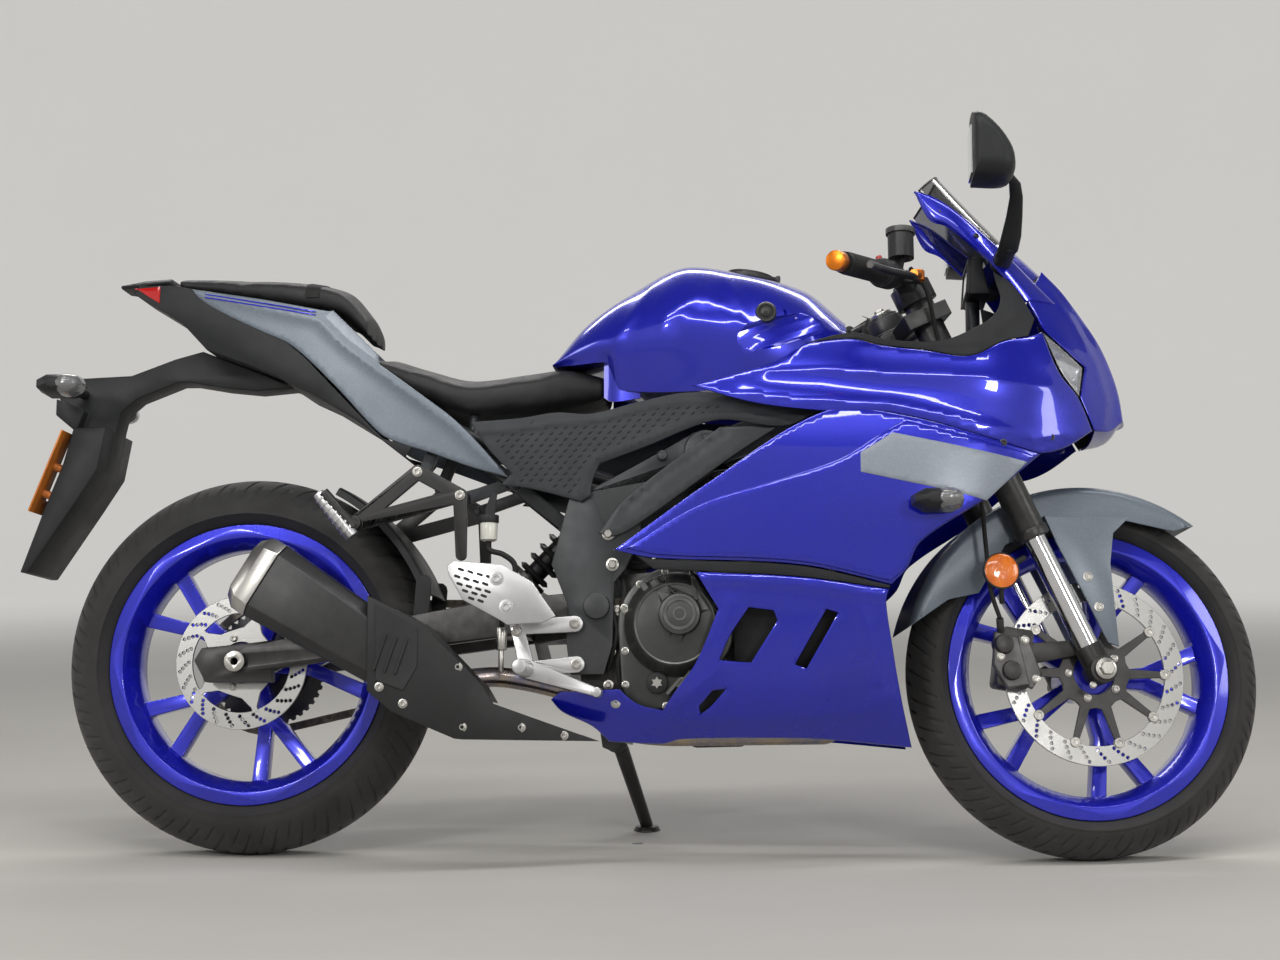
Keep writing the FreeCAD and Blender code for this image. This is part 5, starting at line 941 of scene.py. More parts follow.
class Scatter:
    """Sets one piece at many spots, each turned to its own facing."""

    def __init__(self) -> None:
        """Build the tree."""
        graph = Graph.group("scatter", {"Geometry": "Geometry", "Piece": "Object", "Scale": "Float",
                                        "Finish": "Material"}, {"Geometry": "Geometry"}, "GeometryNodeTree")
        take = graph.source
        seed = graph.node("GeometryNodeObjectInfo", {"Object": take["Piece"]})
        facing = graph.node("GeometryNodeInputNamedAttribute", {"Name": "facing"}, data_type="FLOAT_VECTOR")
        self.turn = graph.node("FunctionNodeAlignRotationToVector", {"Vector": facing.outputs["Attribute"]},
                               axis="Z")
        place = graph.node("GeometryNodeInstanceOnPoints", {
            "Points": take["Geometry"], "Instance": seed.outputs["Geometry"],
            "Rotation": self.turn.outputs["Rotation"], "Scale": take["Scale"]})
        real = graph.node("GeometryNodeRealizeInstances", {"Geometry": place.outputs["Instances"]})
        paint = graph.node("GeometryNodeSetMaterial", {"Geometry": real.outputs["Geometry"],
                                                       "Material": take["Finish"]})
        self.tree = graph.close(Geometry=paint.outputs["Geometry"])

    def place(self, name: str, spots: Sequence[tuple[Point, Point]], seed: Mould, look: Look = Look.ZINC,
              slot: str = "axle_steel", body: Body = Body.CHASSIS, replaces: Sequence[str] = (),
              pivot: str = "AUTO") -> None:
        """Set a seed at every spot.

        Args:
            name: The piece's name.
            spots: Each place and the way that the seed's z axis faces there, in the body's own frame.
            seed: What is repeated, made about its own zero.
            look: Its finish.
            slot: The record's material slot; not used.
            body: The body that it rides.
            replaces: The CAD nodes that it stands for.
            pivot: The axis that copies are turned about, where only one will do.
        """
        kernel = bpy.data.objects.new(name + "_seed", seed.data(name + "_seed"))
        seed.mesh.free()
        points = bpy.data.meshes.new(name + "_spots")
        points.from_pydata([spot for spot, _ in spots], [], [])
        facing = points.attributes.new("facing", "FLOAT_VECTOR", "POINT")
        facing.data.foreach_set("vector", [part for _, way in spots for part in way])
        host = linked(name + "_host", points)
        self.turn.pivot_axis = pivot
        fill = host.modifiers.new("scatter", "NODES")
        fill.node_group = self.tree
        for item in self.tree.interface.items_tree:
            if item.in_out == "INPUT" and item.name != "Geometry":
                fill[item.identifier] = {"Piece": kernel, "Scale": 1.0, "Finish": finish(look)}[item.name]
        made = evaluated(host)
        made.transform(FRAMES[body])
        for thing in (host, kernel):
            bpy.data.objects.remove(thing)
        if "facing" in made.attributes:
            made.attributes.remove(made.attributes["facing"])
        finished(linked(name, made), body, look, replaces)


SCATTER = Scatter()


def around(count: int, radius: float, y: float, start: float = 0.0) -> list[tuple[Point, Point]]:
    """Spots on a ring about the y axis that face the right."""
    spots = []
    for step in turns(count):
        turn = math.radians(start) + step
        spots.append(((radius * math.cos(turn), y, radius * math.sin(turn)), (0, RIGHT, 0)))
    return spots


def lathe(profile: Sequence[Flat], sides: int, caps: bool = False) -> Mould:
    """Rings of (height, radius) about the z axis."""
    return Mould().rings([[(radius * math.cos(turn), radius * math.sin(turn), up) for turn in turns(sides)]
                          for up, radius in profile], caps)


def bolt_seed(radius: float = 5.0, height: float = 4.0, flange: float = 1.5) -> Mould:
    """A bolt head with a hexagonal socket, standing on its zero along z."""
    return lathe(((0, radius + flange), (1.0, radius + flange), (1.4, radius), (height - 0.7, radius),
                  (height, radius - 0.8), (height, radius * 0.56), (height - 1.8, radius * 0.5),
                  (height - 2.0, 0.02)), 18)


def hex_seed(radius: float = 8.0, height: float = 6.0) -> Mould:
    """A hexagonal nut or head on its washer, standing on its zero along z."""
    washer = lathe(((-0.5, radius + 3), (1.0, radius + 3), (1.4, radius + 2)), 24, True)
    return washer.joined(lathe(((1.2, radius), (height - 1.2, radius), (height, radius - 1.4)), 6, True))


def side_bolts(name: str, spots: Sequence[Point], seed: Mould, look: Look = Look.ZINC, slot: str = "axle_steel",
               body: Body = Body.CHASSIS, sides: Sequence[int] = SIDES) -> None:
    """Bolts that face sideways.

    Args:
        name: The piece's name.
        spots: Each bolt's x, its distance from the middle plane, and its z.
        seed: The bolt.
        look: Its finish.
        slot: The record's material slot.
        body: The body that it rides.
        sides: The sides that have it.
    """
    places = [((x, side * depth, z), (0, side, 0)) for side in sides for x, depth, z in spots]
    SCATTER.place(name, places, seed, look, slot, body)


# Bodywork.


@dataclass(frozen=True)
class Panel:
    """One kind of side panel on a skin."""

    outline: Sequence[Flat]
    holes: Sequence[Sequence[Flat]] = ()
    creases: Sequence[Crease] = ()
    proud: float = 0.0
    thick: float = 3.4
    lip: float = 2.2
    pitch: float = 7.5
    sides: Sequence[int] = SIDES

    def _rim(self, loops: Sequence[np.ndarray]) -> tuple[list, list, list]:
        """The edge's places with its rounded lip, their joined pairs and how far they lie down."""
        places, edges, depth = [], [], []
        for loop in loops:
            edges += ring_edges(len(places), len(loop))
            places += list(loop)
            depth += [self.lip] * len(loop)
        for share in (0.3, 1.0):
            drop = self.lip * (1 - math.sqrt(1 - (1 - share) ** 2))
            for number, loop in enumerate(loops):
                ring = inset(loop, self.lip * share * (-1 if number else 1))
                places += list(ring)
                depth += [drop] * len(ring)
        return places, edges, depth

    def _face(self, loops: Sequence[np.ndarray]) -> np.ndarray:
        """The places inside the rim, on a staggered grid and along the creases."""
        low, high = loops[0].min(axis=0), loops[0].max(axis=0)
        xs, zs = np.meshgrid(np.arange(low[0], high[0], self.pitch),
                             np.arange(low[1], high[1], self.pitch * 0.87), indexing="ij")
        xs = xs + np.where(np.arange(xs.shape[1]) % 2, self.pitch / 2, 0)[None]
        grid = np.stack([xs.ravel(), zs.ravel()], axis=1)
        grid = grid[between(grid, loops)]
        for loop in loops:
            grid = grid[away_from(grid, loop) > self.lip + self.pitch * 0.45]
        for crease in self.creases:
            line = eased(crease.line, self.pitch * 0.8, closed=False)
            line = line[inside(line, loops[0])]
            if len(line) < 2:
                continue
            for loop in loops:
                line = line[away_from(line, loop) > self.lip + 1.0]
            if len(line) > 1:
                grid = grid[away_from(grid, line, closed=False) > self.pitch * 0.4]
            grid = np.concatenate([grid, line])
        return grid

    def add(self, mould: Mould, skin: Skin) -> Mould:
        """Make the panel on each of its sides.

        Args:
            mould: The mesh that it is added to.
            skin: The surface that it lies on.

        Returns:
            The same mesh.
        """
        loops = [eased(loop, self.pitch) for loop in (self.outline, *self.holes)]
        places, edges, depth = self._rim(loops)
        flat = np.concatenate([np.array(places), self._face(loops)])
        verts, faces = triangulated(flat, edges, loops)
        drops = np.zeros(max(len(flat), len(verts)))
        drops[:len(depth)] = depth
        wide = skin.width(verts[:, 0], verts[:, 1]) + self.proud
        for crease in self.creases:
            wide += crease.lift(verts)
        for side in self.sides:
            outer = [mould.mesh.verts.new((x, side * (w - drop), z))
                     for (x, z), w, drop in zip(verts, wide, drops)]
            inner = [mould.mesh.verts.new((x, side * (w - self.thick), z)) for (x, z), w in zip(verts, wide)]
            for face in faces:
                mould.mesh.faces.new([outer[index] for index in face])
                mould.mesh.faces.new([inner[index] for index in reversed(face)])
            for a, b in edges:
                mould.mesh.faces.new((outer[a], outer[b], inner[b], inner[a]))
        return mould


def covered(name: str, look: Look, slot: str, skin: Skin, panels: Sequence[Panel],
            replaces: Sequence[str] = ()) -> None:
    """Make one piece of panels on a skin.

    Args:
        name: The piece's name.
        look: Its finish.
        slot: The record's material slot.
        skin: The surface that the panels lie on.
        panels: The panels.
        replaces: The CAD nodes that it stands for.
    """
    mould = Mould()
    for panel in panels:
        panel.add(mould, skin)
    mould.done(name, look, slot, replaces)


BODY_SKIN = Skin(
    (176, 235, 330, 450, 560, 640, 700, 760, 820, 880, 960),
    ((500, (92, 142, 170, 184, 188, 186, 180, 170, 150, 130, 110)),
     (760, (110, 160, 187, 202, 208, 208, 200, 185, 165, 145, 125)),
     (960, (114, 164, 191, 208, 218, 214, 206, 194, 182, 165, 145)),
     (1090, (106, 156, 187, 206, 218, 214, 206, 196, 187, 175, 160)),
     (1200, (60, 100, 145, 182, 206, 205, 200, 194, 187, 176, 150)),
     (1290, (40, 60, 90, 130, 165, 176, 180, 176, 164, 140, 85)),
     (1350, (30, 45, 70, 100, 125, 140, 146, 140, 124, 90, 35)),
     (1410, (20, 30, 45, 60, 75, 88, 94, 84, 62, 25, 8)),
     (1455, (6, 8, 10, 12, 20, 32, 36, 26, 12, 8, 6))))
KNEE_SKIN = Skin((540, 650, 760), ((330, (124, 128, 128)), (560, (148, 148, 140)), (820, (176, 172, 164))), 10)
TAIL_SKIN = Skin((600, 700, 800, 900, 990), (
    (-270, (40, 46, 52, 54, 50)), (-90, (64, 70, 78, 82, 76)), (130, (98, 106, 112, 114, 106)),
    (300, (114, 121, 126, 125, 118)), (470, (124, 131, 135, 131, 122))), 14)

MID_FAIRING = ((626, 487), (779, 594), (961, 706), (1068, 702), (1280, 645), (1302, 640), (1267, 610), (1213, 566),
               (1109, 496), (1088, 456), (1064, 431), (919, 462), (689, 474))
FAIRING_STRIP = ((660, 479), (689, 472), (919, 460), (1062, 429), (1060, 424), (919, 443), (690, 456))
LOWER_FAIRING = ((1060, 423), (1055, 406), (1065, 331), (1078, 256), (1096, 178), (974, 189), (903, 192), (729, 190),
                 (700, 183), (613, 186), (587, 210), (539, 233), (522, 252), (537, 264), (633, 268), (662, 245),
                 (702, 235), (716, 256), (756, 310), (792, 393), (774, 422), (756, 451.3), (919, 442.2))
LOWER_LEFT_FAIRING = LOWER_FAIRING[:8] + ((700, 186), (694, 236)) + LOWER_FAIRING[17:]
FAIRING_WINDOWS = (
    ((840, 395), (879, 390), (885, 374), (857, 331), (843, 309), (793, 313), (811, 352)),
    ((962, 392), (980, 386), (930, 300), (912, 306)),
    ((803, 268), (778, 241), (762, 229), (760, 241), (782, 266)))
UPPER_COWL = ((750, 753), (834, 776), (899, 795), (929, 821), (1006, 827), (1052, 815), (1119, 806), (1193, 796),
              (1247, 821), (1289, 832), (1312, 843), (1327, 798), (1340, 771), (1368, 738), (1392, 686), (1346, 655),
              (1306, 642), (1280, 645.9), (1068, 702.9), (961, 706.9), (850, 722))
COCKPIT_TRIM = ((930, 822), (1006, 827.9), (1052, 815.9), (1119, 806.9), (1193, 796.9), (1247, 821.9), (1288, 832.8),
                (1300.5, 865), (1268, 925), (1236, 944), (1240, 921), (1245, 895), (1233, 866), (1199, 842),
                (1147, 822), (1065, 824), (1006, 838))
NOSE_COWL = ((1322, 961), (1348, 936), (1366, 913), (1405, 857), (1427, 811), (1443, 762), (1450, 711), (1424, 690),
             (1396, 686), (1372, 738), (1383, 792), (1316, 846), (1306, 866), (1290, 900))
NOSE_RIDGE = NOSE_COWL[:9]
HEADLIGHT = ((1314, 841), (1379, 790), (1370, 741), (1343, 774), (1330, 800))
STRIPE = ((1017, 637), (1068, 669), (1280, 625), (1213, 561), (1188, 568), (1017, 606))
KNEE_COVER = ((382, 706), (465, 711), (524, 719), (583, 716), (662, 734), (739, 747), (842, 741), (960, 720),
              (901, 689), (801, 700), (760, 693), (679, 661), (598, 632), (587, 606), (583, 580), (568, 571),
              (482, 594), (434, 600), (452, 619), (412, 662))
TAIL_PANEL = ((-108, 948), (16, 925), (137, 899), (145, 900), (186, 860), (224, 823), (227, 806), (289, 761),
              (353, 713), (399, 668), (446, 614), (383, 633), (316, 657), (243, 682), (217, 702), (152, 771),
              (75, 842), (22, 868), (-47, 902), (-93, 930))
# The tail panel's upturned strip above its crease, which is drawn paler as a painted highlight.
TAIL_LIT_FACET = ((125, 889), (144, 898), (186, 857.5), (222, 822), (223, 806), (176, 841))
MID_WING = ((646, 489), (763, 557), (891, 596), (986, 628), (1049, 668), (1089, 691), (1280, 639), (1295, 635),
            (1262, 607), (1209, 565), (1105, 494), (1085, 456), (1062, 435), (919, 466), (700, 478))
SCREEN = (((1322, 964), (1300, 66, 938)), ((1240, 1046), (1196, 98, 1006)), ((1156, 1139), (1122, 88, 1096)))
SPEAR = (((1114, 92, 1094), (1120, 95, 1083)), ((1149, 97, 1079), (1140, 101, 1044)),
         ((1186, 101, 1051), (1172, 108, 1028)), ((1252, 92, 993), (1229, 115, 974)),
         ((1300, 83, 945), (1257, 124, 940)), ((1347, 76, 899), (1288, 131, 897)))

TANK = (
    (508, ((0, 811), (50, 812), (56, 814), (40, 817), (0, 820))),
    (560, ((0, 809), (84, 809), (92, 838), (62, 872), (0, 886))),
    (602, ((0, 809), (102, 809), (116, 848), (78, 900), (0, 918))),
    (626, ((0, 764), (106, 762), (126, 850), (84, 912), (0, 934))),
    (740, ((0, 750), (138, 752), (158, 872), (98, 958), (0, 988))),
    (840, ((0, 750), (146, 754), (156, 858), (98, 944), (0, 970))),
    (930, ((0, 750), (132, 753), (136, 846), (82, 916), (0, 945))),
    (998, ((0, 760), (88, 762), (95, 832), (50, 876), (0, 888))))
RIDER_SEAT = ((208, 90, 842, 832, 802), (300, 110, 807, 798, 752), (380, 120, 791, 776, 727),
              (470, 114, 802, 786, 732), (540, 94, 809, 798, 745), (600, 74, 805, 794, 758))
PILLION_SEAT = ((-144, 56, 980, 972, 955), (-36, 86, 973, 962, 934), (73, 98, 967, 953, 914),
                (150, 98, 952, 936, 900), (196, 90, 902, 890, 858))
TANK_CREASES = (Crease(((800, 946), (838, 862), (760, 914), (700, 862)), 3.2, 20),
                Crease(((676, 930), (622, 843), (560, 792)), 2.8, 22),
                Crease(((838, 862), (930, 842), (985, 858)), 2.4, 14))


class Assembly:
    """A group of pieces that belongs together."""

    def build(self) -> None:
        """Make and dress every piece."""
        raise NotImplementedError


@dataclass(frozen=True)
class Fairings(Assembly):
    """Every panel that lies on the body's skin."""

    wing_proud: float = 5.4
    stripe_proud: float = 6.0
    chin: float = 700.0
    roof_wall: float = 3.0
    roof_inset: float = 2.2
    roof_crown: float = 9.0
    spear_crown: float = 5.0

    def build(self) -> None:
        """The mid and lower fairing, the upper cowl, the trims, the nose and the stripe."""
        covered("mid_fairing_skin", Look.BODY_BLUE, "body_blue", BODY_SKIN, (
            Panel(MID_FAIRING, creases=(Crease(((700, 476), (920, 470), (1062, 442)), -1.0, 20),)),
            Panel(MID_WING, proud=self.wing_proud, thick=5.8, lip=3.2, pitch=8)), ("mid_fairing",))
        lower = Panel(LOWER_FAIRING, FAIRING_WINDOWS, (
            Crease(((774, 440), (900, 432), (1048, 414)), 3.0, 18),
            Crease(((812, 404), (792, 300), (716, 236)), 3.0, 22),
            Crease(((720, 222), (860, 222), (1010, 232), (1072, 260)), 2.6, 26),
            Crease(((1012, 408), (1040, 300), (1068, 196)), 2.6, 34)), sides=(RIGHT,))
        covered("lower_fairing_skin", Look.BODY_BLUE, "body_blue", BODY_SKIN, (
            lower, replace(lower, outline=LOWER_LEFT_FAIRING, sides=(LEFT,))), ("lower_fairing",))
        covered("upper_cowl_skin", Look.BODY_BLUE, "body_blue", BODY_SKIN, (Panel(UPPER_COWL, creases=(
            Crease(((872, 776), (960, 778), (1060, 768), (1200, 760), (1322, 744)), 3.4, 34),
            Crease(((830, 742), (920, 728), (1068, 716), (1290, 664), (1372, 680)), 2.6, 18))),), ("upper_cowl",))
        covered("cockpit_trim_skin", Look.DASH_PLASTIC, "black_plastic", BODY_SKIN, (
            Panel(FAIRING_STRIP, lip=1.5, pitch=6),
            Panel(COCKPIT_TRIM, lip=2.0, pitch=6, creases=(
                Crease(((1010, 833), (1130, 815), (1215, 820), (1270, 870), (1262, 915)), 2.0, 14),))),
            ("fairing_trim",))
        nose = Mould()
        Panel(NOSE_COWL, pitch=5.5, creases=(
            Crease(((1330, 930), (1372, 866), (1404, 800), (1420, 740), (1412, 696)), 2.2, 20),)).add(nose, BODY_SKIN)
        self._roof(nose)
        nose.joined(self._spear().mirrored())
        nose.done("nose_cowl_skin", Look.BODY_BLUE, "body_blue", ("nose_cowl",))
        covered("fairing_stripe", Look.PALE_SLATE, "slate_panel", BODY_SKIN, (
            Panel(STRIPE, proud=self.stripe_proud, thick=1.4, lip=0.4, pitch=7.5),))

    def _roof(self, mould: Mould) -> None:
        """Join the nose's two sides over its ridge and under its chin."""
        ridge = eased(NOSE_RIDGE, 9, closed=False)
        wide = BODY_SKIN.width(ridge[:, 0], ridge[:, 1]) - self.roof_inset
        rows = []
        for index, ((x, z), reach) in enumerate(zip(ridge, wide)):
            ahead = ridge[min(index + 1, len(ridge) - 1)] - ridge[max(index - 1, 0)]
            out = Vector((-ahead[1], 0, ahead[0])).normalized()
            if z > self.chin:
                out = Vector((abs(out.x), 0, out.z * (-1 if ahead[0] < ahead[1] else 1)))
            else:
                out = Vector((0.2, 0, -abs(out.z)))
            crown = min(reach * 0.14, self.roof_crown)
            outer = [Vector((x, reach * t, z)) + out * crown * (1 - t * t) for t in np.linspace(-1, 1, 15)]
            rows.append(outer + [spot - out * self.roof_wall for spot in reversed(outer)])
        mould.rings(rows)

    def _spear(self) -> Mould:
        """The strip that runs up beside the screen, on the right."""
        upper = smooth_path([(x, -y, z) for (x, y, z), _ in SPEAR], 8)
        lower = smooth_path([(x, -y, z) for _, (x, y, z) in SPEAR], 8)
        out = Vector((0.42, -0.8, 0.42)).normalized()
        rows = []
        for first, last in zip(upper, lower):
            crown = min((first - last).length * 0.12, self.spear_crown)
            outer = [first.lerp(last, t) + out * crown * (1 - (2 * t - 1) ** 4) for t in np.linspace(0, 1, 9)]
            rows.append(outer + [spot + Vector((-2.4, 3.6, -2.4)) for spot in reversed(outer)])
        return Mould().rings(rows)


@dataclass(frozen=True)
class SideCovers(Assembly):
    """The knee covers with their pressed dashes, and the tail's side panels."""

    dash_long: float = 4.6
    dash_wide: float = 1.5
    dash_turn: float = 32.0
    dash_step: float = 16.0
    dash_rise: float = 9.5
    dash_margin: float = 11.0
    line_proud: float = 3.8
    line_drops: Sequence[float] = (4.5, 10.0)

    def build(self) -> None:
        """The knee covers, the covers behind them, the tail panels and what is set on them."""
        covered("knee_cover_skin", Look.GREY_PLASTIC, "grey_plastic", KNEE_SKIN, (Panel(KNEE_COVER, creases=(
            Crease(((392, 690), (470, 694), (530, 702), (600, 706), (680, 726), (760, 734), (900, 716)), 2.2, 12),
            Crease(((890, 700), (800, 708), (756, 703), (672, 671), (588, 640), (574, 606), (570, 584)),
                   2.6, 13)), pitch=6),), ("knee_covers",))
        self._dashes()
        covered("spar_covers", Look.FRAME_GREY, "grey_plastic", KNEE_SKIN, (Panel(
            ((793, 690), (893, 693), (812, 640), (646, 524), (612, 512), (596, 520), (638, 574)),
            creases=(Crease(((640, 560), (700, 612), (800, 680)), -2.0, 12),), proud=-9, thick=3, pitch=9),))
        covered("tail_panel_skin", Look.SLATE, "slate_panel", TAIL_SKIN, (Panel(TAIL_PANEL, creases=(
            Crease(((-98, 941), (122, 884), (164, 842), (222, 799), (289, 750), (353, 702), (436, 622)),
                   3.4, 26),), pitch=6.5),), ("tail_panels",))
        # A painted highlight: the same slate panel drawn paler on its upturned top strip, where the light falls.
        covered("tail_facet", Look.PALE_SLATE, "slate_panel", TAIL_SKIN, (
            Panel(TAIL_LIT_FACET, proud=1.2, thick=2.0, lip=0.8, pitch=7),))
        covered("tail_pinstripes", Look.BODY_BLUE, "body_blue", TAIL_SKIN, [
            Panel(((-84, 943.2 - drop), (116, 903.2 - drop), (115.5, 901.0 - drop), (-82, 940.6 - drop)),
                  proud=self.line_proud, thick=1.4, lip=0.3, pitch=12) for drop in self.line_drops])

    def _dashes(self) -> None:
        """The short slanted dashes that are pressed into the knee covers."""
        loop = eased(KNEE_COVER, 8)
        spots = []
        for row, z in enumerate(np.arange(560, 752, self.dash_rise)):
            for x in np.arange(430 + (row % 2) * self.dash_step / 2, 800, self.dash_step):
                place = np.array([[x, z]])
                if inside(place, loop)[0] and away_from(place, loop)[0] > self.dash_margin:
                    wide = float(KNEE_SKIN.width(x, z)) + 0.1
                    spots += [((x, side * wide, z), (0, side, 0)) for side in SIDES]
        dash = Mould().rings([[(self.dash_long * math.cos(turn) * grow, self.dash_wide * math.sin(turn) * grow, up)
                               for turn in turns(10)] for up, grow in ((-1.0, 1.0), (0.15, 1.0), (0.7, 0.62))])
        dash.moved(Matrix.Rotation(math.radians(self.dash_turn), 4, "Z"))
        SCATTER.place("knee_cover_dashes", spots, dash, Look.DASH_PLASTIC, "grey_plastic")


def rounded_half(half: np.ndarray, steps: int = 8) -> np.ndarray:
    """A section's right half, from its bottom middle to its crest, curved over its upper corners."""
    bottom = [half[0], half[0] * 0.5 + half[1] * 0.5]
    knots = [half[1] * 2 - half[2], half[1], half[2], half[3], half[4], half[3] * np.array([-1, 1])]
    run = [curved(*knots[index - 1:index + 3], step / steps) for index in range(1, 4) for step in range(steps)]
    return np.array(bottom + run + [half[4]])


def body_of_sections(rows: Sequence[tuple], pitch: float, lift: Callable | None = None) -> Mould:
    """A smooth solid through half sections.

    Args:
        rows: Each section's x and its half outline of (y, z) points.
        pitch: How far its rings stand apart.
        lift: Gives a push outwards for each point of the right half, from its x and z.

    Returns:
        The solid.
    """
    places = [x for x, _ in rows]
    halves = np.array([rounded_half(np.array(half, float)) for _, half in rows])
    xs = np.linspace(places[0], places[-1], int((places[-1] - places[0]) / pitch))
    columns = [[monotone(places, halves[:, index, part][None], xs) for part in (0, 1)]
               for index in range(halves.shape[1])]
    loops = []
    for step, x in enumerate(xs):
        half = [(across[step], up[step]) for across, up in columns]
        if lift:
            half = [(y * (1 + lift(x, z) / max(y, 60)) if y > 20 else y, z) for y, z in half]
        loops.append([(x, -y, z) for y, z in half] + [(x, y, z) for y, z in reversed(half) if y > 0.01])
    return Mould().rings(loops)


STEER_FOOT = Vector((PARKING.wheelbase + PARKING.trail, 0, 0))
BAR_ROOT, BAR_TIP = Vector((1082, -114, 930)), Vector((919, -345, 877))
BAR_WAY = (BAR_TIP - BAR_ROOT).normalized()


def on_bar(y: float) -> Vector:
    """The point on the right bar's middle line at a lateral place."""
    return BAR_ROOT + (BAR_TIP - BAR_ROOT) * ((y - BAR_ROOT.y) / (BAR_TIP.y - BAR_ROOT.y))


def carved(mould: Mould, cutters: Sequence[Mould]) -> Mould:
    """A mould with others cut from it."""
    base = mould.thing("carved_base")
    tools = [cutter.thing("carved_tool") for cutter in cutters]
    for tool in tools:
        cut = base.modifiers.new("cut", "BOOLEAN")
        cut.operation = "DIFFERENCE"
        cut.solver = "EXACT"
        cut.object = tool
    applied(base)
    mould.mesh.clear()
    mould.mesh.from_mesh(base.data)
    for thing in (base, *tools):
        bpy.data.objects.remove(thing)
    return mould


@dataclass(frozen=True)
class Tank(Assembly):
    """The tank with its creases, hand reliefs, filler seat, side vents and plain round boss."""

    cap_place: Point = (838, 0, 968)
    cap_tilt: float = 9.0
    seat_radius: float = 52.5
    throat_radius: float = 20.0
    lock: float = 34.0
    hand_room: float = 29.0
    vents: int = 4
    vent_radius: float = 3.0
    boss: Point = (868, -148, 880)

    def build(self) -> None:
        """Cut the shell, and set the boss on it."""
        cap = Matrix.Translation(self.cap_place) @ Matrix.Rotation(math.radians(self.cap_tilt), 4, "Y")
        cutters = [Mould().rod((0, 0, -4), (0, 0, 60), self.seat_radius, sides=72).moved(cap),
                   Mould().rod((0, 0, -44), (0, 0, 5), self.throat_radius, sides=40).moved(cap),
                   self._hand_room(), self._hand_room().moved(Matrix.Scale(-1, 4, (0, 1, 0)))]
        lean = Vector((-0.42, 0, 0.9)).normalized() * 10
        for side in SIDES:
            for number in range(self.vents):
                x, z = 902 + number * 15, 876 - number * 4.5
                cutters.append(Mould().tube([Vector((x, side * 140, z)) - lean * 1.2, Vector((x, side * 138, z)),
                                             Vector((x, side * 126, z)) + lean * 1.2], self.vent_radius, 8))
        shell = carved(body_of_sections(TANK, 5.0, self._lift), cutters)
        shell.done("tank_shell", Look.BODY_BLUE, "tank_blue", ("fuel_tank",), smooth=44)
        x, depth, z = self.boss
        rings = ((14, 17), (-1, 17), (-3, 15.5), (-3, 12.5), (-1.4, 11.4), (-1.4, 8.5), (-3.4, 7.6), (-4.4, 4),
                 (-4.6, 0.5))
        Mould().rings([[(x + r * math.cos(t), depth + y, z + r * math.sin(t)) for t in turns(36)]
                       for y, r in rings], caps=False).mirrored().done("tank_boss", Look.BLACK_METAL, "black_metal")

    @staticmethod
    def _lift(x: float, z: float) -> float:
        """How much the tank's creases lift a point of its side."""
        place = np.array([[x, z]])
        return float(sum(crease.lift(place)[0] for crease in TANK_CREASES))

    def _hand_room(self) -> Mould:
        """The room that the right grip takes at full lock, to be cut from the tank."""
        axis = Vector((-math.sin(math.radians(PARKING.rake)), 0, math.cos(math.radians(PARKING.rake))))
        turn = (Matrix.Translation(STEER_FOOT) @ Matrix.Rotation(math.radians(-self.lock), 4, axis)
                @ Matrix.Translation(-STEER_FOOT))
        root, tip = turn @ on_bar(-110), turn @ on_bar(-360)
        along = (tip - root).normalized()
        opening = axis.cross((root + tip) * 0.5 - STEER_FOOT)
        opening = (opening - along * opening.dot(along)).normalized()
        over = along.cross(opening)
        loop = ((4, -1), (-0.25, -1), (-0.62, -0.9), (-0.9, -0.62), (-1, -0.25), (-1, 0.25), (-0.9, 0.62),
                (-0.62, 0.9), (-0.25, 1), (4, 1))
        return Mould().rings([[end + opening * (a * self.hand_room) + over * (b * self.hand_room)
                               for a, b in loop] for end in (root, tip)])


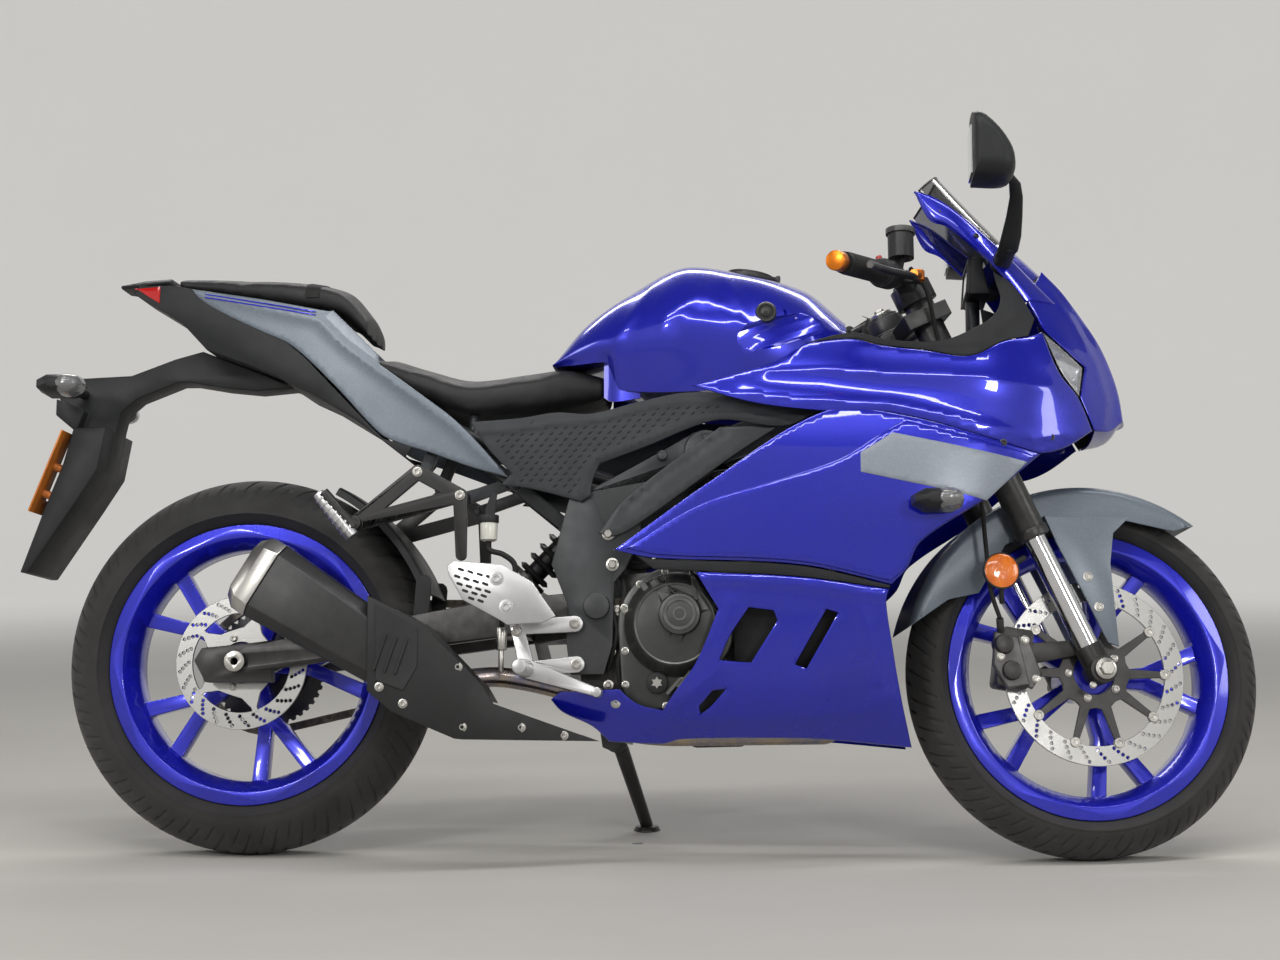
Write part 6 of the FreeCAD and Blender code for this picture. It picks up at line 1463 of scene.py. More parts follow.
@dataclass(frozen=True)
class Seats(Assembly):
    """Two stuffed seats, swollen by a cloth simulation from slightly smaller forms."""

    voxel: float = 0.006
    pressure: float = 4.0
    stiffness: float = 25.0
    frames: int = 20
    smooth_rounds: int = 6

    def build(self) -> None:
        """The rider's seat and the passenger's."""
        self._pad("rider_pad", "rider_seat", RIDER_SEAT, 5)
        self._pad("pillion_pad", "pillion_seat", PILLION_SEAT, 4)

    def _pad(self, name: str, node: str, stations: Sequence[tuple], cap: float) -> None:
        """Make one seat.

        Args:
            name: The piece's name.
            node: The CAD node that it stands for.
            stations: The seat's table.
            cap: How far a point may swell, in millimetres.
        """
        rows = [(x, ((0, low + 2), (wide * 0.91, low + 2), (wide * 0.965, (low + edge) / 2),
                     (wide * 0.84, edge - 3), (0, crest - 3))) for x, wide, crest, edge, low in stations]
        piece = body_of_sections(rows, 8.0).moved(FRAMES[Body.CHASSIS]).thing(name)
        remesh = piece.modifiers.new("remesh", "REMESH")
        remesh.mode = "VOXEL"
        remesh.voxel_size = self.voxel
        applied(piece)
        self._swell(piece, cap * 0.001)
        soften = piece.modifiers.new("soften", "SMOOTH")
        soften.factor, soften.iterations = 0.5, self.smooth_rounds
        fine = piece.modifiers.new("fine", "SUBSURF")
        fine.levels = fine.render_levels = 1
        applied(piece)
        finished(piece, Body.CHASSIS, Look.LEATHER, (node,), 60)

    def _swell(self, piece: bpy.types.Object, limit: float) -> None:
        """Blow a mesh up as cloth with pressure, and hold back what goes past a limit in metres."""
        scene = bpy.context.scene
        start = np.array([vert.co for vert in piece.data.vertices])
        cloth = piece.modifiers.new("swell", "CLOTH")
        cloth.settings.use_pressure = True
        cloth.settings.uniform_pressure_force = self.pressure
        cloth.settings.effector_weights.gravity = 0
        cloth.settings.quality = 4
        cloth.settings.tension_stiffness = cloth.settings.compression_stiffness = self.stiffness
        cloth.point_cache.frame_start, cloth.point_cache.frame_end = 1, self.frames
        for number in range(1, self.frames + 1):
            scene.frame_set(number)
        shown = piece.evaluated_get(bpy.context.evaluated_depsgraph_get())
        ended = np.array([vert.co for vert in shown.to_mesh().vertices])
        shown.to_mesh_clear()
        piece.modifiers.clear()
        scene.frame_set(1)
        move = ended - start
        length = np.linalg.norm(move, axis=1)
        move *= (limit * np.tanh(length / limit) / np.maximum(length, 1e-9))[:, None]
        piece.data.vertices.foreach_set("co", (start + move).ravel())
        piece.data.update()


@dataclass(frozen=True)
class Screen(Assembly):
    """The smoked screen with its bridge and rim, and the lamps behind their lenses."""

    lines: int = 25
    wall: float = 1.7
    bridge_wall: float = 1.6
    bridge_rows: int = 10
    rim_radius: float = 2.0

    def build(self) -> None:
        """The sheet, the bridge at its foot, its rim and the headlights."""
        shares = np.linspace(-1, 1, self.lines)
        stations = [[(cx + (ex - cx) * t * t, t * ey, cz + (ez - cz) * t * t) for t in shares]
                    for (cx, cz), (ex, ey, ez) in SCREEN]
        lines = [smooth_path([row[index] for row in stations], 12) for index in range(self.lines)]
        sheet, bridge = [], []
        for step in range(len(lines[0])):
            outer = [line[step] for line in lines]
            sheet.append(outer + [spot + Vector((-self.wall, 0, -self.wall)) for spot in reversed(outer)])
        Mould().rings(sheet).done("screen_sheet", Look.SCREEN, "screen_smoke", ("windscreen",), smooth=50)
        for step in range(self.bridge_rows):
            lift = Vector((0.71, 0, 0.71)) * (3.2 - 3.4 * (step / (self.bridge_rows - 1)) ** 4)
            outer = [line[step] + lift for line in lines]
            inner = Vector((-self.bridge_wall, 0, -self.bridge_wall))
            bridge.append(outer + [spot + inner for spot in reversed(outer)])
        Mould().rings(bridge).done("nose_bridge", Look.BODY_BLUE, "body_blue", smooth=50)
        top = [line[-1] + Vector((-1, 0, -1)) for line in lines]
        Mould().tube(top, self.rim_radius, 8).done("screen_rim", Look.BLACK_PLASTIC, "black_plastic")
        covered("headlight_lens", Look.CLEAR_LENS, "lamp_clear", BODY_SKIN, (
            Panel(HEADLIGHT, proud=-0.6, thick=2.0, lip=1.2, pitch=5),), ("headlights",))
        covered("headlight_reflector", Look.REFLECTOR, "lamp_clear", BODY_SKIN, (Panel(
            ((1318, 838), (1376, 789), (1368, 745), (1344, 777), (1331, 802)), proud=-13, thick=3, lip=1, pitch=4,
            creases=(Crease(((1330, 800), (1378, 786)), 5, 13), Crease(((1343, 774), (1372, 752)), 5, 12))),))
        covered("headlight_recess", Look.BLACK_PLASTIC, "black_plastic", BODY_SKIN, (
            Panel(((1306, 856), (1392, 796), (1380, 736), (1352, 740), (1322, 800)), proud=-17, thick=4, lip=1,
                  pitch=9),
            Panel(((1366, 742), (1384, 792), (1412, 700), (1396, 684)), proud=-7, thick=4, lip=1, pitch=7)))


# Wheels.


@dataclass(frozen=True)
class Tread:
    """One tyre with its slanted grooves, each groove's walls on the mesh's own lines."""

    body: Body
    node: str
    radius: float
    crown: float
    bead: float
    pitches: int = 40
    groove: float = 2.6

    def _profile(self) -> list[tuple[float, float, int]]:
        """The section, as radius, y and side."""
        edge = math.radians(76)
        side, foot = self.crown * math.sin(edge), self.radius - self.crown
        half = [(218.4, self.bead - 2), (226, self.bead - 0.6), (234.5, self.bead + 0.3), (237, self.bead + 4.5),
                (240.5, self.bead + 10), (246, min(side, self.bead + 14.5)), (249.6, side * 0.985),
                (250.6, side * 0.995 + 0.7), (251.8, side * 0.997), (foot + self.crown * math.cos(edge) - 0.6, side)]
        for turn in np.arange(70, 0, -3.6):
            half.append((foot + self.crown * math.cos(math.radians(turn)),
                         self.crown * math.sin(math.radians(turn))))
        return ([(r, -y, RIGHT) for r, y in half] + [(self.radius, 0.0, 0)]
                + [(r, y, LEFT) for r, y in reversed(half)])

    def _drop(self, r: float, turn: float, way: int, column: int) -> float:
        """How deep a point of the tread lies in a groove."""
        if not way or r < self.radius - self.crown + self.crown * math.cos(math.radians(70.5)):
            return 0.0
        own, other = {LEFT: ((2, 3), (7, 8)), RIGHT: ((7, 8), (2, 3))}[way]
        cut = (14 < turn < 56 and column in own) or ((38 < turn < 66 or 4 < turn < 19) and column in other)
        return self.groove if cut else 0.0

    def build(self) -> None:
        """Make the tyre."""
        shares = (0.0, 0.10, 0.13, 0.20, 0.23, 0.42, 0.60, 0.63, 0.70, 0.73)
        profile = self._profile()
        rows = []
        for pitch in range(self.pitches):
            for column, share in enumerate(shares):
                row = []
                for r, y, way in profile:
                    on_crown = r > self.radius - self.crown
                    turn = math.degrees(math.asin(min(1, abs(y) / self.crown))) if on_crown else 90
                    reach = r - self._drop(r, turn, way, column)
                    angle = 2 * math.pi * (pitch + share + min(turn, 70) / 70 * 0.9) / self.pitches
                    row.append((reach * math.cos(angle), y, reach * math.sin(angle)))
                rows.append(row)
        Mould(self.body).rings(rows, round_again=True).done(
            self.node + "_tread", Look.TYRE, "tyre_rubber", (self.node,), smooth=40)


def circle(radius: float, sides: int, centre: Flat = (0.0, 0.0)) -> list[Flat]:
    """A round outline."""
    return [(centre[0] + radius * math.cos(turn), centre[1] + radius * math.sin(turn)) for turn in turns(sides)]


@dataclass(frozen=True)
class Disc:
    """A drilled brake disc's band with the star that carries it."""

    body: Body
    node: str
    outer: float
    inner: float
    plane: float
    groups: int
    hub_y: float
    reach: float
    arms: int
    look: Look
    slot: str
    across: int = 4
    hub: float = 42.0
    hole: float = 2.9

    def band(self) -> None:
        """The drilled band."""
        holes = [circle(self.inner, 90)]
        for group in range(self.groups):
            for step in range(self.across):
                reach = self.inner + 6 + (self.outer - self.inner - 12) * step / (self.across - 1)
                turn = 2 * math.pi * (group + 0.75 * step / self.across) / self.groups
                holes.append(circle(self.hole, 10, (reach * math.cos(turn), reach * math.sin(turn))))
        Mould(self.body).plate(circle(self.outer, 144), -self.plane - 2.3, -self.plane + 2.3, holes, 0.5).done(
            self.node + "_band", Look.DISC_STEEL, "disc_steel", (self.node,), smooth=30)

    def carrier(self) -> None:
        """The star between the hub's flange and the band."""
        loop = []
        thin = 5.5 / self.reach * self.arms / 6.28
        for arm in range(self.arms):
            for turn, radius in ((-0.5, self.hub + 14), (-0.22, self.hub + 17), (-thin, self.reach - 9),
                                 (-thin, self.reach), (thin, self.reach), (thin, self.reach - 9),
                                 (0.22, self.hub + 17)):
                angle = 2 * math.pi * arm / self.arms + turn * 2 * math.pi / self.arms
                loop.append((radius * math.cos(angle), radius * math.sin(angle)))
        star = Mould(self.body).plate(loop, -self.plane - 2.6, -self.plane + 2.6, [circle(self.hub - 8, 48)], 0.7)
        star.turned([(self.hub - 8, -self.plane + 2), (self.hub + 10, -self.plane + 2), (self.hub + 8, -self.hub_y),
                     (self.hub - 8, -self.hub_y)], 64)
        star.done(self.node + "_carrier", self.look, self.slot, smooth=32)


class Wheels(Assembly):
    """Tyres, rims, discs, carriers and what bolts them."""

    treads = (Tread(Body.FRONT_WHEEL, "front_tyre", 293, 57, 38), Tread(Body.REAR_WHEEL, "rear_tyre", 314, 72, 50))
    discs = (Disc(Body.FRONT_WHEEL, "front_disc", 149, 117, 65, 28, 58, 121, 10, Look.BLACK_METAL, "black_metal"),
             Disc(Body.REAR_WHEEL, "rear_disc", 110, 82, 86, 24, 66, 86, 5, Look.DISC_STEEL, "disc_steel"))

    def build(self) -> None:
        """Build both wheels."""
        for tread in self.treads:
            tread.build()
        for body, node in ((Body.FRONT_WHEEL, "front_rim"), (Body.REAR_WHEEL, "rear_rim")):
            dressed(node, Look.WHEEL_BLUE, 1.5, body)
        for disc in self.discs:
            disc.band()
        for disc in self.discs:
            disc.carrier()
        bobbin = lathe(((-4, 8.4), (4.2, 8.4), (4.9, 7.6), (4.9, 4.6), (3.4, 4.2), (3.2, 0.1)), 20)
        SCATTER.place("front_disc_bobbins", around(10, 117, -65), bobbin, body=Body.FRONT_WHEEL)
        for disc in self.discs:
            SCATTER.place(disc.node + "_bolts", around(5, disc.hub, -disc.plane - 2.6, 36), bolt_seed(5, 4),
                          body=disc.body)


@dataclass(frozen=True)
class Chain(Assembly):
    """The drive chain's links round both sprockets."""

    rear: Point = (0, 92, 314)
    front: Point = (655, 92, 392)
    pitch: float = 15.875
    rear_teeth: int = 43
    front_teeth: int = 14
    plate_radius: float = 6.4
    plate: float = 1.8

    def _run(self) -> list[tuple[Point, Point]]:
        """Each link's middle and the way that it runs."""
        rear, front = Vector(self.rear), Vector(self.front)
        big, small = (self.pitch / 2 / math.sin(math.pi / teeth) for teeth in (self.rear_teeth, self.front_teeth))
        reach = (front - rear).length
        heading = math.atan2(front.z - rear.z, front.x - rear.x)
        lean = math.acos((big - small) / reach)
        straight = math.sqrt(reach ** 2 - (big - small) ** 2)
        bend = small * 2 * lean
        total = 2 * straight + big * (2 * math.pi - 2 * lean) + bend
        count = int(round(total / self.pitch / 2)) * 2
        spots = []
        for index in range(count):
            run = total * index / count
            if run < straight:
                middle, radius, turn, past = rear, big, heading + lean, run
            elif run < straight + bend:
                middle, radius, turn, past = front, small, heading + lean - (run - straight) / small, 0
            elif run < 2 * straight + bend:
                middle, radius, turn, past = front, small, heading - lean, run - straight - bend
            else:
                middle, radius, turn, past = rear, big, heading - lean - (run - 2 * straight - bend) / big, 0
            tangent = Vector((math.sin(turn), 0, -math.cos(turn)))
            spot = middle + Vector((math.cos(turn), 0, math.sin(turn))) * radius + tangent * past
            spots.append((tuple(spot), tuple(tangent)))
        return spots

    def build(self) -> None:
        """Set the outer and inner links in turn along the run."""
        spots = self._run()
        half = 7.94
        loop = [(math.sin(start + turn) * self.plate_radius, along + math.cos(start + turn) * self.plate_radius)
                for along, start in ((half, -math.pi / 2), (-half, math.pi / 2))
                for turn in np.linspace(0, math.pi, 7)]
        for name, wide, parity, barrel, nodes in (("chain_outer_links", 6.4, 0, 3.2, ("drive_chain",)),
                                                  ("chain_inner_links", 4.6, 1, 5.0, ())):
            link = Mould()
            for side in SIDES:
                link.plate(loop, side * wide, side * (wide - self.plate))
            for along in (-half, half):
                link.rod((0, -wide, along), (0, wide, along), barrel, sides=12)
            SCATTER.place(name, spots[parity::2], link, Look.CHAIN, "chain_steel", Body.CHASSIS, nodes, "Y")


# Small pieces.


@dataclass(frozen=True)
class Engine(Assembly):
    """The covers' rings, ribs, lug, oil cap and bolts, the cylinder's fins and the hoses."""

    clutch: Point = (722, 0, 372)
    badge: Point = (730, 0, 387)
    oil_cap: Flat = (692, 279)
    generator: Point = (742, 0, 352)
    fins: int = 7
    fin_half: float = 2.2

    def build(self) -> None:
        """Dress the engine."""
        self._covers()
        self._bolts()
        Mould().turned([(20, 158), (46, 158), (47, 157), (47, 155), (20, 155)], 56, self.generator).done(
            "generator_cover_ring", Look.COVER_DARK, "cover_dark")
        fins = Mould()
        for step in range(self.fins):
            share = (step + 0.6) / (self.fins + 0.4)
            a = Vector((716, 0, 455)).lerp(Vector((780, 0, 640)), share)
            b = Vector((852, 0, 436)).lerp(Vector((908, 0, 596)), share)
            half = self.fin_half
            for side in SIDES:
                fins.plate(((a.x + 4, a.z - half), (b.x - 4, b.z - half), (b.x - 4, b.z + half),
                            (a.x + 4, a.z + half)), side * 95, side * 103, edge=0.8)
        fins.done("cylinder_fins", Look.ENGINE_DARK, "engine_dark")
        lines = Mould()
        for radius, path in (
                (4.4, ((628, -119, 462), (638, -127, 430), (634, -130, 396), (641, -131, 350), (628, -128, 312),
                       (634, -122, 262))),
                (3.4, ((604, -128, 470), (622, -133, 440), (618, -134, 400), (626, -133, 360), (612, -124, 300))),
                (7.5, ((560, -60, 470), (600, -84, 500), (650, -100, 470), (700, -98, 480)))):
            lines.tube(smooth_path(path, 8), radius)
        lines.done("engine_hoses", Look.RUBBER, "grip_rubber")

    def _covers(self) -> None:
        """The ribs and rings of the clutch cover, and the oil cap."""
        ribs = Mould()
        ribs.turned([(21, -181.6), (26, -181.6), (27, -180.4), (27, -179), (21, -179)], 48, self.badge)
        ribs.turned([(8, -180.8), (11, -180.8), (11, -179), (8, -179)], 32, self.badge)
        ribs.plate(((760, 404), (784, 400), (786, 376), (762, 374)), -167, -152,
                   [((768, 396), (778, 394), (778, 383), (768, 382))], 1.5)
        for number in range(3):
            x, z = 762 - number * 17, 310 - number * 11
            ribs.plate(((x, z), (x + 5, z - 4), (x - 17, z - 30), (x - 22, z - 26)), -158, -130, edge=1.2)
        for number in range(2):
            x, z = 662 + number * 20, 436 + number * 10
            ribs.plate(((x, z), (x + 10, z + 5), (x + 30, z - 22), (x + 20, z - 26)), -156, -132, edge=1.2)
        ribs.turned([(62, -169.2), (64.5, -170.6), (66, -168.6), (62, -166)], 72, self.clutch)
        ribs.done("clutch_cover_ribs", Look.COVER_DARK, "cover_dark")
        x, z = self.oil_cap
        Mould().turned([(2, -146), (13, -146), (17, -144), (18, -136), (2, -136)], 32, (x, 0, z)).done(
            "oil_cap_rim", Look.BLACK_PLASTIC, "black_plastic")
        star = [(x + reach * math.cos(turn), z + reach * math.sin(turn))
                for turn, reach in zip(turns(12), (6.5, 10.5) * 6)]
        Mould().plate(star, -148.4, -145.5, edge=0.8).done("oil_cap_star", Look.ZINC, "axle_steel")

    def _bolts(self) -> None:
        """The covers' bolts."""
        x, _, z = self.clutch
        arc = [(x + 88 * math.cos(math.radians(turn)), 138, z + 88 * math.sin(math.radians(turn)))
               for turn in (12, 42, 72, 102, 132, 162)]
        rest = [(641, 138, 396), (640, 138, 330), (641, 138, 276), (706, 138, 242), (732, 138, 282)]
        side_bolts("cover_edge_bolts", arc + rest, bolt_seed(4.6, 4.5), sides=(RIGHT,))
        side_bolts("cover_silver_bolts", [(626, 128, 396), (616, 124, 330), (612, 124, 276)], hex_seed(5.2, 6),
                   sides=(RIGHT,))
        x, _, z = self.generator
        ring = [(x + 80 * math.cos(turn), 145.5, z + 80 * math.sin(turn)) for turn in turns(9)]
        side_bolts("generator_cover_bolts", ring + [(640, 124, 432), (618, 124, 402), (640, 124, 336)],
                   bolt_seed(4.6, 4.5), sides=(LEFT,))


@dataclass(frozen=True)
class FrameFittings(Assembly):
    """Bolts and plugs of the frame and its brackets, the fairing's ducts and the tank's skirts."""

    lug_depth: float = 141.4
    rearset_depth: float = 150.4
    pillion_depth: float = 136.2
    pivot: Point = (593, 0, 403)

    def build(self) -> None:
        """Dress the frame."""
        steel, black = (Look.ZINC, "axle_steel"), (Look.BLACK_METAL, "black_metal")
        for name, spots, seed, paint in (
                ("frame_lug_bolts", [(612, self.lug_depth, 519), (619, self.lug_depth, 469)], hex_seed(7.5, 6.5),
                 steel),
                ("rearset_bolts", [(x, self.rearset_depth, z) for x, z in ((560, 373), (563, 308), (466, 361))],
                 bolt_seed(7.0, 4.5, 2.0), steel),
                ("pillion_bolts", [(297, self.pillion_depth, 623), (368, self.pillion_depth, 584)],
                 bolt_seed(6.2, 4.5, 2.0), steel)):
            side_bolts(name, spots, seed, *paint)
        plug = Mould()
        for side in SIDES:
            plug.turned([(r, side * y) for r, y in ((3, 147), (9, 147), (9.6, 145), (13.5, 145), (14.5, 148.5),
                                                    (17, 148.5), (18.5, 147), (19, 140), (3, 140))], 40, self.pivot)
        plug.done("pivot_plugs", Look.BLACK_PLASTIC, "black_plastic")
        side_bolts("knee_cover_screws", [(398, 131.4, 690)], bolt_seed(5.5, 2.5, 2.0), *black)
        side_bolts("fairing_bolts", [self._on_skin(627, 246)], bolt_seed(5.4, 2.6, 2.4))
        side_bolts("fairing_fixings", [self._on_skin(1242, 655), self._on_skin(1320, 668)], bolt_seed(4, 2, 1.6),
                   *black)
        covered("fairing_ducts", Look.BLACK_PLASTIC, "black_plastic", BODY_SKIN, (
            Panel(((815, 296), (1012, 286), (1020, 412), (815, 416)), proud=-40, thick=3, pitch=14),))
        stations = ((598, 88, 816, 752), (606, 94, 820, 746), (616, 99, 824, 743), (632, 103, 828, 744),
                    (660, 106, 828, 748))
        Mould().rings([((x, y, high), (x, y, (high + low) / 2), (x, y - 1.5, low), (x, y - 6, low),
                        (x, y - 4, high)) for x, y, high, low in stations]).mirrored().done(
            "tank_skirts", Look.BODY_BLUE, "tank_blue")

    @staticmethod
    def _on_skin(x: float, z: float) -> Point:
        """A bolt's place on the body's skin."""
        return x, float(BODY_SKIN.width(x, z)) - 0.3, z


def capsule(x: float, z: float, long: float, radius: float, lean: float) -> list[Flat]:
    """A slot's outline about its middle."""
    way, across = (math.cos(lean), math.sin(lean)), (-math.sin(lean), math.cos(lean))
    loop = []
    for sign in (1, -1):
        for turn in np.linspace(-math.pi / 2, math.pi / 2, 6):
            a = sign * (long / 2 - radius + radius * math.cos(turn))
            b = sign * radius * math.sin(turn)
            loop.append((x + way[0] * a + across[0] * b, z + way[1] * a + across[1] * b))
    return loop


@dataclass(frozen=True)
class FootControls(Assembly):
    """Heel plate slots and bolts, the rear brake's reservoir, hose and cylinder, and the pegs' ribs."""

    pot: Point = (419, -152, 506)
    cylinder: Flat = (443, -162)
    heel_plane: float = 208.0
    peg_ribs: int = 9
    grip_steps: int = 7

    def build(self) -> None:
        """Dress the foot controls."""
        slots = Mould()
        for x, z, count in ((384, 457, 4), (378, 446, 4), (382, 434, 4), (391, 423, 3), (401, 411, 2)):
            for number in range(count):
                loop = capsule(x + number * 15, z - number * 4 - 2, 11, 2.2, -0.35)
                for side in SIDES:
                    slots.plate(loop, side * self.heel_plane, side * (self.heel_plane + 2.35))
        slots.done("heel_plate_slots", Look.DASH_PLASTIC, "black_plastic")
        side_bolts("heel_plate_bolts", [(441, 209.6, 441), (457, 209.6, 396)], bolt_seed(7.5, 3.2, 4.0),
                   Look.SILVER, "rearset_silver")
        self._rear_brake()
        ribs, pegs = Mould(), Mould()
        for number in range(self.peg_ribs):
            for side in SIDES:
                ribs.plate(circle(14.2 - number * 0.22, 24, (484, 300)), side * (170 + number * 9),
                           side * (174 + number * 9), edge=0.8)
        ribs.done("foot_peg_ribs", Look.SILVER, "rearset_silver")
        for side in SIDES:
            start, end = Vector((194, side * 147, 516)), Vector((137, side * 155, 586))
            along = (end - start).normalized()
            pegs.rod(start, end, 11.8, 9.8, round_off=1.5)
            for number in range(self.grip_steps):
                spot = start.lerp(end, 0.14 + number * 0.12)
                pegs.rod(spot, spot + along * 3.4, 13.2 - number * 0.3, sides=20)
        pegs.done("pillion_peg_grips", Look.SILVER, "rearset_silver")

    def _rear_brake(self) -> None:
        """The reservoir with its cap, its hose and the cylinder."""
        x, y, z = self.pot
        Mould().spun([((x, y, z + up), radius) for up, radius in ((0, 9), (3, 13.5), (27, 14.5), (30, 14))],
                     Vector((0, 0, 1))).done("rear_brake_pot", Look.POT, "lamp_clear")
        cap = Mould().rod((x, y, z + 30), (x, y, z + 43), 16, round_off=1.5, sides=24)
        cap.plate(((412, 548), (426, 548), (430, 586), (422, 590), (410, 560)), -142, -138, edge=0.8)
        cap.rod((x, y, z + 35), (x, -139, z + 35), 4)
        cap.done("rear_brake_cap", Look.BLACK_PLASTIC, "black_plastic")
        Mould().tube(smooth_path([(419, -152, 507), (421, -153, 492), (444, -157, 484), (463, -160, 466),
                                  (460, -162, 430), (446, -162, 392), (443, -162, 362)], 8), 4.6).done(
            "rear_brake_hose", Look.RUBBER, "grip_rubber")
        x, y = self.cylinder
        cylinder = Mould().rod((x, y, 366), (x, y, 330), 9, round_off=1.2)
        cylinder.rod((x, y, 332), (x, y, 296), 4.2, round_off=0.8)
        cylinder.rod((x, y, 352), (x, -151, 352), 5)
        cylinder.done("rear_brake_cylinder", Look.ZINC, "axle_steel")


@dataclass(frozen=True)
class Exhaust(Assembly):
    """Screws, clamps, the covers' step and the outlet's rim."""

    face: float = 238.0
    bend: float = 330.0
    outlet: Point = (72, -196, 428)

    def _depth(self, x: float) -> float:
        """How far out the cover's face stands."""
        return self.face if x <= self.bend else self.face - 70 * (x - self.bend) / 290

    def build(self) -> None:
        """Dress the exhaust."""
        spots = ((262, 268), (300, 242), (392, 206), (482, 206), (548, 194), (384, 300))
        side_bolts("exhaust_screws", [(x, self._depth(x) - 0.2, z) for x, z in spots], bolt_seed(5.2, 3, 2.2),
                   sides=(RIGHT,))
        step = Mould().plate(((252, 398), (290, 378), (322, 360), (322, 300), (300, 262), (256, 278)), -240.4, -237,
                             edge=1.2)
        for number in range(3):
            step.plate(capsule(262 + number * 17, 322 - number * 3, 60, 2.6, 1.25), -243, -239, edge=0.8)
        step.done("exhaust_cover_step", Look.BLACK_PLASTIC, "black_plastic")
        clamp = Mould()
        for spot, ahead in (((560, -119, 263), (48, -3, -20)), ((640, -98, 201), (20, 2, -2))):
            clamp.rod(spot, Vector(spot) + Vector(ahead).normalized() * 12, 18.6, sides=32, round_off=1)
        clamp.done("exhaust_clamps", Look.ZINC, "axle_steel")
        outlet, along = Vector(self.outlet), Vector((196, 0, -120)).normalized()
        rings = [(outlet - along * back, radius) for back, radius in ((46, 18.8), (46, 22), (43, 22.6), (40, 20))]
        Mould().spun(rings, along, caps=False).done("outlet_rim", Look.BRUSHED_STEEL, "cap_steel")


@dataclass(frozen=True)
class Fork(Assembly):
    """Collars, caps, reflectors, bolts, the caliper's bodies and the brake line of the steering."""

    half_track: float = 96.0
    reflector: Point = (1218, 118, 448)
    line_radius: float = 3.6

    def _leg(self, low: float, high: float, side: int) -> tuple[Point, Point]:
        """Two points up a fork leg."""
        return PARKING.fork(low, side * self.half_track), PARKING.fork(high, side * self.half_track)

    def build(self) -> None:
        """Dress the fork."""
        collars, caps = Mould(Body.STEERING), Mould(Body.STEERING)
        for side in SIDES:
            for low, high, radius in ((236, 252, 27.6), (470, 484, 27.0), (690, 704, 27.0)):
                collars.rod(*self._leg(low, high, side), radius, round_off=1.2, sides=36)
            caps.rod(*self._leg(705, 711, side), 20, round_off=1.2, sides=32)
            caps.rod(*self._leg(710, 718, side), 9, round_off=1, sides=6)
        collars.done("fork_collars", Look.BLACK_METAL, "black_metal")
        caps.done("fork_caps", Look.ZINC, "axle_steel")
        self._reflectors()
        for name, spots, seed in (
                ("fender_bolts", [(1369, 90.2, 447), (1385, 90.2, 398)], bolt_seed(5.6, 3, 2.4)),
                ("axle_heads", [(1380, 128.4, 293)], hex_seed(12, 9)),
                ("axle_pinch_bolts", [(1362, 112, 268)], bolt_seed(4.4, 4, 1.2))):
            side_bolts(name, spots, seed, body=Body.STEERING)
        caliper = Mould(Body.STEERING)
        for x, z, radius in ((1222, 332, 18), (1233, 290, 18)):
            caliper.rod((x, -92, z), (x, -113, z), radius, radius - 3, round_off=2.4)
        caliper.plate(((1208, 352), (1246, 344), (1262, 268), (1226, 262), (1204, 300)), -104, -92, edge=2.0)
        caliper.plate(((1246, 346), (1262, 350), (1284, 286), (1268, 262), (1256, 268)), -98, -88, edge=2.0)
        caliper.rod((1216, -106, 372), (1222, -88, 350), 6)
        caliper.done("front_caliper_bodies", Look.BLACK_METAL, "black_metal")
        side_bolts("caliper_bolts", [(1258, 98.4, 340), (1274, 98.4, 278), (1216, 104.4, 312)],
                   bolt_seed(5.2, 4, 1.6), body=Body.STEERING, sides=(RIGHT,))
        Mould(Body.STEERING).tube(smooth_path([
            (1068, -176, 930), (1098, -158, 900), (1120, -136, 830), (1146, -132, 740), (1172, -129, 640),
            (1190, -113, 560), (1197, -107, 489), (1203, -105, 420), (1216, -106, 374)], 8), self.line_radius).done(
            "front_brake_line", Look.RUBBER, "grip_rubber")

    def _reflectors(self) -> None:
        """The round side reflectors on their mounts."""
        glow, mount = Mould(Body.STEERING), Mould(Body.STEERING)
        x, depth, z = self.reflector
        lens = ((0.2, 4.6), (13, 4.2), (24, 3), (27.5, 1), (27.5, -3), (0.2, -3))
        cup = ((27.4, 1.6), (29.6, 1.2), (30, -3), (26, -6), (0.2, -6), (0.2, -2.4), (27.4, -2.4))
        for side in SIDES:
            glow.turned([(r, side * (depth + out)) for r, out in lens], 48, (x, 0, z))
            mount.turned([(r, side * (depth + out)) for r, out in cup], 48, (x, 0, z))
            mount.rod((x + 8, side * (depth - 5), z + 4), (1262, side * 100, 474), 5, round_off=0.8)
            mount.rod((x, side * (depth - 5), z - 20), (1222, side * 100, 398), 4, round_off=0.8)
        # The reflector lenses glow with painted light, a painted reflection, though they are no lamps.
        glow.done("side_reflectors", Look.AMBER_LENS, "lamp_amber", ("reflectors",))
        mount.done("reflector_mounts", Look.BLACK_PLASTIC, "black_plastic")


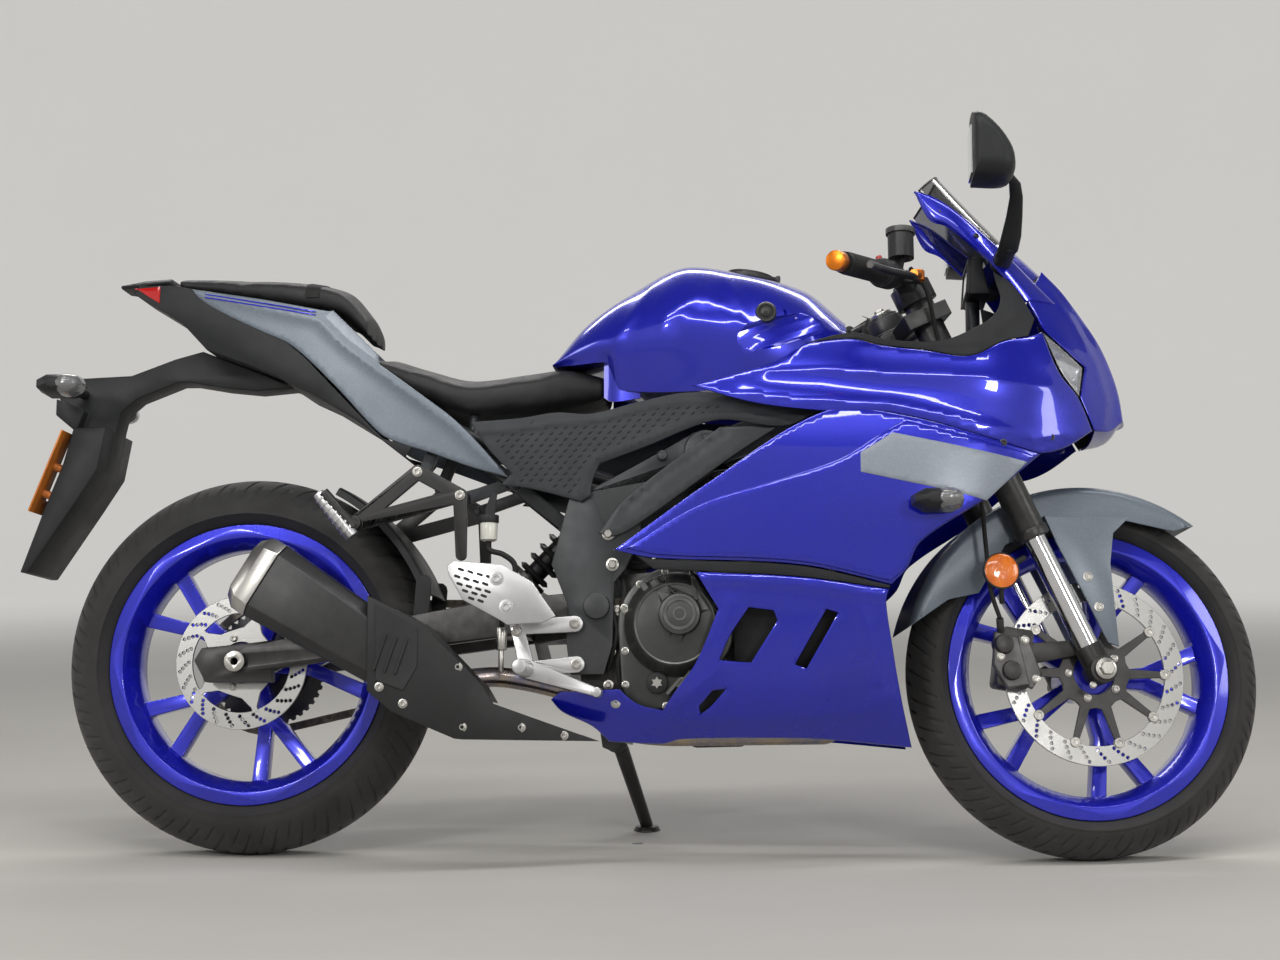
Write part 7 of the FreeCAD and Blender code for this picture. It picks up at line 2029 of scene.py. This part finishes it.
@dataclass(frozen=True)
class Cockpit(Assembly):
    """The display, switches, lever clamps, grip ribs and the screen's screws."""

    half_wide: float = 62.0
    frame_wide: float = 5.0
    rib_count: int = 34
    rib_step: float = 3.9

    def build(self) -> None:
        """Dress the instruments and the bars."""
        Mould().plate(((1198.6, 932), (1201.6, 932), (1205.4, 980), (1202.4, 980)), -56, 56, edge=0.8).done(
            "dash_display", Look.DARK_GLASS, "mirror_face")
        bezel, wide, inner = Mould(), self.half_wide, self.half_wide - self.frame_wide
        for y0, y1, z0, z1 in ((-wide, wide, 926, 931), (-wide, wide, 981, 986), (-wide, -inner, 926, 986),
                               (inner, wide, 926, 986)):
            low, high = (z0 - 925) * 0.08, (z1 - 925) * 0.08
            bezel.plate(((1196.5 + low, z0), (1202.5 + low, z0), (1202.5 + high, z1), (1196.5 + high, z1)), y0, y1)
        bezel.done("dash_bezel", Look.BLACK_PLASTIC, "black_plastic")
        self._bars()
        screws = [((x, side * (y + 1.4), z), (0.42, side * 0.8, 0.42)) for side in SIDES
                  for x, y, z in ((1156, 100.5, 1056), (1212, 107, 1012), (1262, 108, 962))]
        SCATTER.place("screen_screws", screws, bolt_seed(3.6, 1.8, 1.2), Look.BLACK_METAL, "black_metal")

    def _bars(self) -> None:
        """The clamps, switches and ribs on the bars."""
        clamps, houses, ribs = (Mould(Body.STEERING) for _ in range(3))
        for side in SIDES:
            flip = Vector((1, -side, 1))
            spot = (on_bar(-186) + Vector((44, -4, -2))) * flip
            ahead = (on_bar(-212) + Vector((50, -8, -2))) * flip
            clamps.rod(spot + Vector((0, 0, -8)), spot + Vector((0, 0, 9)), 12.5, round_off=1.5)
            clamps.tube([spot, spot.lerp(ahead, 0.5) + Vector((2, 0, 0)), ahead], [9.5, 9, 7.2], 10)
            middle = on_bar(-200)
            houses.rod((middle - BAR_WAY * 17) * flip, (middle + BAR_WAY * 17) * flip, 24, round_off=3)
            houses.rod(on_bar(-218) * flip, on_bar(-222) * flip, 21.5, round_off=1)
            profile = []
            for number in range(self.rib_count):
                foot = on_bar(-222) + BAR_WAY * (number * self.rib_step)
                profile += [((foot + BAR_WAY * past) * flip, radius)
                            for past, radius in ((0, 17.1), (0.8, 18.0), (2.6, 18.0), (3.2, 17.1))]
            ribs.spun(profile, BAR_WAY * flip, 28)
        clamps.done("lever_clamps", Look.ANODISED, "orange_anodised")
        spot = on_bar(-203)
        Mould(Body.STEERING).rod(spot + Vector((-4, 0, 14)), spot + Vector((-9, 2, 29)), 6, 5, round_off=1).done(
            "kill_switch", Look.RED_SWITCH, "lamp_red")
        houses.done("switch_housings", Look.BLACK_PLASTIC, "black_plastic")
        ribs.done("grip_ribs", Look.RUBBER, "grip_rubber")


@dataclass(frozen=True)
class Mirrors(Assembly):
    """The mirrors' shells, their blade stems and feet."""

    middle: Flat = (1206.0, 1092.0)
    face: float = 1188.0

    def build(self) -> None:
        """Make both mirrors."""
        leaf = ((1190, 1150), (1204, 1150), (1224, 1134), (1244, 1108), (1256, 1080), (1254, 1054), (1240, 1043),
                (1190, 1044))
        sections = ((-256, 0.45), (-258, 0.66), (-264, 0.86), (-278, 0.97), (-300, 1.0), (-325, 1.0), (-346, 0.95),
                    (-358, 0.84), (-365, 0.62), (-366.5, 0.42))
        ahead, up = self.middle
        mould = Mould().rings([[(max(self.face, ahead + (x - ahead) * grow), y, up + (z - up) * grow)
                                for x, z in eased(leaf, 9, corner=60)] for y, grow in sections])
        stem = ((1250, -272, 1068, 12), (1262, -254, 1058, 15), (1266, -232, 1042, 17), (1265, -205, 1018, 21),
                (1262, -178, 992, 26), (1258, -156, 974, 27), (1254, -140, 970, 24))
        mould.rings([[(x + wide * 0.62 * squared(math.cos(turn), 0.7), y + 4.2 * math.sin(turn) * 0.7,
                       z + 4.2 * math.sin(turn)) for turn in turns(16)] for x, y, z, wide in stem])
        mould.rod((1250, -96, 964), (1262, -160, 984), 17, 13, round_off=2.5).mirrored()
        mould.done("mirror_shells", Look.BLACK_PLASTIC, "black_plastic", ("mirrors",), smooth=50)


def squared(value: float, power: float) -> float:
    """A cosine pushed outwards, which makes a circle squarer."""
    return math.copysign(abs(value) ** power, value)


@dataclass(frozen=True)
class Lamps(Assembly):
    """Lenses of the signals and the tail, the passenger's strap and the guard over the chain."""

    tyre: float = 314.0
    guard: float = 332.0
    strap_reach: float = 200.0

    def build(self) -> None:
        """Make the lenses, the strap and the guard."""
        clear = Mould()
        for x, y, z in ((1133, -230, 556), (-307, -106, 772)):
            clear.rings([[(x + 15 + (long * 0.66 + 0.8) * squared(math.cos(t), 0.85), y - reach,
                           z + (tall + 0.8) * math.sin(t)) for t in turns(24)] for reach, long, tall in
                         ((30, 39, 18.4), (44, 37.4, 17), (57, 34.4, 15.2), (66, 22, 10.5), (69, 15, 7))])
        clear.mirrored().done("signal_lenses", Look.CLEAR_LENS, "lamp_clear", smooth=50)
        covered("tail_lens", Look.RED_LENS, "lamp_red", TAIL_SKIN, (
            Panel(((-210, 954), (-166, 955.4), (-166, 926), (-186, 938)), proud=1.0, thick=5, lip=1.0, pitch=5),))
        self._strap()
        self._guard()

    def _strap(self) -> None:
        """The strap, laid on the passenger's seat by casting rays at it."""
        seat = BVHTree.FromObject(bpy.data.objects["pillion_pad"], bpy.context.evaluated_depsgraph_get())
        there = FRAMES[Body.CHASSIS]
        rows = []
        for turn in np.linspace(math.radians(-4), math.radians(184), 33):
            way = Vector((0, math.cos(turn), math.sin(turn)))
            row = []
            for x, out in ((92, -1), (92, 1.9), (94, 2.6), (114, 2.6), (116, 1.9), (116, -1)):
                start = there @ (Vector((x, 0, 934)) + way * self.strap_reach)
                hit = seat.ray_cast(start, (there.to_3x3() @ -way).normalized())[0]
                row.append(there.inverted() @ hit + way * out)
            rows.append(row)
        Mould().rings(rows).done("pillion_strap", Look.RUBBER, "seat_cover")

    def _guard(self) -> None:
        """The short guard over the rear tyre with its stays."""
        outer = ((-80, 14), (-79, 4), (-74, 0.8), (-60, 0), (0, -1.5), (60, 0), (74, 0.8), (79, 4), (80, 14))
        inner = ((77, 15), (76, 7), (60, 4), (0, 2.5), (-60, 4), (-76, 7), (-77, 15))
        shell = [(y, self.guard - drop) for y, drop in outer + inner]
        guard = Mould().rings([[(reach * math.cos(turn), y, self.tyre + reach * math.sin(turn))
                                for y, reach in shell]
                               for turn in np.linspace(math.radians(20), math.radians(62), 22)])
        for side in SIDES:
            guard.plate(capsule(298, 414, 92, 13, math.radians(86)), side * 80, side * 76, edge=0.8)
            guard.rod((300, side * 76, 382), (300, side * 101, 382), 7)
        guard.done("hugger_guard", Look.BLACK_PLASTIC, "black_plastic", ("hugger",))


# Finishes of the CAD nodes that keep their form.

FORMS: dict[str, tuple[Look, str, float, Body]] = {
    "main_frame": (Look.FRAME_GREY, "frame_grey", 1.6, Body.CHASSIS),
    "engine_cases": (Look.ENGINE_DARK, "engine_dark", 2.0, Body.CHASSIS),
    "engine_covers": (Look.COVER_DARK, "cover_dark", 2.4, Body.CHASSIS),
    "radiator": (Look.CORE, "radiator_black", 0.8, Body.CHASSIS),
    "muffler_body": (Look.MUFFLER, "black_metal", 2.0, Body.CHASSIS),
    "muffler_end_cap": (Look.BRUSHED_STEEL, "cap_steel", 1.2, Body.CHASSIS),
    "exhaust_cover": (Look.BLACK_PLASTIC, "black_plastic", 1.4, Body.CHASSIS),
    "swingarm": (Look.BLACK_METAL, "black_metal", 2.0, Body.CHASSIS),
    "rear_caliper": (Look.BLACK_METAL, "black_metal", 1.2, Body.CHASSIS),
    "front_caliper": (Look.BLACK_METAL, "black_metal", 1.2, Body.STEERING),
    "tail_lower": (Look.BLACK_PLASTIC, "black_plastic", 1.2, Body.CHASSIS),
    "plate_carrier": (Look.BLACK_PLASTIC, "black_plastic", 2.2, Body.CHASSIS),
    "plate_bracket": (Look.ORANGE, "orange_anodised", 0.5, Body.CHASSIS),
    "dash": (Look.DASH_PLASTIC, "black_plastic", 2.0, Body.CHASSIS),
    "rearsets": (Look.SILVER, "rearset_silver", 1.0, Body.CHASSIS),
    "pillion_pegs": (Look.BLACK_METAL, "black_metal", 1.2, Body.CHASSIS),
    "belly_pan": (Look.DASH_PLASTIC, "black_plastic", 1.6, Body.CHASSIS),
    "triple_clamps": (Look.BLACK_METAL, "black_metal", 1.4, Body.STEERING),
    "fork_bottoms": (Look.BLACK_METAL, "black_metal", 1.4, Body.STEERING),
    "clip_ons": (Look.BLACK_METAL, "black_metal", 1.2, Body.STEERING),
    "side_stand": (Look.BLACK_METAL, "black_metal", 1.0, Body.SIDE_STAND),
    "front_axle": (Look.ZINC, "axle_steel", 0.8, Body.STEERING),
    "rear_axle": (Look.ZINC, "axle_steel", 0.8, Body.CHASSIS),
    "rear_sprocket": (Look.BLACK_METAL, "axle_steel", 0.4, Body.REAR_WHEEL),
    "bar_ends": (Look.ANODISED, "orange_anodised", 1.4, Body.STEERING),
    "front_fender": (Look.SLATE, "slate_panel", 1.0, Body.STEERING),
    "tail_light": (Look.RED_LENS, "lamp_red", 1.2, Body.CHASSIS),
    "turn_signals": (Look.BLACK_PLASTIC, "black_plastic", 1.4, Body.CHASSIS),
    "fork_outer_tubes": (Look.BLACK_METAL, "black_metal", 0.8, Body.STEERING),
    "filler_lid": (Look.BLACK_METAL, "black_metal", 0.6, Body.FILLER_LID),
    "filler_ring": (Look.BLACK_METAL, "black_metal", 0.6, Body.CHASSIS),
}
PLAIN: dict[str, Look] = {
    "header_pipes": Look.HEADER, "rear_shock": Look.BLACK_METAL, "levers": Look.BLACK_METAL, "grips": Look.RUBBER,
    "mirror_glass": Look.MIRROR, "fork_inner_tubes": Look.CHROME,
}


class CadForms(Assembly):
    """The nodes that keep their CAD form."""

    def build(self) -> None:
        """Dress each of them."""
        for node, (look, slot, bevel, body) in FORMS.items():
            dressed(node, look, bevel, body)
        for name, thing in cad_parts.items():
            thing.data.materials.clear()
            thing.data.materials.append(finish(PLAIN.get(name, Look.BLACK_PLASTIC)))


@dataclass(frozen=True)
class Light:
    """One soft light, in metres."""

    name: str
    place: Point
    aim: Point
    size: Flat
    power: float

    def build(self) -> None:
        """Hang it."""
        lamp = bpy.data.lights.new(self.name, "AREA")
        lamp.shape = "RECTANGLE"
        lamp.size, lamp.size_y = self.size
        lamp.energy = self.power
        lamp.color = (1.0, 0.985, 0.96)
        thing = linked(self.name, lamp)
        thing.location = self.place
        thing.rotation_euler = (Vector(self.aim) - Vector(self.place)).to_track_quat("-Z", "Y").to_euler()


@dataclass(frozen=True)
class Stage(Assembly):
    """The round floor, the soft lights and the camera, in metres."""

    bowl: Sequence[Flat] = ((0.01, 0), (2, 0), (4, 0), (6, 0), (8, 0), (9, 0), (9.6, 0.1), (10.4, 0.5), (11.2, 1.3),
                            (11.8, 2.6), (12, 4.5), (12, 7))
    below: float = 0.0005
    pale_from: float = 1.8
    pale_to: float = 8.5
    pale: float = 0.5
    world: Colour = (0.78, 0.79, 0.80)
    world_strength: float = 0.17
    camera: Point = (0.2984, -3.615, 0.6197)
    camera_turn: float = 4.58
    camera_roll: float = 0.48
    focal_pixels: float = 2126.0
    photo_width: float = 1280.0
    sensor: float = 36.0
    lights: Sequence[Light] = (
        Light("key_strip", (0.5, -1.2, 3.3), (0.1, 0.0, 0.5), (5.0, 0.22), 66),
        Light("front_strip", (-0.3, -3.0, 2.9), (0.0, 0.0, 0.6), (4.4, 0.16), 44),
        Light("front_left", (-2.4, -4.4, 2.3), (0.0, 0.0, 0.5), (0.7, 0.5), 44),
        Light("front_right", (2.2, -4.6, 2.0), (0.2, 0.0, 0.5), (0.6, 0.45), 34),
        Light("nose_fill", (4.2, -1.8, 1.8), (0.6, 0.0, 0.6), (0.9, 1.4), 30),
        Light("tail_fill", (-4.2, -1.2, 1.9), (-0.5, 0.0, 0.6), (0.9, 1.4), 22),
        Light("back_strip", (0.0, 2.2, 3.0), (0.0, 0.0, 0.7), (4.6, 0.4), 60))

    def build(self) -> None:
        """Set the stage."""
        data = lathe([(up - self.below, reach) for reach, up in self.bowl], 64).data("studio_sweep")
        sweep = linked("studio_sweep", data)
        data.shade_smooth()
        paper = Finish("studio_paper", (0.50, 0.49, 0.465), (0.47, 0.46, 0.435), 1.2, roughness=0.85, spread=0.03,
                       grain=40, bump=0.05, depth=0.0006, specular=0.2)
        data.materials.append(self._with_pale_distance(paper.material()))
        for light in self.lights:
            light.build()
        world = bpy.data.worlds.new("studio")
        world.use_nodes = True
        Graph(world.node_tree).feed(world.node_tree.nodes["Background"], {
            "Color": (*self.world, 1), "Strength": self.world_strength})
        scene = bpy.context.scene
        scene.world = world
        scene.view_settings.view_transform = "Standard"
        lens = bpy.data.cameras.new("photo_camera")
        lens.sensor_width = self.sensor
        lens.lens = self.focal_pixels / self.photo_width * self.sensor
        camera = linked("photo_camera", lens)
        turn = (Matrix.Rotation(math.radians(self.camera_turn), 4, "Z")
                @ Matrix.Rotation(math.radians(self.camera_roll), 4, "Y"))
        basis = turn @ Matrix(((1, 0, 0, 0), (0, 0, -1, 0), (0, 1, 0, 0), (0, 0, 0, 1)))
        camera.matrix_world = Matrix.Translation(self.camera) @ basis
        scene.camera = camera

    def _with_pale_distance(self, material: bpy.types.Material) -> bpy.types.Material:
        """Let the floor glow softly far from the bike, for what the camera, gloss and glass see.

        Args:
            material: The floor's finish.

        Returns:
            The same material.
        """
        graph = Graph(material.node_tree)
        shader = next(node for node in material.node_tree.nodes if node.type == "BSDF_PRINCIPLED")
        place = graph.node("ShaderNodeTexCoord").outputs["Object"]
        far = graph.node("ShaderNodeVectorMath", {0: place}, operation="LENGTH").outputs["Value"]
        grow = graph.spread(far, self.pale_from, self.pale_to, 0.0, self.pale, "SMOOTHSTEP")
        path = graph.node("ShaderNodeLightPath").outputs
        seen = graph.math("MAXIMUM", path["Is Camera Ray"], path["Is Glossy Ray"])
        seen = graph.math("MAXIMUM", seen, path["Is Transmission Ray"])
        tint = graph.mix(graph.math("MULTIPLY", seen, grow), (0, 0, 0, 1), (1.0, 0.985, 0.95, 1))
        graph.feed(shader, {"Emission Color": tint, "Emission Strength": 1.0})
        return material


def main() -> None:
    """Make every piece, light it, and close the frame."""
    logging.basicConfig(level=logging.INFO)
    for kind in (CadForms, Fairings, SideCovers, Tank, Seats, Screen, Wheels, Chain, Engine, FrameFittings,
                 FootControls, Exhaust, Fork, Cockpit, Mirrors, Lamps, Stage):
        LOG.info("building %s", kind.__name__)
        kind().build()
    for thing in list(bpy.data.meshes):
        if not thing.users:
            bpy.data.meshes.remove(thing)


if __name__ == "__main__":
    main()
